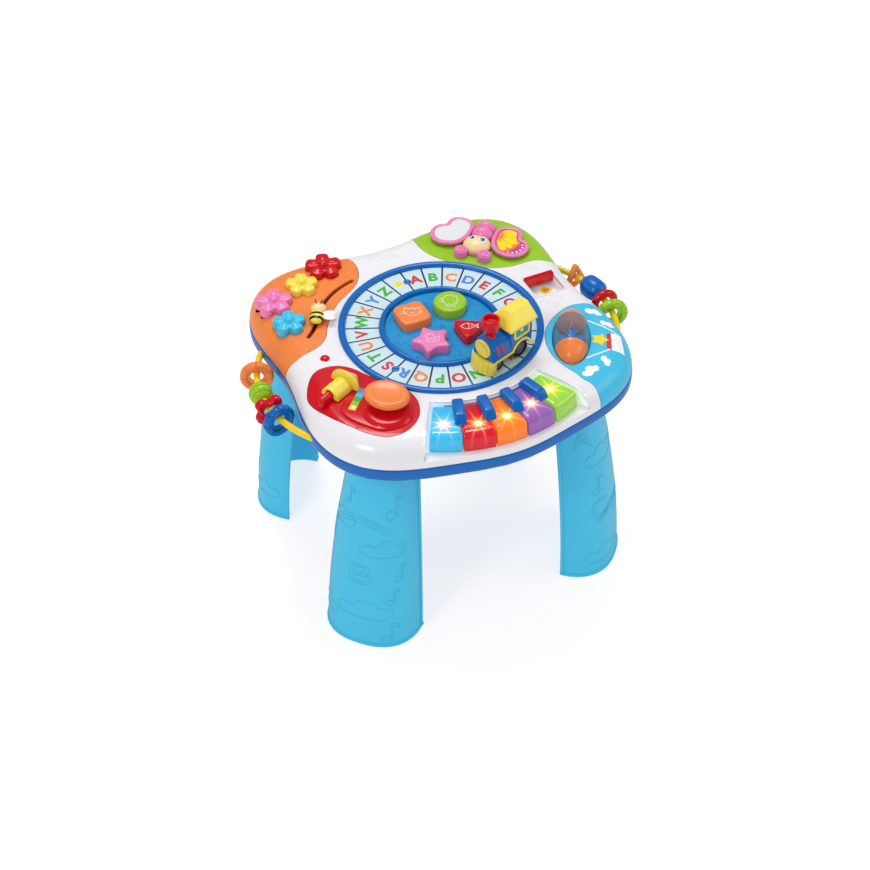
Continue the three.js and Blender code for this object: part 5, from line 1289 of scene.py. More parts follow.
@dataclass
class Track:
    """The blue double ring with the pale letter floor, its dividers and letters."""

    floor_inner: float = 74.0
    floor_outer: float = 114.0
    inner_bead: float = 7.0
    inner_rise: float = 4.5
    outer_bead: float = 8.5
    outer_rise: float = 5.0
    island_top: float = 331.5
    sections: int = 27
    divider_width: float = 2.2
    letter_radius: float = 95.5
    letter_height: float = 15.0
    order: str = "ABCDEFGHIJKLMNOPQRSTUVWXYZ"
    tones: str = "RGOBRGROBGROBGRGOBRGORGOBG"

    def bead(self, inner: float, outer: float, rise: float, low: float) -> list[Point]:
        """Return the outside of a half-round bead, from its outer to its inner foot.

        Args:
            inner: Radius of the inner foot.
            outer: Radius of the outer foot.
            rise: Height of the crest.
            low: Height of the feet.

        Returns:
            Pairs of radius and height.
        """
        middle, half = (inner + outer) / 2, (outer - inner) / 2
        return [(middle + half * math.cos(math.pi * k / 14),
                 low + (rise - low) * math.sin(math.pi * k / 14) ** 0.8)
                for k in range(15)]

    def build(self) -> None:
        """Make the ring, its floor, dividers, dots and letters."""
        bead_out = self.floor_outer + self.outer_bead
        bead_in = self.floor_inner - self.inner_bead
        ledge = self.island_top - 2.8
        profile = [
            (bead_in - 5, ledge - 2.5), (self.floor_inner - 3.5, ledge - 2.5),
            (self.floor_inner - 3.5, LETTER_Z - 2.5),
            (self.floor_outer - 2.5, LETTER_Z - 2.5), (self.floor_outer - 2.5, LETTER_Z - 8),
            (115.5, LETTER_Z - 8),
            (115.5, DECK_Z + 0.3), (bead_out, DECK_Z + 0.3),
            *self.bead(self.floor_outer, bead_out, LETTER_Z + self.outer_rise, DECK_Z + 0.6),
            (self.floor_outer, LETTER_Z - 0.05), (self.floor_inner, LETTER_Z - 0.05),
            *self.bead(bead_in, self.floor_inner, LETTER_Z + self.inner_rise, LETTER_Z + 0.3),
            (bead_in, ledge), (bead_in - 5, ledge), (bead_in - 5, ledge - 2.5)]
        piece("track_ring", Mould().lathe(profile, 160), BLUE, replaces=["track_channel"], sharp=50)
        floor = box(self.floor_inner + 0.3, LETTER_Z, self.floor_outer - 0.3, LETTER_Z + 0.15)
        piece("letter_floor", Mould().lathe([*floor, floor[0]], 160), PRINT_PALE)
        self.dividers()
        self.print_letters()

    def dividers(self) -> None:
        """Repeat the dividing strip round the floor."""
        strip = Mould().slab(
            thick_line([around((0, 0), self.floor_inner + 0.4, 90),
                        around((0, 0), self.floor_outer - 0.4, 90)],
                       self.divider_width), LETTER_Z + 0.1, LETTER_Z + 0.25, 0.05, steps=2)
        seed = bpy.data.meshes.new("divider")
        seed.from_pydata([(x * MM, y * MM, z * MM) for x, y, z in strip.corners], [], strip.faces)
        mesh = grown_mesh(seed, ring_tree(), {
            "Count": self.sections, "Step Angle": TAU / self.sections,
            "Centre": (0.0, RING_SHIFT_Y * MM, 0.0),
            "Finish": PRINT_DARK.material()})
        piece("floor_dividers", tidy_mesh(mesh), PRINT_DARK)
        dots = Mould()
        for degrees in (90, -30, -150):
            dots.join(Mould().lathe(
                [(0, LETTER_Z + 0.3), (4.6, LETTER_Z + 0.3), (4.6, LETTER_Z + 0.8), (4.0, LETTER_Z + 1.25),
                 (1.6, LETTER_Z + 1.25), (1.2, LETTER_Z + 0.9), (0, LETTER_Z + 0.9)], 32,
            ).at(*around((0, 0), 94, degrees), 0))
        piece("floor_studs", dots, BLUE, sharp=50)

    def print_letters(self) -> None:
        """Print the alphabet clockwise with the tops outwards, and the star before it."""
        palette = {"R": PRINT_RED, "G": PRINT_GREEN, "O": PRINT_ORANGE, "B": PRINT_BLUE}
        step = 360 / self.sections
        groups: dict[str, Mould] = {tone: Mould() for tone in palette}
        for i, (letter, tone) in enumerate(zip(self.order, self.tones)):
            degrees = 90 - step * (i + 0.5)
            x, y = around((0, 0), self.letter_radius, degrees)
            groups[tone].join(letters(letter, self.letter_height, (x, y, LETTER_Z + 0.12), degrees - 90,
                                      0.13, 0.04))
        for tone, mould in groups.items():
            piece(f"letters_{palette[tone].name.split()[0]}", mould, palette[tone])
        turn = 90 + step / 2
        drawn = star(around((0, 0), self.letter_radius, turn), 8.0, 3.8, turn)
        piece("floor_star", prism(soften(drawn, 1.0, 3), LETTER_Z + 0.12, LETTER_Z + 0.25), PRINT_YELLOW)


@dataclass
class Island:
    """The blue water plate with its ripples, and the four shape buttons."""

    radius: float = 66.7
    top: float = 331.5
    thickness: float = 2.5
    button_top: float = 343.5
    round_edge: float = 2.6
    slack: float = 0.6
    drawing_turn: float = -24.0
    places: dict[str, Point] = field(default_factory=lambda: {
        "square": (-25.0, 27.4), "round": (25.3, 27.2), "triangle": (23.7, -25.3), "star": (-25.0, -26.5)})

    def outline(self, name: str) -> list[Point]:
        """Return a button's outline about its own centre.

        Args:
            name: The button's shape.

        Returns:
            The outline.
        """
        if name == "square":
            return soften(box(-19.2, -19.2, 19.2, 19.2), 11, 10)
        if name == "round":
            return circle((0, 0), 20, 64)
        if name == "triangle":
            return soften([around((0, 0), 25, a) for a in (0, 120, 240)], 12, 12)
        return soften(star((0, 0), 26.5, 26.5 * 0.56), 6, 6)

    def build(self) -> None:
        """Make the plate, its embossing and the buttons."""
        plate = prism(circle((0, 0), self.radius, 128), self.top - self.thickness, self.top).mesh("plate")
        cutters = [prism(shifted(grow(self.outline(name), self.slack), place), 300, 350).mesh("cutter")
                   for name, place in self.places.items()]
        piece("island_water", tidy_mesh(carve(plate, cutters)), WATER, replaces=["island_plate"], sharp=40)
        self.ripples()
        finishes = {"square": ORANGE, "round": GREEN, "triangle": RED, "star": PINK}
        for name, place in self.places.items():
            outline = shifted(self.outline(name), place)
            cap = Mould().crowned(outline, self.top - 7.5, self.button_top, self.round_edge, 0.4)
            flange = prism(grow(outline, 1.8), self.top - 4.6, self.top - 2.9)
            stem = Mould().lathe(box(0, 307, 4, self.top - 6), 24).at(*place, 0)
            piece(f"{name}_cap", cap.join(flange, stem), finishes[name], f"{name}_button",
                  replaces=[f"button_{name}"], sharp=50)
        self.drawings()

    def ripples(self) -> None:
        """Emboss wavelets and a small star on the water."""
        paths, z = [], self.top + 0.05
        spots = [(-52, 10, 20), (-50, -12, -60), (0, 52, 5), (-4, -53, 0), (20, -56, 15), (50, 8, 70),
                 (48, -8, 100),
                 (0, 3, 0), (4, 40, 10), (-8, -8, 30), (52, 26, 60), (-38, 50, -30), (40, 46, -40),
                 (-46, -34, 60)]
        for x, y, turn in spots:
            wave = [(-6 + k, 1.3 * math.sin(TAU * k / 8)) for k in range(13)]
            small = [(-3 + 6 * k / 8, 0.9 * math.sin(TAU * k / 8)) for k in range(9)]
            paths += [flat_path(shifted(wave, (x, y), turn), z),
                      flat_path(shifted(small, (x + 2, y - 4), turn), z)]
        paths.append(flat_path(star((1, 1), 4.6, 2.2), z, closed=True))
        paths += [flat_path(arc((0, 0), radius, start + radius, start + radius + 24, 12), z)
                  for radius in (62.0, 57.5) for start in range(0, 360, 60)]
        ridge("island_ripples", paths, 0.6, WATER)

    def drawings(self) -> None:
        """Print a simple white line drawing on each button."""
        z = self.button_top + 0.02
        art = {
            "square": [  # a cat's face
                       [(-9, 2), (-9, 9), (-5, 6), (0, 7), (5, 6), (9, 9), (9, 2), (7, -4), (0, -7),
                        (-7, -4),
                        (-9, 2)],
                       [(-3, -1.5), (0, -3), (3, -1.5)], [(0, -3), (0, -1)],
                       [(-13, 1), (-8, 0)], [(-13, -3), (-8, -2.2)], [(8, 0), (13, 1)],
                       [(8, -2.2), (13, -3)],
                       [(-4, 2.6), (-4, 3.4)], [(4, 2.6), (4, 3.4)]],
            "round": [  # a sheep
                      [around((0, 1), 9.2 + 1.5 * math.cos(math.radians(a) * 9), a)
                       for a in range(0, 361, 8)],
                      [(-8, 2), (-12, 3), (-13, -1), (-10, -3), (-7.5, -1.5)],
                      [(-4, -8.6), (-4, -12), (-1.5, -12), (-1.5, -9)],
                      [(3, -9), (3, -12), (5.5, -12), (5.5, -8.4)],
                      [(-11, 0.5), (-11, 1.2)]],
            "triangle": [  # a fish
                         [(-9, 0), (-5, 4), (0, 5), (5, 3), (8, 0), (5, -3), (0, -5), (-5, -4), (-9, 0)],
                         [(8, 0), (12, 4), (11, 0), (12, -4), (8, 0)], [(-5, 1), (-5, 1.8)],
                         [(-1, 4.8), (0.6, 2), (0.6, -2), (-1, -4.8)], [(3, 1), (5, 0), (3, -1)]],
            "star": [  # a chick
                     [around((-2, 4), 4.6, a) for a in range(-30, 301, 15)],
                     [(-6.5, 4.5), (-9, 3.4), (-6.4, 2.6)], [(-3.4, 5.2), (-3.4, 6)],
                     [(1, 0.6), (5, 1), (9, 4), (9, -2), (5, -6), (0, -7), (-5, -4.6), (-5.6, -1),
                      (-3.8, 0.2)],
                     [(0, -2), (3, -3.6), (6, -1.6)]],
        }
        for name, strokes in art.items():
            steps = 1 if name == "round" else 3
            paths = []
            for stroke in strokes:
                drawn = spline(stroke, steps) if len(stroke) > 3 and steps > 1 else stroke
                paths.append(flat_path(shifted(drawn, self.places[name], self.drawing_turn), z))
            ridge(f"{name}_drawing", paths, 0.42, PRINT_WHITE, f"{name}_button", 6)


# Flower panel: slot, flowers and the bee

@dataclass
class Flowers:
    """Four flower buttons, the bee's slot and the bee."""

    top: float = 343.5
    skirt: float = 328.6
    notch: float = 0.31
    eye_share: float = 0.27
    edge: float = 2.6
    crown: float = 1.6
    slot_half_width: float = 2.8
    slot_radius: float = 100.0
    bee_rest: Point = (-126.1, 77.1)
    bee_swell: Spot = (1.45, 1.45, 1.15)
    flowers: dict[str, tuple[Point, float, Finish]] = field(default_factory=lambda: {
        "red": (share((-0.387, 0.756)), 22.4, RED), "yellow": (share((-0.565, 0.653)), 19.6, YELLOW),
        "pink": (share((-0.767, 0.577)), 22.4, PINK), "blue": (share((-0.761, 0.371)), 19.6, SKY)})

    def petals(self, radius: float, steps: int = 120) -> list[Point]:
        """Return a five-petalled outline.

        Args:
            radius: Its radius.
            steps: How many steps it is drawn in.

        Returns:
            The outline about its own middle.
        """
        drawn = []
        for k in range(steps):
            degrees = 360 * k / steps
            dent = self.notch * abs(math.sin(math.radians(degrees * 2.5))) ** 6
            drawn.append(around((0, 0), radius * (1 - dent), degrees))
        return drawn

    def slot_line(self) -> list[Point]:
        """Return the middle line of the S-shaped slot."""
        near = around(self.bee_rest, self.slot_radius, 150)
        far = around(self.bee_rest, self.slot_radius, -30)
        return (arc(near, self.slot_radius, -51, -30, 14)[:-1] + arc(far, self.slot_radius, 150, 102, 28))

    def cutters(self, shell: Shell) -> list[bpy.types.Mesh]:
        """Return the cutters of the flower holes and the slot.

        Args:
            shell: The shell that is cut.

        Returns:
            The cutters.
        """
        made = [shell.cutter(shifted(grow(self.petals(radius), 0.6), place))
                for place, radius, _ in self.flowers.values()]
        made.append(shell.cutter(self.slot_outline(self.slot_half_width)))
        return made

    def slot_outline(self, half: float) -> list[Point]:
        """Return the slot's outline with round ends.

        Args:
            half: Half the slot's width.

        Returns:
            The outline.
        """
        line = self.slot_line()
        outline = thick_line(line, 2 * half)
        count = len(line)
        left, right = outline[:count], outline[count:]

        def cap(centre: Point, start: Point) -> list[Point]:
            """Return the points of a round end."""
            begin = math.degrees(math.atan2(start[1] - centre[1], start[0] - centre[0]))
            return arc(centre, half, begin, begin - 180, 10)[1:-1]
        return left + cap(line[-1], left[-1]) + right + cap(line[0], right[-1])

    def build(self) -> None:
        """Make the slot's floor, the flowers and the bee."""
        trough = Mould().skin([flat_path(self.slot_outline(h), z) for h, z in (
            (4.4, DECK_Z - 3.2), (4.4, DECK_Z - 4.6), (2.8, DECK_Z - 4.7), (2.8, DECK_Z - 3.8))], False,
                              False)
        floor = prism(self.slot_outline(3.4), DECK_Z - 5.4, DECK_Z - 4.6)
        # The slot floor's dark red is painted shade in the slot.
        piece("bee_slot_floor", floor, SHADED_SLOT_RED)
        piece("bee_slot_lip", trough, ORANGE)
        for name, (place, radius, finish) in self.flowers.items():
            self.flower(name, place, radius, finish)
        self.bee()
        dress("bee_keeper", RED)

    def flower(self, name: str, place: Point, radius: float, finish: Finish) -> None:
        """Make one flower button with its domed petals and eye.

        Args:
            name: The flower's colour, which names its piece.
            place: Where it stands.
            radius: Its radius.
            finish: What it is made of.
        """
        outline = shifted(self.petals(radius), place)
        shoulder = self.top - self.crown
        rings = [flat_path(outline, self.skirt)]
        rings += [flat_path(grow(outline, -self.edge * back), shoulder - self.edge * (1 - up))
                  for back, up in quarter(6)]
        inner = grow(outline, -self.edge)
        levels = 10
        for k in range(1, levels + 1):
            part = k / (levels + 1)
            ring = []
            for i, (x, y) in enumerate(inner):
                wave = abs(math.cos(math.radians(360 * i / len(inner) * 2.5)))
                swell = self.crown * math.sin(math.pi * min(1.0, part * 1.25)) * wave
                dip = 1.2 * part ** 2 * (1 - wave)
                ring.append((x + (place[0] - x) * part, y + (place[1] - y) * part, shoulder + swell - dip))
            rings.append(ring)
        body = Mould().skin(rings)
        eye = radius * self.eye_share
        body.join(Mould().lathe(
            [(eye + 0.6, self.top - 2.5), (eye + 0.5, self.top - 1.4), (eye, self.top - 0.6),
             (eye * 0.86, self.top + 1.2),
             (eye * 0.6, self.top + 2.3), (eye * 0.3, self.top + 2.8), (POINT, self.top + 2.9)],
             40).at(*place, 0))
        stem = Mould().lathe(box(0, 305.6, 4, 330), 24).at(*place, 0)
        piece(f"{name}_flower_cap", body.join(stem), finish, f"{name}_flower", replaces=[f"flower_{name}"],
              sharp=55)

    def bee(self) -> None:
        """Make the bee: cream head, banded belly, wings and stem."""
        low = DECK_Z + 0.6
        frame_turn = turned((*self.bee_rest, 0), 60)

        def slice_of(start: float, end: float, grown: float) -> Mould:
            """Return a slice of the belly's egg along its length.

            Args:
                start: Where the slice starts.
                end: Where it ends.
                grown: How far it is moved out.

            Returns:
                The slice.
            """
            profile = []
            for k in range(9):
                along = start + (end - start) * k / 8
                reach = math.sqrt(max(0.0, 1 - ((along + 4.2) / 8.4) ** 2))
                profile.append((max(0.02, 6.2 * reach + grown), along))
            laid = Mould().lathe(profile, 36).moved(spin(90, "Y"))
            return laid.moved(Matrix.Translation((0, 0, low + 5.4)) @ Matrix.Diagonal((1, 1, 0.86, 1)))
        bands = Mould().join(slice_of(-9.4, -7.2, 0.12), slice_of(-4.6, -2.2, 0.12))
        belly = Mould().join(slice_of(-12.55, 3.6, 0.0))
        stem = Mould().lathe(box(0, 328, 2.2, low + 4), 20)
        washer = Mould().lathe(box(0, 328.3, 5, 329.8), 24)
        head = Mould().ball((6.4, 6.6, 5.4), (6.4, 0, low + 5.4), 36)
        wings = Mould()
        for side, sweep in ((-1, 24), (-1, -18)):
            wings.join(Mould().ball((4.0, 6.4, 1.1), (0, 0, 0), 28).moved(
                turned((-3.0 + sweep * 0.08, side * 9.0, low + 7.0), sweep)))
        marks = Mould()
        for side in (-1, 1):
            feeler = [(8.5, side * 1.6, low + 10), (9.6, side * 2.6, low + 12.2), (11, side * 3, low + 13)]
            marks.join(Mould().ball((0.7, 0.9, 1.2), (11.6, side * 2.3, low + 6.6), 14),
                       Mould().tube(feeler, 0.45, 8))
        foot = Matrix.Translation((0, 0, low))
        swell = foot @ Matrix.Diagonal((*self.bee_swell, 1)) @ foot.inverted()
        belly, bands, head, wings, marks = (mould.moved(swell)
                                            for mould in (belly, bands, head, wings, marks))
        for name, mould, finish, node in (
                ("bee_belly", belly.join(stem, washer), YELLOW, ["bee"]), ("bee_bands", bands, BLACK, []),
                ("bee_head", head, CREAM, []), ("bee_wings", wings, PRINT_WHITE, []),
                ("bee_marks", marks, BLACK, [])):
            piece(name, mould.moved(frame_turn), finish, "bee_body", replaces=node, sharp=60)


# Meadow panel: the butterfly

@dataclass
class Butterfly:
    """The pink butterfly with its mirror wing and its printed wing."""

    place: Point = (126.9, 138.0)
    axis_degrees: float = 45.6
    base: float = 333.8
    lumps: tuple[Point, Point] = ((7.35, 14.1), (-6.3, 15.0))
    lump_half_length: float = 10.85
    rise: float = 14.5
    face: Spot = (-30.0, 0.0, 338.1)
    face_half: Spot = (17.0, 17.5, 10.5)
    wing_scale: float = 50.0
    wing_base: float = 337.2
    wing_thickness: float = 4.0
    wing_inset: float = 5.2
    recess: float = 1.2
    outline_shares: tuple[Point, ...] = (
        (0.28, -0.1), (0.36, -0.24), (0.52, -0.33), (0.72, -0.35), (0.88, -0.28), (0.97, -0.14),
        (0.99, 0.02),
        (1.16, 0.12), (1.26, 0.3), (1.25, 0.52), (1.14, 0.7), (0.96, 0.806), (0.76, 0.812), (0.54, 0.74),
        (0.4, 0.6), (0.31, 0.4), (0.27, 0.16))

    @property
    def seat(self) -> Matrix:
        """Return the place and turn of the butterfly."""
        return turned((*self.place, 0), self.axis_degrees)

    @property
    def floor(self) -> float:
        """Return the height of the recess in a wing."""
        return self.wing_base + self.wing_thickness - self.recess

    def wing_outline(self, side: int, inset: float) -> list[Point]:
        """Return a wing's outline, side 1 for the mirror wing and -1 for the printed one.

        Args:
            side: Which of the two it is, 1 or -1.
            inset: How far it is moved in.

        Returns:
            The outline in the butterfly's own frame.
        """
        drawn = spline([(-forward * self.wing_scale, side * out * self.wing_scale)
                        for out, forward in self.outline_shares], 6, closed=True)
        return grow(drawn, -inset)

    def clearance(self) -> list[bpy.types.Mesh]:
        """Return what the wings keep clear of."""
        balls = [((self.lump_half_length + 1, radius + 1, self.rise + 1.6), (along, 0, self.base))
                 for along, radius in self.lumps]
        balls.append((tuple(half + 1.0 for half in self.face_half), self.face))
        return [Mould().ball(radii, centre, 40).moved(self.seat).mesh("cutter") for radii, centre in balls]

    def build(self) -> None:
        """Make the body, the face and both wings."""
        body = Mould()
        for along, radius in self.lumps:
            body.join(Mould().ball((self.lump_half_length, radius, self.rise), (along, 0, self.base), 48,
                                   low=0.0))
        waist = Mould().tube([(-2, 0, self.base + 4), (4, 0, self.base + 4)], 9.0, 24)
        plinth = prism(soften(box(-46, -8.7, -2, 8.7), 3), self.base, self.base + 4)
        for side in (-1, 1):
            body.join(prism(thick_line([(-46, side * 14), (-36, side * 9)], 5), self.base, self.base + 4))
        piece("butterfly_lumps", body.join(waist, plinth).moved(self.seat), PINK,
              replaces=["butterfly_body"], sharp=60)
        self.curls()
        self.head()
        for side, name in ((1, "mirror_wing"), (-1, "pattern_wing")):
            self.wing(side, name)
        self.mirror()
        self.print_pattern()

    def curls(self) -> None:
        """Make the two rolled curls of the feelers."""
        mould, paths = Mould(), []
        for side in (-1, 1):
            centre = (-47.5, side * 15.0)
            mould.join(Mould().crowned(circle(centre, 8.8, 48), self.base, 343.2, 2.4, 0.5))
            swirl = [around(centre, 6.6 * (1 - k / 34), side * (140 + 18 * k)) for k in range(31)]
            paths.append([tuple(self.seat @ Vector((x, y, 343.0))) for x, y in swirl])
        piece("butterfly_curls", mould.moved(self.seat), PINK, sharp=60)
        ridge("butterfly_swirls", paths, 0.9, PINK)

    def head(self) -> None:
        """Make the plain face with two printed eyes and a smile."""
        x0, _, z0 = self.face
        ax, ay, az = self.face_half

        def on_face(x: float, y: float, lift: float = 0.05) -> Spot:
            """Return a spot on the face's ball."""
            reach = max(0.05, 1 - (x / ax) ** 2 - (y / ay) ** 2)
            return x0 + x, y, z0 + az * math.sqrt(reach) + lift

        def patch(centre: Point, radii: Point, lift: float) -> Mould:
            """Return an oval print laid on the ball.

            Args:
                centre: Its middle on the face.
                radii: Its half lengths.
                lift: How far it stands off the surface.

            Returns:
                The print.
            """
            rings = []
            for k in range(6):
                part = 1 - k / 6
                rings.append([on_face(centre[0] + radii[0] * part * math.cos(TAU * i / 28),
                                      centre[1] + radii[1] * part * math.sin(TAU * i / 28),
                                      lift + 0.12 * (1 - part)) for i in range(28)])
            return Mould().skin(rings, low_cap=False)
        ball = Mould().ball(self.face_half, self.face, 56, low=0.0)
        piece("butterfly_face", ball.moved(self.seat), CREAM, replaces=["butterfly_head"], sharp=60)
        for name, finish, (along, out), up, radii, lift in (
                ("whites", PRINT_WHITE, (2.5, 7.0), 0, (5.3, 4.3), 0.05),
                ("irises", PRINT_BLUE, (2.0, 6.8), 0, (3.9, 3.1), 0.16),
                ("pupils", PRINT_DARK, (1.8, 6.7), 0, (2.4, 1.9), 0.28),
                ("glints", PRINT_WHITE, (0.4, 6.7), 0.9, (0.9, 0.8), 0.4)):
            pair = Mould().join(*[patch((along, side * out + up), radii, lift) for side in (-1, 1)])
            piece(f"face_{name}", pair.moved(self.seat), finish, sharp=80)
        smile = [tuple(self.seat @ Vector(on_face(8.2 + 1.6 * math.cos(math.radians(a)),
                                                  4.2 * math.sin(math.radians(a)), 0.1)))
                 for a in range(-80, 81, 8)]
        ridge("face_smile", [smile], 0.42, PRINT_ROSE, sides=6)

    def wing(self, side: int, name: str) -> None:
        """Make a wing's frame with its recess.

        Args:
            side: Which of the two it is, 1 or -1.
            name: The wing's name.
        """
        low, top = self.wing_base, self.wing_base + self.wing_thickness
        rings = [flat_path(self.wing_outline(side, 1.2), low),
                 flat_path(self.wing_outline(side, 0.3), low + 0.4)]
        edge = 1.7
        rings += [flat_path(self.wing_outline(side, edge * back), top - edge * (1 - up))
                  for back, up in quarter(5)]
        rings += [flat_path(self.wing_outline(side, self.wing_inset + inset), z)
                  for inset, z in ((-0.5, top), (0, top - 0.4), (0, top - self.recess))]
        mesh = carved(name, Mould().skin(rings).moved(self.seat), *self.clearance())
        piece(f"{name}_frame", mesh, PINK, f"{name}_body", replaces=[name], sharp=50)

    def mirror(self) -> None:
        """Lay the silvered sheet into the mirror wing."""
        sheet = prism(self.wing_outline(1, self.wing_inset + 0.35), self.floor + 0.05, self.floor + 0.65)
        mesh = carved("mirror", sheet.moved(self.seat), *self.clearance())
        piece("mirror_sheet", mesh, MIRROR, "mirror_wing_body", replaces=["mirror"])

    def print_pattern(self) -> None:
        """Print the petals on orange and the dotted border on the other wing."""
        floor, body = self.floor, "pattern_wing_body"
        root = (-0.1 * self.wing_scale, -0.3 * self.wing_scale)
        inner = prism(self.wing_outline(-1, self.wing_inset + 1.6), floor - 1, floor + 2)
        disc = prism(circle(root, 36, 72), floor + 0.1, floor + 0.3)
        petals = Mould()
        for degrees in range(-142, -30, 19):
            leaf = [(11, 0), (18, 2.7), (26, 4.4), (31.5, 3.2), (33, 0), (31.5, -3.2), (26, -4.4),
                    (18, -2.7)]
            petals.join(prism(shifted(spline(leaf, 5, True), root, degrees), floor + 0.25, floor + 0.45))
        border = prism(self.wing_outline(-1, self.wing_inset + 0.1), floor + 0.02, floor + 0.18)
        for name, mould, finish, inside in (("wing_border", border, PRINT_ROSE, None),
                                            ("wing_disc", disc, PRINT_ORANGE, inner),
                                            ("wing_petals", petals, PRINT_YELLOW, inner)):
            mesh = mould.moved(self.seat).mesh(name)
            if inside:
                mesh = carve(mesh, [inside.moved(self.seat).mesh("cutter")], "INTERSECT")
            piece(name, tidy_mesh(carve(mesh, self.clearance())), finish, body)
        dots, line = Mould(), self.wing_outline(-1, self.wing_inset + 2.6)
        for k in range(0, len(line), 5):
            if math.dist(line[k], root) > 37.5:
                size = 1.1 + 0.05 * (math.dist(line[k], root) - 37.5)
                dots.join(prism(circle(line[k], size, 16), floor + 0.1, floor + 0.4))
        piece("wing_dots", dots.moved(self.seat), PRINT_WHITE, body)


# Peekaboo window and its shutter

@dataclass
class Peekaboo:
    """The sun print at the bottom of the tub and the red shutter bar."""

    centre: Point = (148.0, 17.25)
    size: Point = (40.0, 37.5)
    sun: Point = (153.0, 21.0)
    floor: float = 318.5
    bar_depth: float = 5.6
    bar_top: float = 337.5
    bar_low: float = 323.5
    strip_low: float = 322.0

    def build(self) -> None:
        """Make the print and the shutter."""
        x0, y0 = self.centre
        z = self.floor + 0.05
        sky = shifted(soften(box(-17, -16, 17, 16), 5), self.centre)
        piece("window_print", prism(sky, z, z + 0.15), PRINT_WHITE)
        rays = Mould()
        for k in range(12):
            ray = [(6.0, -15), (8.2 if k % 2 else 9.4, 0), (6.0, 15)]
            rays.join(prism([around(self.sun, reach, 30 * k + turn) for reach, turn in ray], z + 0.12,
                            z + 0.3))
        piece("window_rays", rays.join(prism(circle(self.sun, 6.2, 40), z + 0.12, z + 0.32)), PRINT_YELLOW)
        piece("window_sun", Mould().slab(circle(self.sun, 4.2, 40), z + 0.12, z + 0.5), PRINT_ORANGE)
        side = x0 + self.size[0] / 2
        strip = prism(box(side - 0.4, y0 - 14, side - 0.1, y0 + 13), self.strip_low, DECK_Z - 2)
        piece("window_track", strip, RED)
        low_y = y0 + self.size[1] / 2 - self.bar_depth
        half = self.size[0] / 2 - 0.5
        bar = Mould().crowned(
            soften(box(x0 - half, low_y, x0 + half, low_y + self.bar_depth - 0.3), 1.6), self.bar_low,
            self.bar_top, 1.4, 0.3)
        piece("shutter_bar", bar, RED, "shutter", sharp=50)
        dress("window_shutter", RED)


# Balloon panel: print and spinner

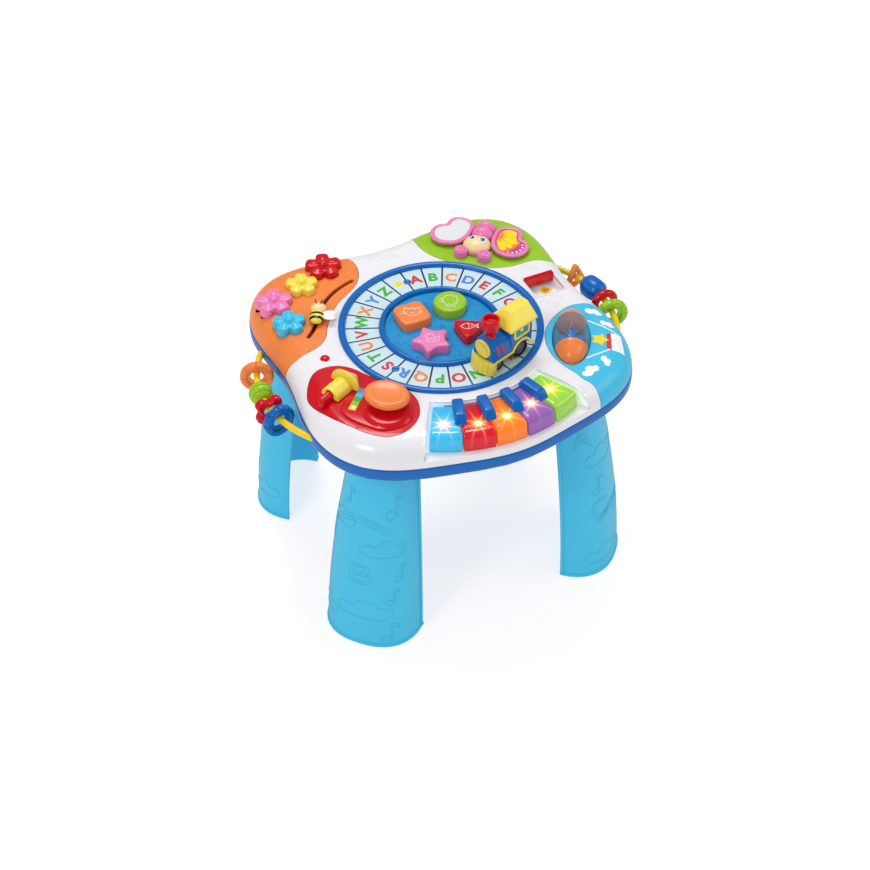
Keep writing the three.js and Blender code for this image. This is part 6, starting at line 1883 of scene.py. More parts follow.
@dataclass
class Spinner:
    """The capsule that spins on its axle over a hollow in the balloon panel."""

    place: Point = (128.65, -87.33)
    height: float = 334.0
    axis_degrees: float = 61.4
    half_length: float = 47.0
    radius: float = 22.0
    near_seam: float = -22.0
    window: Point = (-21.7, 26.7)
    far_seam: float = 27.0
    gap: float = 1.2
    lug: Point = (48.2, 52.2)
    lug_half_width: float = 3.6
    axle_half: float = 48.8
    glass: float = 1.6
    plane_scale: float = 1.25
    bowl_depth: float = 24.5

    @property
    def seat(self) -> Matrix:
        """Return the place of the capsule, with Z laid along its axis."""
        return turned((*self.place, self.height), self.axis_degrees) @ spin(90, "Y")

    def reach(self, along: float, grown: float = 0.0) -> float:
        """Return the capsule's radius at a place along its axis."""
        part = along / (self.half_length + grown)
        return (self.radius + grown) * math.sqrt(max(0.0, 1 - part * part))

    def pocket(self) -> list[Point]:
        """Return the outline of the hollow in the panel."""
        end = self.half_length + self.gap
        side = [(end * math.sin(math.radians(a)), self.reach(end * math.sin(math.radians(a)), self.gap))
                for a in range(-90, 91, 5)]
        outline = side + [(along, -reach) for along, reach in side[-2:0:-1]]
        return shifted(outline, self.place, self.axis_degrees)

    def turned_part(self, profile: Sequence[Point], steps: int = 64) -> Mould:
        """Lathe a profile of radius and place along the spinner's axis."""
        return Mould().lathe(profile, steps).moved(self.seat)

    def cap(self, start: float, end: float) -> list[Point]:
        """Return a cap's side between two places, evenly by angle.

        Args:
            start: Where it starts along the axis.
            end: Where it ends.

        Returns:
            Pairs of radius and place along the axis.
        """
        first, last = math.asin(start / self.half_length), math.asin(end / self.half_length)
        places = [self.half_length * math.sin(first + (last - first) * k / 16) for k in range(17)]
        return [(self.reach(along), along) for along in places]

    def build(self) -> None:
        """Make the caps, the clear window, the plane and what carries them."""
        seam, rim = self.near_seam, self.reach(self.near_seam)
        near = self.cap(-self.half_length, seam - 0.4)
        near += [(near[-1][0] - 0.4, seam), (rim - 1.6, seam), (rim - 1.6, seam - 6), (0, seam - 6)]
        far, lip = self.cap(self.far_seam + 0.4, self.half_length), self.reach(self.far_seam) - 2.0
        far = [(0, self.far_seam + 2), (lip, self.far_seam + 2), (lip, self.far_seam),
               (far[0][0] - 0.4, self.far_seam), *far]
        caps = self.turned_part(near).join(self.turned_part(far))
        axle = self.turned_part(box(0, -self.axle_half, 1.7, self.axle_half), 20)
        piece("spinner_caps", caps.join(axle), ORANGE, "spinner", replaces=["spinner_shell"], sharp=50)
        outer = self.cap(*self.window)
        inner = [(radius - self.glass, along) for radius, along in reversed(outer)]
        glass = self.turned_part(outer + inner + outer[:1])
        seat_plate = self.turned_part([(rim - 1.7, seam - 0.4), (rim - 2.4, seam - 3.0), (0, seam - 3.0)])
        post = self.turned_part([(4.2, seam - 3.0), (3.6, seam + 4.0), (0, seam + 4.0)], 24)
        # The plate's dark teal paints the shade inside the open capsule.
        piece("spinner_plate", seat_plate, INSIDE_SHADE_TEAL, "spinner", sharp=50)
        piece("spinner_post", post, WHITE, "spinner", sharp=50)
        piece("spinner_glass", glass, SMOKE, "spinner", replaces=["spinner_window"], sharp=50)
        self.plane()
        self.hollow()

    def plane(self) -> None:
        """Make the little blue plane inside."""
        hull = Mould().lathe([(1.9, -13), (3.0, -13), (4.6, -9), (5, -4), (4.6, 4), (3.2, 11), (1.9, 13)],
                             32)
        wing = Mould().slab(soften([(-0.2, -13), (3.4, -10), (3.4, 10), (-0.2, 13), (-3.4, 10),
                                    (-3.4, -10)], 1.2),
                            -0.9, 0.9, 0.4, 0.4).moved(spin(90, "Y") @ spin(180, "X")).at(-1.6, 0, -2.5)
        tail = Mould().slab(soften([(0, 0), (5, 0), (5, 4), (2, 5)], 1.2), -0.8, 0.8)
        hull.join(wing, tail.moved(spin(90, "X")).at(-8.5, 0, 8))
        scale = Matrix.Diagonal((*[self.plane_scale] * 3, 1))
        piece("little_plane", hull.moved(self.seat @ scale), BLUE, "spinner", replaces=["spinner_plane"],
              sharp=50)

    def hollow(self) -> None:
        """Make the bowl under the capsule and the two lugs that carry the axle."""
        rings, rim, (x0, y0) = [], grow(self.pocket(), 0.4), self.place
        for back, down in quarter(8):
            scale = max(0.02, 1 - back)
            rings.append([(x0 + (x - x0) * scale, y0 + (y - y0) * scale,
                           DECK_Z - 1.0 - self.bowl_depth * down)
                          for x, y in rim])
        piece("spinner_bowl", Mould().skin(rings, low_cap=False), SKY, sharp=60)
        lugs = Mould()
        for side in (-1, 1):
            near, far = sorted((side * self.lug[0], side * self.lug[1]))
            lug = Mould().slab(soften(box(near, -self.lug_half_width, far, self.lug_half_width), 1.2),
                               DECK_Z - 4, DECK_Z + 0.3, 0.3)
            lugs.join(lug.moved(turned((*self.place, 0), self.axis_degrees)))
        piece("spinner_lugs", lugs, SKY, sharp=50)


@dataclass
class BalloonPrint:
    """The white clouds, ropes and basket on the light blue panel, and a star."""

    clouds: tuple[tuple[Point, float, float], ...] = (
        ((176.5, -54.5), 1.05, -50), ((180.5, -81.0), 0.9, -55), ((145.6, -140.3), 0.85, -100),
        ((120.1, -148.2), 1.2, 12))
    ropes: tuple[tuple[Point, Point], ...] = (((161.7, -67.0), (183.0, -101.0)),
                                              ((127.1, -126.6), (163.3, -124.7)))
    basket: tuple[Point, ...] = ((175.4, -98.9), (186.5, -103.2), (174.6, -134.6), (161.4, -127.0))
    band: tuple[Point, ...] = ((157.4, -120.5), (161.0, -126.6), (175.0, -98.7), (170.4, -98.0))
    rope_width: float = 1.8
    star: Point = (157.5, -104.0)

    def build(self) -> None:
        """Print the panel."""
        puffs = [(-8.5, -4), (-10, -0.5), (-7, 3), (-3.4, 2.6), (-0.8, 6), (3.4, 6.4), (6, 3.4), (9.4, 2.6),
                 (10, -1.4),
                 (6.4, -4.6), (2.4, -3.6), (-2, -6), (-5.6, -5.4)]
        marks = [shifted(spline([(x * scale, y * scale) for x, y in puffs], 4, True), centre, degrees)
                 for centre, scale, degrees in self.clouds]
        marks += [thick_line(rope, self.rope_width) for rope in self.ropes] + [list(self.basket)[::-1]]
        shell = Shell()
        shell.printed("balloon_clouds", marks, 0.12, PRINT_WHITE)
        shell.printed("balloon_star", [soften(star(self.star, 11.5, 6.4, 40), 1.6, 3)], 0.3, PRINT_YELLOW)
        shell.printed("balloon_band", [self.band], 0.2, PRINT_RED)


# Lever panel: mound, rail, arrow, paddle, rainbow strip

@dataclass
class LeverPanel:
    """What stands on the red panel."""

    mound: Point = share((-0.573, -0.531))
    mound_radius: float = 30.0
    mound_rise: float = 6.0
    plateau_rise: float = 2.4
    plateau_shares: tuple[Point, ...] = (
        (-0.47, -0.55), (-0.5, -0.63), (-0.57, -0.66), (-0.65, -0.65), (-0.72, -0.58), (-0.785, -0.47),
        (-0.79, -0.4), (-0.75, -0.36), (-0.68, -0.36), (-0.6, -0.36), (-0.53, -0.38), (-0.48, -0.46))
    paddle: Point = share((-0.554, -0.484))
    paddle_degrees: float = 55.0
    dish_degrees: float = -52.6
    paddle_half: Point = (26.8, 22.6)
    paddle_span: Point = (345.5, 355.5)
    arrow: Point = share((-0.71, -0.242))
    arrow_degrees: float = 27.0
    arrow_half_length: float = 22.0
    head_length: float = 17.0
    shaft_radius: float = 12.5
    head_radius: float = 20.5
    brim: float = 3.0
    tip_radius: float = 2.5
    rail_half_width: float = 5.0
    rail_near: float = -40.0
    rail_far: float = 1.2
    rail_top: float = 343.5
    strip_ends: tuple[Point, Point] = ((-157.5, -93.0), (-131.0, -66.0))
    strip_half: float = 4.3

    def build(self) -> None:
        """Make the raised forms and the moving pieces."""
        self.raised()
        self.make_arrow()
        self.make_paddle()
        self.strip()
        lens = Mould().lathe([(7.5, 328.2), (7.5, 330.2), (5.5, 330.2), (5.5, DECK_Z + 0.4),
                              (4.9, DECK_Z + 1.4),
                              (3.6, DECK_Z + 2.2), (1.8, DECK_Z + 2.7), (POINT, DECK_Z + 2.8)], 40)
        piece("lamp_lens", lens.at(*LENS, 0), RED, replaces=["led_lens"], sharp=50)

    def well(self) -> list[Point]:
        """Return the outline of the opening under the paddle."""
        return shifted(soften(box(-10.5, -6.5, 10.5, 6.5), 2), self.paddle, self.paddle_degrees)

    def raised(self) -> None:
        """Make the mound, the plateau and the rail."""
        mound = Mould().lathe([(self.mound_radius + 0.5, DECK_Z - 0.5), (self.mound_radius, DECK_Z + 0.4),
                               (self.mound_radius - 1.6, DECK_Z + 2.6),
                               (self.mound_radius - 4, DECK_Z + 4.6),
                               (self.mound_radius - 7.5, DECK_Z + 5.7),
                               (self.mound_radius - 12, DECK_Z + self.mound_rise),
                               (POINT, DECK_Z + self.mound_rise)], 72).at(*self.mound, 0)
        edge = spline([share(p) for p in self.plateau_shares], 8, closed=True)
        plateau = Mould().slab(edge, DECK_Z - 0.5, DECK_Z + self.plateau_rise, 1.5)
        limit, well = Shell().cutter(grow(Shell().regions()["lever"], -1.2)), Shell().cutter(self.well())
        for name, mould in (("lever_mound", mound), ("lever_plateau", plateau)):
            mesh = carve(carve(mould.mesh(name), [limit.copy()], "INTERSECT"), [well.copy()])
            piece(name, tidy_mesh(mesh), RED, sharp=50)
        foot = DECK_Z - 0.3
        section = self.arch(self.rail_half_width, self.rail_top - self.rail_half_width, foot)
        rings = [[(along, y * scale, foot + (z - foot) * (0.35 + 0.65 * scale)) for y, z in section]
                 for along, scale in self.round_ends()]
        rail = Mould().skin(rings)
        piece("arrow_rail", rail.moved(turned((*self.arrow, 0), self.arrow_degrees)), RED, sharp=50)

    def round_ends(self) -> list[Point]:
        """Return places along the rail with the width's share, rounded at both ends."""
        places = [(4.0 * back, max(0.05, up)) for back, up in quarter(6)]
        return ([(self.rail_near + back, scale) for back, scale in places]
                + [(self.rail_far - back, scale) for back, scale in reversed(places)])

    def arch(self, half: float, spring: float, foot: float) -> list[Point]:
        """Return an arch's outline across the rail, from foot to foot.

        Args:
            half: Half the arch's width.
            spring: Height at which it starts to curve.
            foot: Height of its feet.

        Returns:
            The outline, across and up.
        """
        crown = [(-half * math.cos(math.radians(a)), spring + half * math.sin(math.radians(a)))
                 for a in range(0, 181, 15)]
        return [(-half, foot), *crown, (half, foot)]

    def make_arrow(self) -> None:
        """Make the arrow: half a barrel with half a cone for its head, hollow underneath."""
        base = LETTER_Z + 2
        half, shaft_end = self.arrow_half_length, self.arrow_half_length - self.head_length
        profile = [(self.shaft_radius - 0.8, -half), (self.shaft_radius, -half + 0.8),
                   (self.shaft_radius, shaft_end - 0.2), (self.head_radius - 0.9, shaft_end),
                   (self.head_radius, shaft_end + 0.7), (self.head_radius, shaft_end + self.brim - 0.7),
                   (self.head_radius - 0.9, shaft_end + self.brim)]
        cone = 8
        for k in range(1, cone + 1):
            part = k / cone
            profile.append((self.head_radius - 0.9 + (self.tip_radius - self.head_radius + 0.9) * part,
                            shaft_end + self.brim + (self.head_length - self.brim + 3.5) * part))
        rings = [[(along, radius * math.cos(math.pi * i / 32), base + radius * math.sin(math.pi * i / 32))
                  for i in range(33)] for radius, along in profile]
        seat = turned((*self.arrow, 0), self.arrow_degrees)
        tunnel = self.arch(self.rail_half_width + 0.8, self.rail_top - 4.2, base - 4)
        cutter = Mould().skin([[(along, y, z) for y, z in tunnel]
                               for along in (-40, 13)]).moved(seat).mesh("cutter")
        mesh = carved("arrow", Mould().skin(rings).moved(seat), cutter)
        piece("arrow_form", mesh, YELLOW, "arrow_body", replaces=["arrow_slider"], sharp=40)

    def make_paddle(self) -> None:
        """Make the paddle with its shallow dish."""
        low, top = self.paddle_span
        seat = turned((*self.paddle, 0), self.dish_degrees)
        levels = ((0.80, low), (0.9, low + 0.7), (0.965, low + 2.2), (1.0, low + 4.8), (0.995, low + 6.4),
                  (0.965, top - 1.8), (0.915, top - 0.6), (0.85, top - 0.1), (0.78, top), (0.70, top - 0.1),
                  (0.60, top - 0.45), (0.5, top - 0.8), (0.38, top - 1.1), (0.2, top - 1.3),
                  (0.05, top - 1.35))
        dish = Mould().skin([[(self.paddle_half[0] * scale * math.cos(TAU * i / 72),
                               self.paddle_half[1] * scale * math.sin(TAU * i / 72), z) for i in range(72)]
                             for scale, z in levels])
        stem = Mould().slab(soften(box(-4, -5.4, 4, 5.4), 1.5), 318, low + 1)
        stem = stem.moved(spin(self.paddle_degrees - self.dish_degrees, "Z"))
        piece("paddle_dish", dish.join(stem).moved(seat), ORANGE, "paddle_body", replaces=["paddle"],
              sharp=60)

    def strip(self) -> None:
        """Print the rainbow strip beside the paddle, with a small arrow at its yellow end."""
        start, end = (Vector(end) for end in self.strip_ends)
        across = Vector((-(end - start).y, (end - start).x)).normalized() * self.strip_half
        z = DECK_Z + self.plateau_rise
        for k, finish in enumerate((PRINT_YELLOW, GREEN, PRINT_GREEN, SKY, PRINT_BLUE)):
            a, b = start.lerp(end, k / 5), start.lerp(end, (k + 1) / 5)
            outline = [tuple(a - across), tuple(b - across), tuple(b + across), tuple(a + across)]
            piece(f"strip_{k}", prism(outline, z, z + 0.2), finish)
        head = [(-2.6, 0), (0.4, -2.6), (0.4, -1), (3, -1), (3, 1), (0.4, 1), (0.4, 2.6)]
        piece("strip_arrow", prism(shifted(head, tuple(start.lerp(end, 0.12)), 45.5), z + 0.1, z + 0.35),
              PRINT_WHITE)


# Piano

@dataclass
class Piano:
    """Five lit keys and the comb of sharps."""

    middle: float = -91.2
    pitch: float = 11.5
    rear: float = 142.0
    front: float = 197.0
    gap: float = 0.9
    low: float = 311.5
    edge: float = 3.8
    front_roll: float = 9.0
    front_slope: float = 1.8
    sharps: tuple[float, ...] = (-108.45, -96.95, -85.45, -73.95)
    sharp_span: Point = (141.0, 177.0)
    sharp_half_width: float = 6.6
    sharp_top: float = 343.5
    bar_span: Point = (136.4, 139.6)
    keys: dict[str, tuple[tuple[int, int, int], Point]] = field(default_factory=lambda: {
        "blue": ((60, 186, 232), (-73.4, -158.3)), "red": ((214, 20, 44), (-37.3, -173.1)),
        "orange": ((250, 128, 40), (-2.4, -175.9)), "purple": ((148, 96, 176), (31.7, -168.8)),
        "green": ((150, 208, 66), (63.3, -156.1))})

    def outline(self, middle: float, inset: float, front: float) -> list[Point]:
        """Return a key's outline at one level, with its front drawn back to a radius.

        Args:
            middle: The angle of its middle.
            inset: How far it is moved in.
            front: Radius of the front side.

        Returns:
            The outline.
        """
        def half(radius: float) -> float:
            """Return half a key's angle at a radius."""
            return self.pitch / 2 - math.degrees((self.gap / 2 + inset) / radius)
        rear = self.rear + inset
        drawn = (arc((0, 0), front, middle - half(front), middle + half(front), 16)
                 + arc((0, 0), rear, middle + half(rear), middle - half(rear), 10))
        return soften_corners(drawn, 4.5)

    def cap(self, middle: float) -> Mould:
        """Make a key with a sloped front that rolls over into its top.

        Args:
            middle: The angle of its middle.

        Returns:
            The key.
        """
        rings = [flat_path(self.outline(middle, 0, self.front), self.low),
                 flat_path(self.outline(middle, 0, self.front - self.front_slope),
                           DECK_Z - self.front_roll)]
        for _, up in quarter(10)[1:]:
            rise = self.front_roll * up
            roll = self.front_roll - math.sqrt(max(0.0, self.front_roll ** 2 - rise ** 2))
            high = max(0.0, rise - self.front_roll + self.edge)
            inset = self.edge - math.sqrt(max(0.0, self.edge ** 2 - high ** 2))
            rings.append(flat_path(self.outline(middle, inset, self.front - self.front_slope - roll),
                                   DECK_Z - self.front_roll + rise))
        return Mould().skin(rings)

    def build(self) -> None:
        """Make the keys, the sharps and their bar."""
        for i, (name, (colour, lamp)) in enumerate(self.keys.items()):
            slot = {"blue": "sky_plastic"}.get(name, f"{name}_plastic")
            finish = Lit(f"{name} lit key", colour, slot, 0.14, soak=0.3, coat=0.8,
                         lamp=(lamp[0], lamp[1] + RING_SHIFT_Y, DECK_Z))
            piece(f"{name}_key_cap", self.cap(self.middle + (i - 2) * self.pitch), finish, f"{name}_key",
                  replaces=[f"key_{name}"], sharp=50)
        self.comb()

    def comb(self) -> None:
        """Make the four sharps with their sloped fronts and the bar behind them."""
        mould = Mould()
        near, far = self.sharp_span
        half = self.sharp_half_width
        for degrees in self.sharps:
            levels = [(0.0, DECK_Z + 0.8), (0.0, self.sharp_top - 2.6), (0.3, self.sharp_top - 1.5),
                      (0.9, self.sharp_top - 0.6), (1.9, self.sharp_top - 0.1), (2.6, self.sharp_top)]
            rings = []
            for inset, z in levels:
                slope = max(0.0, z - DECK_Z - 1) * 0.75
                outline = soften(box(near + inset, -half + inset, far - inset - slope, half - inset), 2.6,
                                 6)
                rings.append(flat_path(shifted(outline, (0, 0), degrees), z))
            mould.join(Mould().skin(rings))
        ends = self.sharps[0] - 6, self.sharps[-1] + 6
        bar = arc((0, 0), self.bar_span[1], *ends, 48) + arc((0, 0), self.bar_span[0], *ends[::-1], 48)
        mould.join(Mould().slab(bar, 313, DECK_Z - 5, 0.8))
        for degrees in self.sharps:
            mould.join(prism(shifted(box(137, -3, 141.1, 3), (0, 0), degrees), DECK_Z - 5.5, DECK_Z + 2))
        piece("sharps", mould, BLUE, replaces=["sharp_comb"], sharp=50)


def soften_corners(outline: Sequence[Point], back: float, steps: int = 5) -> list[Point]:
    """Round only the true corners of an outline.

    Args:
        outline: The outline.
        back: How far a corner is cut back.
        steps: How many steps it is drawn in.

    Returns:
        The rounded outline.
    """
    drawn = []
    for i, point in enumerate(outline):
        here = Vector(point)
        before = Vector(outline[i - 1]) - here
        after = Vector(outline[(i + 1) % len(outline)]) - here
        if before.angle(after) > math.radians(150):
            drawn.append(point)
            continue
        first = here + before.normalized() * min(back, before.length * 0.9)
        last = here + after.normalized() * min(back, after.length * 0.9)
        drawn += rounded(first, here, last, steps)
    return drawn


# Train

@dataclass
class Train:
    """The locomotive on the ring, built along its heading and set on the track."""

    azimuth_degrees: float = -161.0
    lateral: float = 89.5
    board_top: float = 350.5
    board_thickness: float = 3.2
    board_half_width: float = 17.4
    rear_axle: Point = (-27.0, 344.8)
    rear_radius: float = 12.0
    front_axle: Point = (8.0, 340.0)
    front_radius: float = 7.2
    wheel_outside: float = 14.5
    wheel_thickness: float = 4.6
    fender_radius: float = 16.2
    tail: Point = (-49.0, 343.5)
    boiler_radius: float = 14.2
    boiler_z: float = 364.3
    nose: float = 20.5
    foot_half_width: float = 16.6
    disc_radius: float = 11.8
    cab: Point = (-45.0, -8.5)
    cab_top: float = 382.5
    catcher_along: float = 19.0
    catcher_half_width: float = 18.4
    catcher_bulge: float = 6.5
    catcher_slope: float = 3.0
    catcher_rib: float = 0.9
    catcher_low: float = 334.1
    chimney: float = 9.0

    @property
    def seat(self) -> Matrix:
        """Return the train's turn on the ring, from its own frame."""
        return turned((0, 0, 0), self.azimuth_degrees) @ Matrix.Translation((0, self.lateral, 0))

    @property
    def world_seat(self) -> Matrix:
        """Return the seat for a mesh that is already in metres."""
        shift = Matrix.Translation((0, RING_SHIFT_Y * MM, 0))
        scaled = self.seat.copy()
        scaled.translation = self.seat.translation * MM
        return shift @ scaled @ shift.inverted()

    def across(self, outline: Sequence[Point], near: float, far: float, edge: float = 0.0) -> Mould:
        """Extrude a side view (along, z) across the train, with rounded outer edges."""
        flat = Mould().slab(outline, near, far, edge, edge)
        return Mould([(x, depth, height) for x, height, depth in flat.corners], flat.faces)

    def board_line(self, lift: float) -> list[Point]:
        """Return the running board's top line from the nose to the tail.

        Args:
            lift: How far above the board the line runs.

        Returns:
            The line, along and up.
        """
        radius = self.fender_radius + lift
        rise = self.board_top + lift - self.rear_axle[1]
        meet = min(math.degrees(math.asin(min(0.99, rise / radius))), 60)
        return [(self.catcher_along, self.board_top + lift), *arc(self.rear_axle, radius, meet, 165, 24),
                (self.tail[0], self.tail[1] + lift)]

    def build(self) -> None:
        """Make every piece of the train."""
        self.chassis()
        self.body()
        self.roof()
        self.stack()
        self.wheels()

    def chassis(self) -> None:
        """Make the running board with its fenders, the spine and the catcher."""
        outline = self.board_line(0) + self.board_line(-self.board_thickness)[::-1]
        mould = self.across(outline, -self.board_half_width, self.board_half_width, 0.8)
        spine = box(self.rear_axle[0] - 6, 337.5, self.catcher_along, 349.2)
        mould.join(self.across(spine, -7.5, 7.5))
        mould.join(self.guard())
        piece("train_frame", mould.moved(self.seat), YELLOW, "train", replaces=["train_chassis"], sharp=45)

    def guard(self) -> Mould:
        """Make the bowed, ribbed catcher."""
        rows, half = [], self.catcher_half_width

        def bow(y: float) -> float:
            """Return how far the catcher stands forward at a place across it."""
            return self.catcher_bulge * (1 - (y / half) ** 2)
        for part, z in ((1.0, self.catcher_low), (0.82, 338), (0.6, 342), (0.3, 346.5), (0.05, 349.2),
                        (0.0, self.board_top)):
            row = []
            for i in range(73):
                y = half * (-1 + 2 * i / 72)
                rib = self.catcher_rib * min(1.0, abs(math.sin(math.pi * 3 * (1 + y / half))) * 2.2)
                row.append((self.catcher_along + self.catcher_slope * part + bow(y)
                            + (rib if part > 0 else 0), y, z))
            row += [(self.catcher_along - 2.6 + bow(y) * 0.8, y, z)
                    for y in (half, half / 2, 0, -half / 2, -half)]
            rows.append(row)
        return Mould().skin(rows)

    def body(self) -> None:
        """Make the boiler and cab, its front disc and stripes."""
        sole = self.board_top - 1.0
        foot, centre_z = self.foot_half_width, 360.0
        section = [*arc((0, self.boiler_z), self.boiler_radius, 0, 180, 36),
                   (-foot + 0.6, sole + 3), (-foot, sole), (foot, sole), (foot - 0.6, sole + 3)]
        rings = []
        for along, inset in ((self.cab[1] - 1, 0.0), (self.nose - 1.4, 0.0), (self.nose - 0.4, 0.4),
                             (self.nose, 1.4)):
            rings.append([(along, y * (1 - inset / 14),
                           z if z <= sole else centre_z + (z - centre_z) * (1 - inset / 14))
                          for y, z in section])
        boiler = Mould().skin(rings)
        cab = Mould().slab(soften([(self.cab[0], -16), (self.cab[1] + 0.4, -16), (self.cab[1] + 0.4, 16),
                                   (self.cab[0], 16)], 2.4),
                           sole, self.cab_top)
        line = self.board_line(0.35)
        low = self.across([(line[-1][0] - 4, 320), (40, 320), (40, self.board_top + 0.35), *line[1:],
                           (self.tail[0] - 4, self.tail[1])], -30, 30)
        for name, mould, replaced in (("train_boiler", boiler, ["train_body"]), ("train_cab", cab, [])):
            mesh = carve(mould.mesh("train body"), [low.mesh("cutter")])
            mesh.transform(self.world_seat)
            piece(name, tidy_mesh(mesh), BLUE, "train", replaces=replaced, sharp=40)
        face = Mould().lathe([(0.001, 0), (self.disc_radius - 0.4, 0), (self.disc_radius, 0.5),
                              (self.disc_radius, 1.8),
                              (self.disc_radius - 0.6, 2.3), (self.disc_radius - 2.4, 2.4),
                              (self.disc_radius - 3.0, 1.9),
                              (POINT, 1.9)], 56)
        nose = Matrix.Translation((self.nose - 0.3, 0, self.boiler_z)) @ spin(90, "Y")
        piece("train_lamp_disc", face.moved(self.seat @ nose), YELLOW, "train", sharp=40)
        self.stripes()

    def stripes(self) -> None:
        """Lay two slanted red stripes on each side of the boiler."""
        mould, skin, width, share_in = Mould(), self.boiler_radius + 0.35, 2.6, 0.96
        for side in (-1, 1):
            for start in (0.0, 8.0):
                rings = []
                for k in range(9):
                    degrees = -38 + 62 * k / 8
                    x = start + 3.4 * k / 8
                    z = self.boiler_z + skin * math.sin(math.radians(degrees))
                    foot = max(0.0, (self.boiler_z - z) / 14) * (self.foot_half_width - self.boiler_radius)
                    y = side * (skin * math.cos(math.radians(max(degrees, 0))) + foot)
                    inner_y, inner_z = y * share_in, self.boiler_z + (z - self.boiler_z) * share_in
                    rings.append([(x, y, z), (x + width, y, z), (x + width, inner_y, inner_z),
                                  (x, inner_y, inner_z)])
                mould.join(Mould().skin(rings))
        piece("train_stripes", mould.moved(self.seat), PRINT_RED, "train", sharp=50)

    def roof(self) -> None:
        """Make the hipped roof with its soft edges and the framed side windows."""
        rear, front, half = -49.5, -4.5, 20.0
        low, eave, ridge_z, hip, ridge_half = 381.2, 3.4, 398.3, 13.0, 6.5
        rings = [flat_path(soften(box(rear + 0.4, -half + 0.4, front - 0.4, half - 0.4), 2.0, 6), low)]
        rings += [flat_path(soften(box(rear, -half, front, half), 2.2, 6), z)
                  for z in (low + 0.6, low + eave - 0.8)]
        for k in range(13):
            part = k / 12
            front_edge, y = front - 0.6 - (hip - 0.6) * part, half - 0.6 + (ridge_half - half + 0.6) * part
            top = soften(box(rear + 0.6 + 0.4 * part, -y, front_edge, y), 2.2 + 2.2 * part, 6)
            rings.append(flat_path(top, low + eave + (ridge_z - low - eave) * part ** 0.92))
        rings.append(flat_path(grow(top, -1.0), ridge_z))
        mould = Mould().skin(rings)
        sill, head = 365.0, 381.4
        for side in (-1, 1):
            frame_line = soften(box(-39, sill, -13, head), 4.5, 6)
            inner = soften(box(-36.2, sill + 2.8, -15.8, head - 1.6), 3.4, 6)
            y0, y1 = side * 15.9, side * 17.4
            rings = [[(x, y, z) for x, z in line] for line, y in (
                (frame_line, y0), (frame_line, y1 - side * 0.4), (grow(frame_line, -0.4), y1),
                (grow(inner, 0.4), y1),
                (inner, y1 - side * 0.4), (inner, y0 + side * 0.5))]
            mould.join(Mould().skin(rings))
        piece("train_top", mould.moved(self.seat), YELLOW, "train", replaces=["train_roof"], sharp=40)
        self.window_prints(sill)

    def window_prints(self, sill: float) -> None:
        """Print a small generic picture, a star over a hill, in each side window.

        Args:
            sill: Height of the windows' lower edge.
        """
        pane = soften(box(-36, sill + 3, -16, 379.6), 3.2, 6)
        hill = [(-36, sill + 3.6)] + [(-36 + 20 * k / 12, sill + 6.4 + 2.4 * math.sin(math.pi * k / 12))
                                      for k in range(13)] + [(-16, sill + 3.6)]
        for name, outline, finish, low, high in (
                ("skies", pane, PRINT_BLUE, 0, 0.1), ("hills", hill, PRINT_GREEN, 0.05, 0.2),
                ("stars", star((-26, 374.8), 3.2, 1.5), PRINT_WHITE, 0.05, 0.25)):
            pair = Mould()
            for side in (-1, 1):
                pair.join(Mould().skin([[(x, side * (16.45 + out), z) for x, z in outline]
                                        for out in (low, high)]))
            piece(f"train_window_{name}", pair.moved(self.seat), finish, "train")

    def stack(self) -> None:
        """Make the flared chimney with its bowl."""
        profile = [(5.4, 376.6), (4.9, 379), (5.4, 381.6), (6.8, 384.4), (8.6, 387), (10.0, 389),
                   (10.5, 391), (10.5, 400.6),
                   (10.1, 401.8), (9.3, 402.5), (8.2, 402.4), (7.4, 401.6), (7.0, 400.0), (6.6, 397.4),
                   (POINT, 396.6)]
        stack = Mould().lathe(profile, 56).at(self.chimney, 0, 0)
        foot = Mould().lathe([(6.6, 376.4), (6.8, 377.6), (6.2, 379.2), (5.0, 380)], 48).at(self.chimney, 0,
                                                                                            0)
        piece("train_stack", stack.join(foot).moved(self.seat), RED, "train", replaces=["train_chimney"],
              sharp=50)

    def wheels(self) -> None:
        """Make the wheels, their hubs and axles."""
        for name, (along, z), radius, body in (("rear", self.rear_axle, self.rear_radius, "rear_wheels"),
                                               ("front", self.front_axle, self.front_radius,
                                                "front_wheels")):
            tyres, hubs = Mould(), Mould()
            out, rear = self.wheel_outside, self.wheel_outside - self.wheel_thickness
            tyre = [(radius * 0.3, rear), (radius - 0.6, rear), (radius, rear + 0.6), (radius, out - 0.9),
                    (radius - 0.5, out - 0.2), (radius * 0.84, out), (radius * 0.74, out - 0.3),
                    (radius * 0.7, out - 1.1), (radius * 0.3, out - 1.1), (radius * 0.3, rear)]
            hub = [(radius * 0.62, out - 1.2), (radius * 0.6, out - 0.5), (radius * 0.36, out - 0.1),
                   (radius * 0.3, out + 0.3), (POINT, out + 0.5)]
            for side in (-1, 1):
                turn = Matrix.Translation((along, 0, z)) @ spin(side * -90, "X")
                tyres.join(Mould().lathe(tyre, 48).moved(turn))
                hubs.join(Mould().lathe(hub, 40).moved(turn))
                if radius > 10:
                    studs = [Mould().ball((0.9, 0.9, 0.9),
                                          (*around((0, 0), radius * 0.49, 60 * k), out - 0.3), 10)
                             for k in range(6)]
                    hubs.join(*[stud.moved(turn) for stud in studs])
            axle = Mould().lathe([(1.8, -12), (1.8, 12)], 16).moved(spin(90, "X")).at(along, 0, z)
            piece(f"{name}_tyres", tyres.join(axle).moved(self.seat), BLACK, body,
                  replaces=[f"train_{name}_wheels"], sharp=45)
            piece(f"{name}_hubs", hubs.moved(self.seat), GREY, body, sharp=45)


# Carry handles and their beads

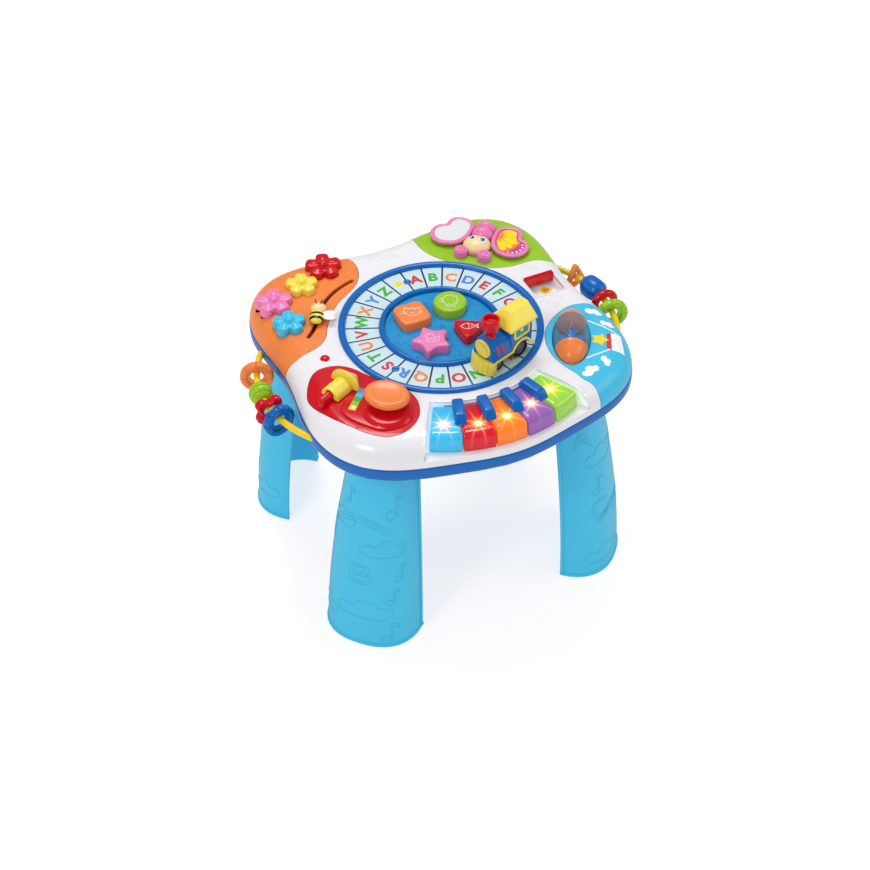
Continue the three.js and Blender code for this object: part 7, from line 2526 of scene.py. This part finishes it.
class BeadForm(Enum):
    """The kinds of bead threaded on the handles."""

    OCTAGON = "octagon"
    BALL = "ball"
    LOBED = "lobed"
    TRIANGLE = "triangle"
    BARREL = "barrel"
    PLAIN = "plain"


@dataclass(frozen=True)
class Bead:
    """One bead: its form, its place along the handle and what it replaces."""

    form: BeadForm
    side: int
    degrees: float
    finish: Finish
    node: str
    body: str


@dataclass
class Handles:
    """Two arcs of rod with eight beads."""

    centre: Point = (84.0, 5.0)
    arc_radius: float = 141.0
    rod: float = 4.0
    height: float = 294.5
    half_span: float = 37.0
    hang: float = 3.5
    octagon_square: float = 0.62
    barrel_half: float = 17.0
    triangle_reach: float = 25.0
    triangle_hole: float = 13.6
    beads: tuple[Bead, ...] = (
        Bead(BeadForm.OCTAGON, -1, 21.5, ORANGE, "bead_left_octagon_back", "left_octagon_back_bead"),
        Bead(BeadForm.BALL, -1, 7.0, GREEN, "bead_left_ball", "left_ball_bead"),
        Bead(BeadForm.LOBED, -1, -3.7, RED, "bead_left_lobed", "left_lobed_bead"),
        Bead(BeadForm.OCTAGON, -1, -13.0, BLUE, "bead_left_octagon_front", "left_octagon_front_bead"),
        Bead(BeadForm.TRIANGLE, 1, 22.0, ORANGE, "bead_right_triangle", "right_triangle_bead"),
        Bead(BeadForm.BARREL, 1, 8.6, BLUE, "bead_right_barrel", "right_barrel_bead"),
        Bead(BeadForm.PLAIN, 1, -2.0, RED, "bead_right_plain", "right_plain_bead"),
        Bead(BeadForm.OCTAGON, 1, -11.5, GREEN, "bead_right_octagon", "right_octagon_bead"))

    def spot(self, side: int, degrees: float) -> Spot:
        """Return a place on a rod's middle line."""
        x, y = around(self.centre, self.arc_radius, degrees)
        return side * x, y, self.height

    def build(self) -> None:
        """Make both rods and every bead."""
        for side, name in ((-1, "left"), (1, "right")):
            path = [self.spot(side, -self.half_span + 2 * self.half_span * k / 60) for k in range(61)]
            piece(f"{name}_rod", Mould().tube(path, self.rod, 28), ROD_YELLOW, replaces=[f"handle_{name}"],
                  sharp=60)
        forms = {BeadForm.OCTAGON: self.octagon, BeadForm.BALL: self.ball, BeadForm.LOBED: self.lobed,
                 BeadForm.TRIANGLE: self.triangle, BeadForm.BARREL: self.barrel, BeadForm.PLAIN: self.plain}
        for bead in self.beads:
            mould = forms[bead.form]()
            x, y, z = self.spot(bead.side, bead.degrees)
            turn = bead.degrees if bead.side > 0 else 180 - bead.degrees
            piece(f"{bead.node}_form", mould.moved(turned((x, y, z), turn)), bead.finish, bead.body,
                  replaces=[bead.node], sharp=50)

    def upright(self, flat: Mould, drop: float) -> Mould:
        """Stand a flat ring up across the rod, dropped so that it hangs."""
        return flat.moved(spin(90, "X")).at(0, 0, -drop)

    def ring(self, outside: Callable[[float], float], inside: Callable[[float], float], steps: int,
             half: float, levels: int = 14, square: float = 0.7) -> Mould:
        """Make a closed ring whose tube swells between an inner and an outer outline.

        Args:
            outside: Outer reach by angle.
            inside: Inner reach by angle.
            steps: Steps round the ring.
            half: Half the ring's thickness.
            levels: Steps round the tube.
            square: How square the tube's section is, 1 for a circle.

        Returns:
            The ring, flat.
        """
        rings = []
        for i in range(steps):
            angle = TAU * i / steps
            row = []
            for k in range(levels):
                turn = TAU * k / levels
                near, far = inside(angle), outside(angle)
                reach = (near + far) / 2 + (far - near) / 2 * squared(math.cos(turn), square)
                row.append((reach * math.cos(angle), reach * math.sin(angle),
                            half * squared(math.sin(turn), square)))
            rings.append(row)
        rings.append(rings[0])
        return Mould().skin(rings, False, False)

    def octagon(self) -> Mould:
        """Make the ring of eight bulging segments."""
        def outside(angle: float) -> float:
            """Return the outer reach, waisted at the joints."""
            local = (math.degrees(angle) + 22.5) % 45 - 22.5
            return 20.3 - 1.3 * math.exp(-(local / 4.5) ** 2)
        outer = self.ring(outside, lambda angle: 12.0, 128, 5.0, 16, self.octagon_square)
        web = Mould().lathe([(8.2, -1.9), (12.6, -1.9), (12.6, 1.9), (8.2, 1.9), (7.9, 1.4), (7.9, -1.4),
                             (8.2, -1.9)], 48)
        joints = Mould()
        for k in range(8):
            degrees = 45 * k
            loop = []
            for j in range(24):
                turn = TAU * j / 24
                reach = 16.2 + 3.4 * squared(math.cos(turn), self.octagon_square)
                z = 5.25 * squared(math.sin(turn), self.octagon_square)
                loop.append((*around((0, 0), reach, degrees), z))
            joints.join(Mould().tube(loop, 0.7, 8, closed=True))
        return self.upright(outer.join(web, joints), self.hang)

    def ball(self) -> Mould:
        """Make the ball with four ridges round the rod."""
        profile, bore, radius = [], 5.3, 14.4
        for k in range(65):
            polar = math.radians(24 + 132 * k / 64)
            groove = 0.17 * max(0.0, math.cos(TAU * (k / 64) * 4)) ** 3 if 0 < k < 64 else 0.06
            profile.append((radius * math.sin(polar) * (1 - groove), -radius * math.cos(polar)))
        near, far = (bore, profile[0][1]), (bore, profile[-1][1])
        return Mould().lathe([near, *profile, far, near], 64).moved(spin(90, "X"))

    def lobed(self) -> Mould:
        """Make the ring with four deep lobes."""
        def outside(angle: float) -> float:
            """Return the outer reach."""
            return 20.0 * (1 - 0.4 * abs(math.sin(2 * (angle - math.pi / 4))) ** 3)
        outer = self.ring(outside, lambda angle: 7.9, 160, 5.5, 18, 0.55)
        return self.upright(outer, self.hang)

    def triangle(self) -> Mould:
        """Make the rounded triangular ring."""
        outer, hole = (soften([around((0, 0), reach, a) for a in (90, 210, 330)], back, 12)
                       for reach, back in ((self.triangle_reach, 8.5), (self.triangle_hole, 4.0)))
        rings = []
        for k in range(17):
            turn = TAU * k / 16
            part, z = (1 - squared(math.cos(turn), 0.7)) / 2, 3.8 * squared(math.sin(turn), 0.7)
            rings.append([(a[0] + (b[0] - a[0]) * part, a[1] + (b[1] - a[1]) * part, z)
                          for a, b in zip(outer, hole)])
        return self.upright(Mould().skin(rings, False, False), self.triangle_hole - 10.7)

    def plain(self) -> Mould:
        """Make the plain round ring."""
        line = flat_path(circle((0, 0), 13.0, 72), 0.0)
        return self.upright(Mould().tube(line, 5.0, 24, closed=True), 3.4)

    def barrel(self) -> Mould:
        """Make the faceted barrel."""
        side = ((1.0, 8.2), (0.97, 9.2), (0.72, 12.6), (0.45, 14.6), (0.2, 15.0))
        profile = [(-part, radius) for part, radius in side] + [(part, radius)
                                                                for part, radius in reversed(side)]
        rings = []
        for part, radius in [*profile, (1.0, 5.6), (-1.0, 5.6), profile[0]]:
            rings.append([(*around((0, 0), radius, 45 * k + 22.5), part * self.barrel_half)
                          for k in range(8)])
        return Mould().skin(rings, False, False).moved(spin(90, "X"))


# Legs and the underside

@dataclass
class Legs:
    """Four open C-section legs with a bead at the foot and embossed signs."""

    depth: float = 56.5
    half_width: float = 59.0
    top_depth: float = 41.0
    top_gate: float = 45.0  # half width on the side towards the front or the back
    top_flank: float = 30.0  # half width on the side towards the handles
    top_set_in: float = 26.0
    bow: float = 1.65  # how late a leg narrows towards its top
    wall: float = 3.0
    bead: float = 1.8
    girth: float = 150.0  # the way round a leg's outside, for its signs
    capital: float = 30.0
    top: float = 285.5
    azimuth: float = 41.9
    power: float = 2.4
    places: tuple[tuple[str, Point], ...] = (
        ("leg_front_left", (-0.643, -0.488)), ("leg_front_right", (0.643, -0.488)),
        ("leg_back_left", (-0.634, 0.643)), ("leg_back_right", (0.634, 0.643)))

    def curve(self, z: float, grown: float, steps: int = 48) -> Ring:
        """Return the open outline of a leg's section at a height, from one edge to the other.

        Args:
            z: The height.
            grown: How far it is moved out.
            steps: How many steps it is drawn in.

        Returns:
            The outline, from one edge to the other.
        """
        part = (max(0.0, z) / self.top) ** self.bow
        depth = self.depth + (self.top_depth - self.depth) * part + grown
        gate = self.half_width + (self.top_gate - self.half_width) * part + grown
        flank = self.half_width + (self.top_flank - self.half_width) * part + grown
        angles, power = [math.radians(-90 + 180 * i / steps) for i in range(steps + 1)], 2 / self.power
        return [(depth * squared(math.cos(a), power) - self.top_set_in * part,
                 (gate if a > 0 else flank) * squared(math.sin(a), power), z) for a in angles]

    def turn(self, place: Point) -> float:
        """Return the way a leg at a place faces."""
        x, y = around((0, 0), 1, self.azimuth)
        return math.degrees(math.atan2(math.copysign(y, place[1]), math.copysign(x, place[0])))

    def on_skin(self, part: float, z: float, lift: float) -> Spot:
        """Return a spot on the outside, by the share of the way round and a height.

        Args:
            part: The share of the way round.
            z: The height.
            lift: How far it stands off the surface.

        Returns:
            The spot.
        """
        line = self.curve(z, lift, 96)
        k = min(95, max(0, int(part * 96)))
        return tuple(Vector(line[k]).lerp(Vector(line[k + 1]), part * 96 - k))

    def build(self) -> None:
        """Make the four legs."""
        for number, (node, place) in enumerate(self.places):
            hand = math.copysign(1, place[0] * place[1])
            seat = turned((*share(place), 0), self.turn(place)) @ Matrix.Diagonal((1, hand, 1, 1))
            piece(f"{node}_skin", self.leg().moved(seat), SKY, replaces=[node], sharp=45)
            self.emboss(node, seat, number, hand)

    def leg(self) -> Mould:
        """Make one leg's wall, foot bead, edge beads and top plate."""
        mould = Mould()
        profile = [(0.0, 0.0), (0.9, 0.3), (self.bead, 1.4), (self.bead, 3.6), (1.0, 4.7), (0.15, 5.4),
                   (0.0, 6.0)]
        levels = profile + [(0.0, self.top * k / 12) for k in range(1, 13)]
        outside = [self.curve(z, grown) for grown, z in levels]
        inside = [self.curve(z, -self.wall)[::-1] for _, z in levels]
        mould.skin([a + b for a, b in zip(outside, inside)])
        for edge in (0, -1):
            path = [(row[edge][0] + 1.2, row[edge][1], max(2.4, row[edge][2])) for row in outside[3:]]
            mould.join(Mould().tube(path, 2.3, 14))
        plate = [(u, v) for u, v, _ in self.curve(self.top, -1.5, 32)]
        return mould.join(prism(plate, self.top - 4, self.top - 0.5))

    def emboss(self, node: str, seat: Matrix, number: int, hand: float) -> None:
        """Emboss letters, notes, arcs and clouds as fine beads that follow the leg's skin.

        Args:
            node: The leg.
            seat: The leg's place and turn, mirrored on two of the four.
            number: Which pair of letters it shows.
            hand: -1 on a mirrored leg, so that its letters still read.
        """
        words = ((("B", 0.5, 113), ("E", 0.17, 158)), (("A", 0.8, 222), ("C", 0.7, 108)),
                 (("D", 0.5, 113), ("F", 0.17, 158)), (("G", 0.5, 113), ("H", 0.17, 158)))[number]
        paths: list[Ring] = []

        def lay(outline: Sequence[Point], part: float, z: float, closed: bool = True) -> None:
            """Lay an outline on the leg's skin about a place.

            Args:
                outline: The outline about its own middle.
                part: The share of the way round the leg.
                z: The height.
                closed: Whether it returns to its start.
            """
            points = list(outline) + ([outline[0]] if closed else [])
            dense = []
            for a, b in zip(points, points[1:]):
                count = max(1, int(math.dist(a, b) / 2.5))
                dense += [(a[0] + (b[0] - a[0]) * k / count, a[1] + (b[1] - a[1]) * k / count)
                          for k in range(count)]
            dense.append(points[-1])
            paths.append([tuple(seat @ Vector(self.on_skin(part + hand * x / self.girth, z + y, 0.05)))
                          for x, y in dense])
        cloud = spline([(-16, -6), (-19, 0), (-14, 5), (-8, 4), (-4, 10), (5, 10), (8, 5), (14, 6), (18, 0),
                        (14, -6),
                        (0, -7)], 5, True)
        note = [*circle((-5, -9), 3.6, 14), (-1.4, -9), (-1.4, 9), (4, 7), (5.5, 2), (2.5, 4.6), (0.4, 4.8),
                (0.4, -9)]
        signs = (((0.3, 184), 1.25, cloud), ((0.66, 152), 1.35, cloud), ((0.54, 56), 1.5, cloud),
                 ((0.38, 222), 1.2, note),
                 ((0.75, 218), 1.7, note), ((0.8, 120), 1.2, note), ((0.74, 84), 1.2, note),
                 ((0.72, 27), 1.5, note),
                 ((0.2, 40), 1.2, cloud))
        if number == 1:
            signs = (((0.62, 186), 1.4, cloud), ((0.68, 148), 1.4, note), ((0.66, 30), 1.4, cloud),
                     ((0.4, 90), 1.2, cloud),
                     ((0.4, 200), 1.3, note), ((0.2, 140), 1.2, cloud))
        for (part, z), scale, outline in signs:
            lay([(x * scale, y * scale) for x, y in outline], part, z)
        middle = (0.5, 60) if number == 1 else (0.46, 150)
        for radius in (38, 42, 46):
            lay(arc((0, 0), radius, 38, 142, 24), *middle, closed=False)
        for word, part, z in words:
            for loop in letter_loops(word, self.capital):
                lay(loop, part, z)
        ridge(f"{node}_signs", paths, 0.4, SKY, sides=8)


def letter_loops(text: str, height: float) -> list[list[Point]]:
    """Return the outlines of a letter about its own middle.

    Args:
        text: What it says.
        height: Height of a capital.

    Returns:
        One closed outline for each loop of the letter.
    """
    mesh = lettering(text, 0.05, 3)
    spots = [(v.co.x, v.co.y) for v in mesh.vertices]
    near: dict[int, list[int]] = {}
    for a, b in (edge.vertices for edge in mesh.edges):
        near.setdefault(a, []).append(b)
        near.setdefault(b, []).append(a)
    loops, seen = [], set()
    for start in near:
        if start in seen:
            continue
        loop, here = [], start
        while here is not None and here not in seen:
            seen.add(here)
            loop.append(here)
            here = next((k for k in near[here] if k not in seen), None)
        loops.append(loop)
    xs, ys = [x for x, _ in spots], [y for _, y in spots]
    middle = ((min(xs) + max(xs)) / 2, (min(ys) + max(ys)) / 2)
    scale = height / CAPITAL
    return [[((spots[k][0] - middle[0]) * scale, (spots[k][1] - middle[1]) * scale) for k in loop]
            for loop in loops]


@dataclass
class Underside:
    """The blue tray's smooth rim, and the plain pieces under the deck."""

    def build(self) -> None:
        """Make the rim and dress the pieces that stay as they are."""
        profile = [(2.4, 286.2), (0.6, 287.0), (-0.6, 289.0), (-0.8, 292.0), (-0.8, 299.5), (-0.4, 302.0),
                   (0.6, 303.1), (2.4, 303.2)]
        piece("tray_rim", Mould().skin(lobed_rings([*profile, profile[0]], 240), False, False), BLUE,
              sharp=50)
        for node, finish in (("base_tray", BLUE), ("battery_door", BLUE), ("power_switch", ORANGE),
                             ("speaker", CONE),
                             ("circuit_board", BOARD)):
            dress(node, finish)


@dataclass
class DeckMarks:
    """Faint embossed doodles on the white deck and the green panel."""

    waves: tuple[tuple[Point, float], ...] = (
        ((-19, 163), 8), ((18, 168), 14), ((2, 153), -10), ((150, 55), -40), ((141, -14), -50),
        ((152, -6), -44))
    stars: tuple[Point, ...] = ((65.5, 135.2), (98.3, 88.5), (128.0, 84.5), (163.5, 88.0), (72.0, 172.0),
                                (165.0, 116.0))

    def build(self) -> None:
        """Emboss waves on the white deck and small stars on the green panel."""
        shell = Shell()
        lines = []
        for place, degrees in self.waves:
            for drop in (0, 3.4, 6.8):
                wave = [(-11 + k, 1.8 * math.sin(TAU * k / 11) - drop) for k in range(23)]
                lines.append(thick_line(shifted(wave, place, degrees), 1.0))
        shell.printed("deck_doodles", lines, 0.35, WHITE)
        stars = [soften(star(place, 5.2, 2.6), 0.8, 3) for place in self.stars]
        shell.printed("meadow_stars", stars, 0.4, GREEN)


# Studio

@dataclass
class Studio:
    """The camera at the photograph's angle, a pale floor and soft light."""

    eye: Spot = (-0.8045, -1.6494, 1.8480)
    right: Spot = (0.9008, -0.4343, 0.0)
    up: Spot = (0.2941, 0.6099, 0.7359)
    back: Spot = (-0.3196, -0.6629, 0.6771)
    focal: float = 82.8
    sensor: float = 36.0

    def build(self) -> None:
        """Set the camera, the floor, the world and the lamps."""
        self.camera()
        self.floor()
        self.world()
        for name, place, size, power in (
                ("overhead", (0.3, 1.1, 2.6), 1.0, 26.0), ("front_left", (-1.9, -0.9, 2.2), 0.7, 17.0),
                ("right_fill", (2.2, -1.0, 1.6), 1.2, 9.0)):
            self.lamp(name, place, size, power)
        bpy.context.scene.view_settings.view_transform = "Standard"

    def camera(self) -> None:
        """Place the camera."""
        data = bpy.data.cameras.new("photograph")
        data.lens, data.sensor_width, data.sensor_fit = self.focal, self.sensor, "HORIZONTAL"
        data.clip_start, data.clip_end = 0.05, 50
        eye = put("photograph", data)
        basis = Matrix((self.right, self.up, self.back)).transposed().to_4x4()
        eye.matrix_world = Matrix.Translation(self.eye) @ basis
        bpy.context.scene.camera = eye

    def floor(self) -> None:
        """Lay the pale floor."""
        mesh = bpy.data.meshes.new("floor")
        mesh.from_pydata(flat_path(box(-8, -8, 8, 8), 0), [], [(0, 1, 2, 3)])
        floor = put("floor", mesh)
        made = bpy.data.materials.new("pale floor")
        made.use_nodes = True
        shader = made.node_tree.nodes["Principled BSDF"]
        fill(shader, {"Base Color": (0.48, 0.455, 0.43, 1), "Roughness": 0.9, "Specular IOR Level": 0.1,
                      "Emission Color": (1, 0.99, 0.975, 1)})
        self.dim_in_gloss(made.node_tree, 0.7, 0.1, shader.inputs["Emission Strength"])
        mesh.materials.append(made)

    def dim_in_gloss(self, tree: bpy.types.NodeTree, plain: float, dim: float,
                     target: bpy.types.NodeSocket) -> None:
        """Give a light one strength, and another one where a glossy ray meets it.

        Args:
            tree: The light's nodes.
            plain: The strength.
            dim: The strength in reflections.
            target: The socket that takes it.
        """
        rays = tree.nodes.new("ShaderNodeLightPath")
        tree.links.new(maths(tree, "MULTIPLY_ADD", rays.outputs["Is Glossy Ray"], dim - plain, plain),
                       target)

    def world(self) -> None:
        """Fill the room with even pale light."""
        world = bpy.data.worlds.new("room")
        world.use_nodes = True
        sky = world.node_tree.nodes["Background"]
        fill(sky, {"Color": (1.0, 0.99, 0.98, 1)})
        self.dim_in_gloss(world.node_tree, 0.54, 0.18, sky.inputs["Strength"])
        bpy.context.scene.world = world

    def lamp(self, name: str, place: Spot, size: float, power: float) -> None:
        """Hang one soft lamp that faces the table.

        Args:
            name: The lamp's name.
            place: Where it hangs.
            size: Length of its side.
            power: Its power.
        """
        data = bpy.data.lights.new(name, "AREA")
        data.shape, data.size, data.energy = "SQUARE", size, power
        lamp = put(name, data)
        lamp.location = place
        aim = Vector((0, 0, 0.3)) - Vector(place)
        lamp.rotation_euler = aim.to_track_quat("-Z", "Y").to_euler()


def main() -> None:
    """Build the table's pieces in order."""
    for part in (Shell(), Track(), Island(), Flowers(), Butterfly(), Peekaboo(), Spinner(), BalloonPrint(),
                 LeverPanel(),
                 Piano(), Train(), Handles(), Legs(), Underside(), DeckMarks(), Studio()):
        part.build()
        log.info("built %s", type(part).__name__)


if __name__ == "__main__":
    logging.basicConfig(level=logging.INFO)
    main()
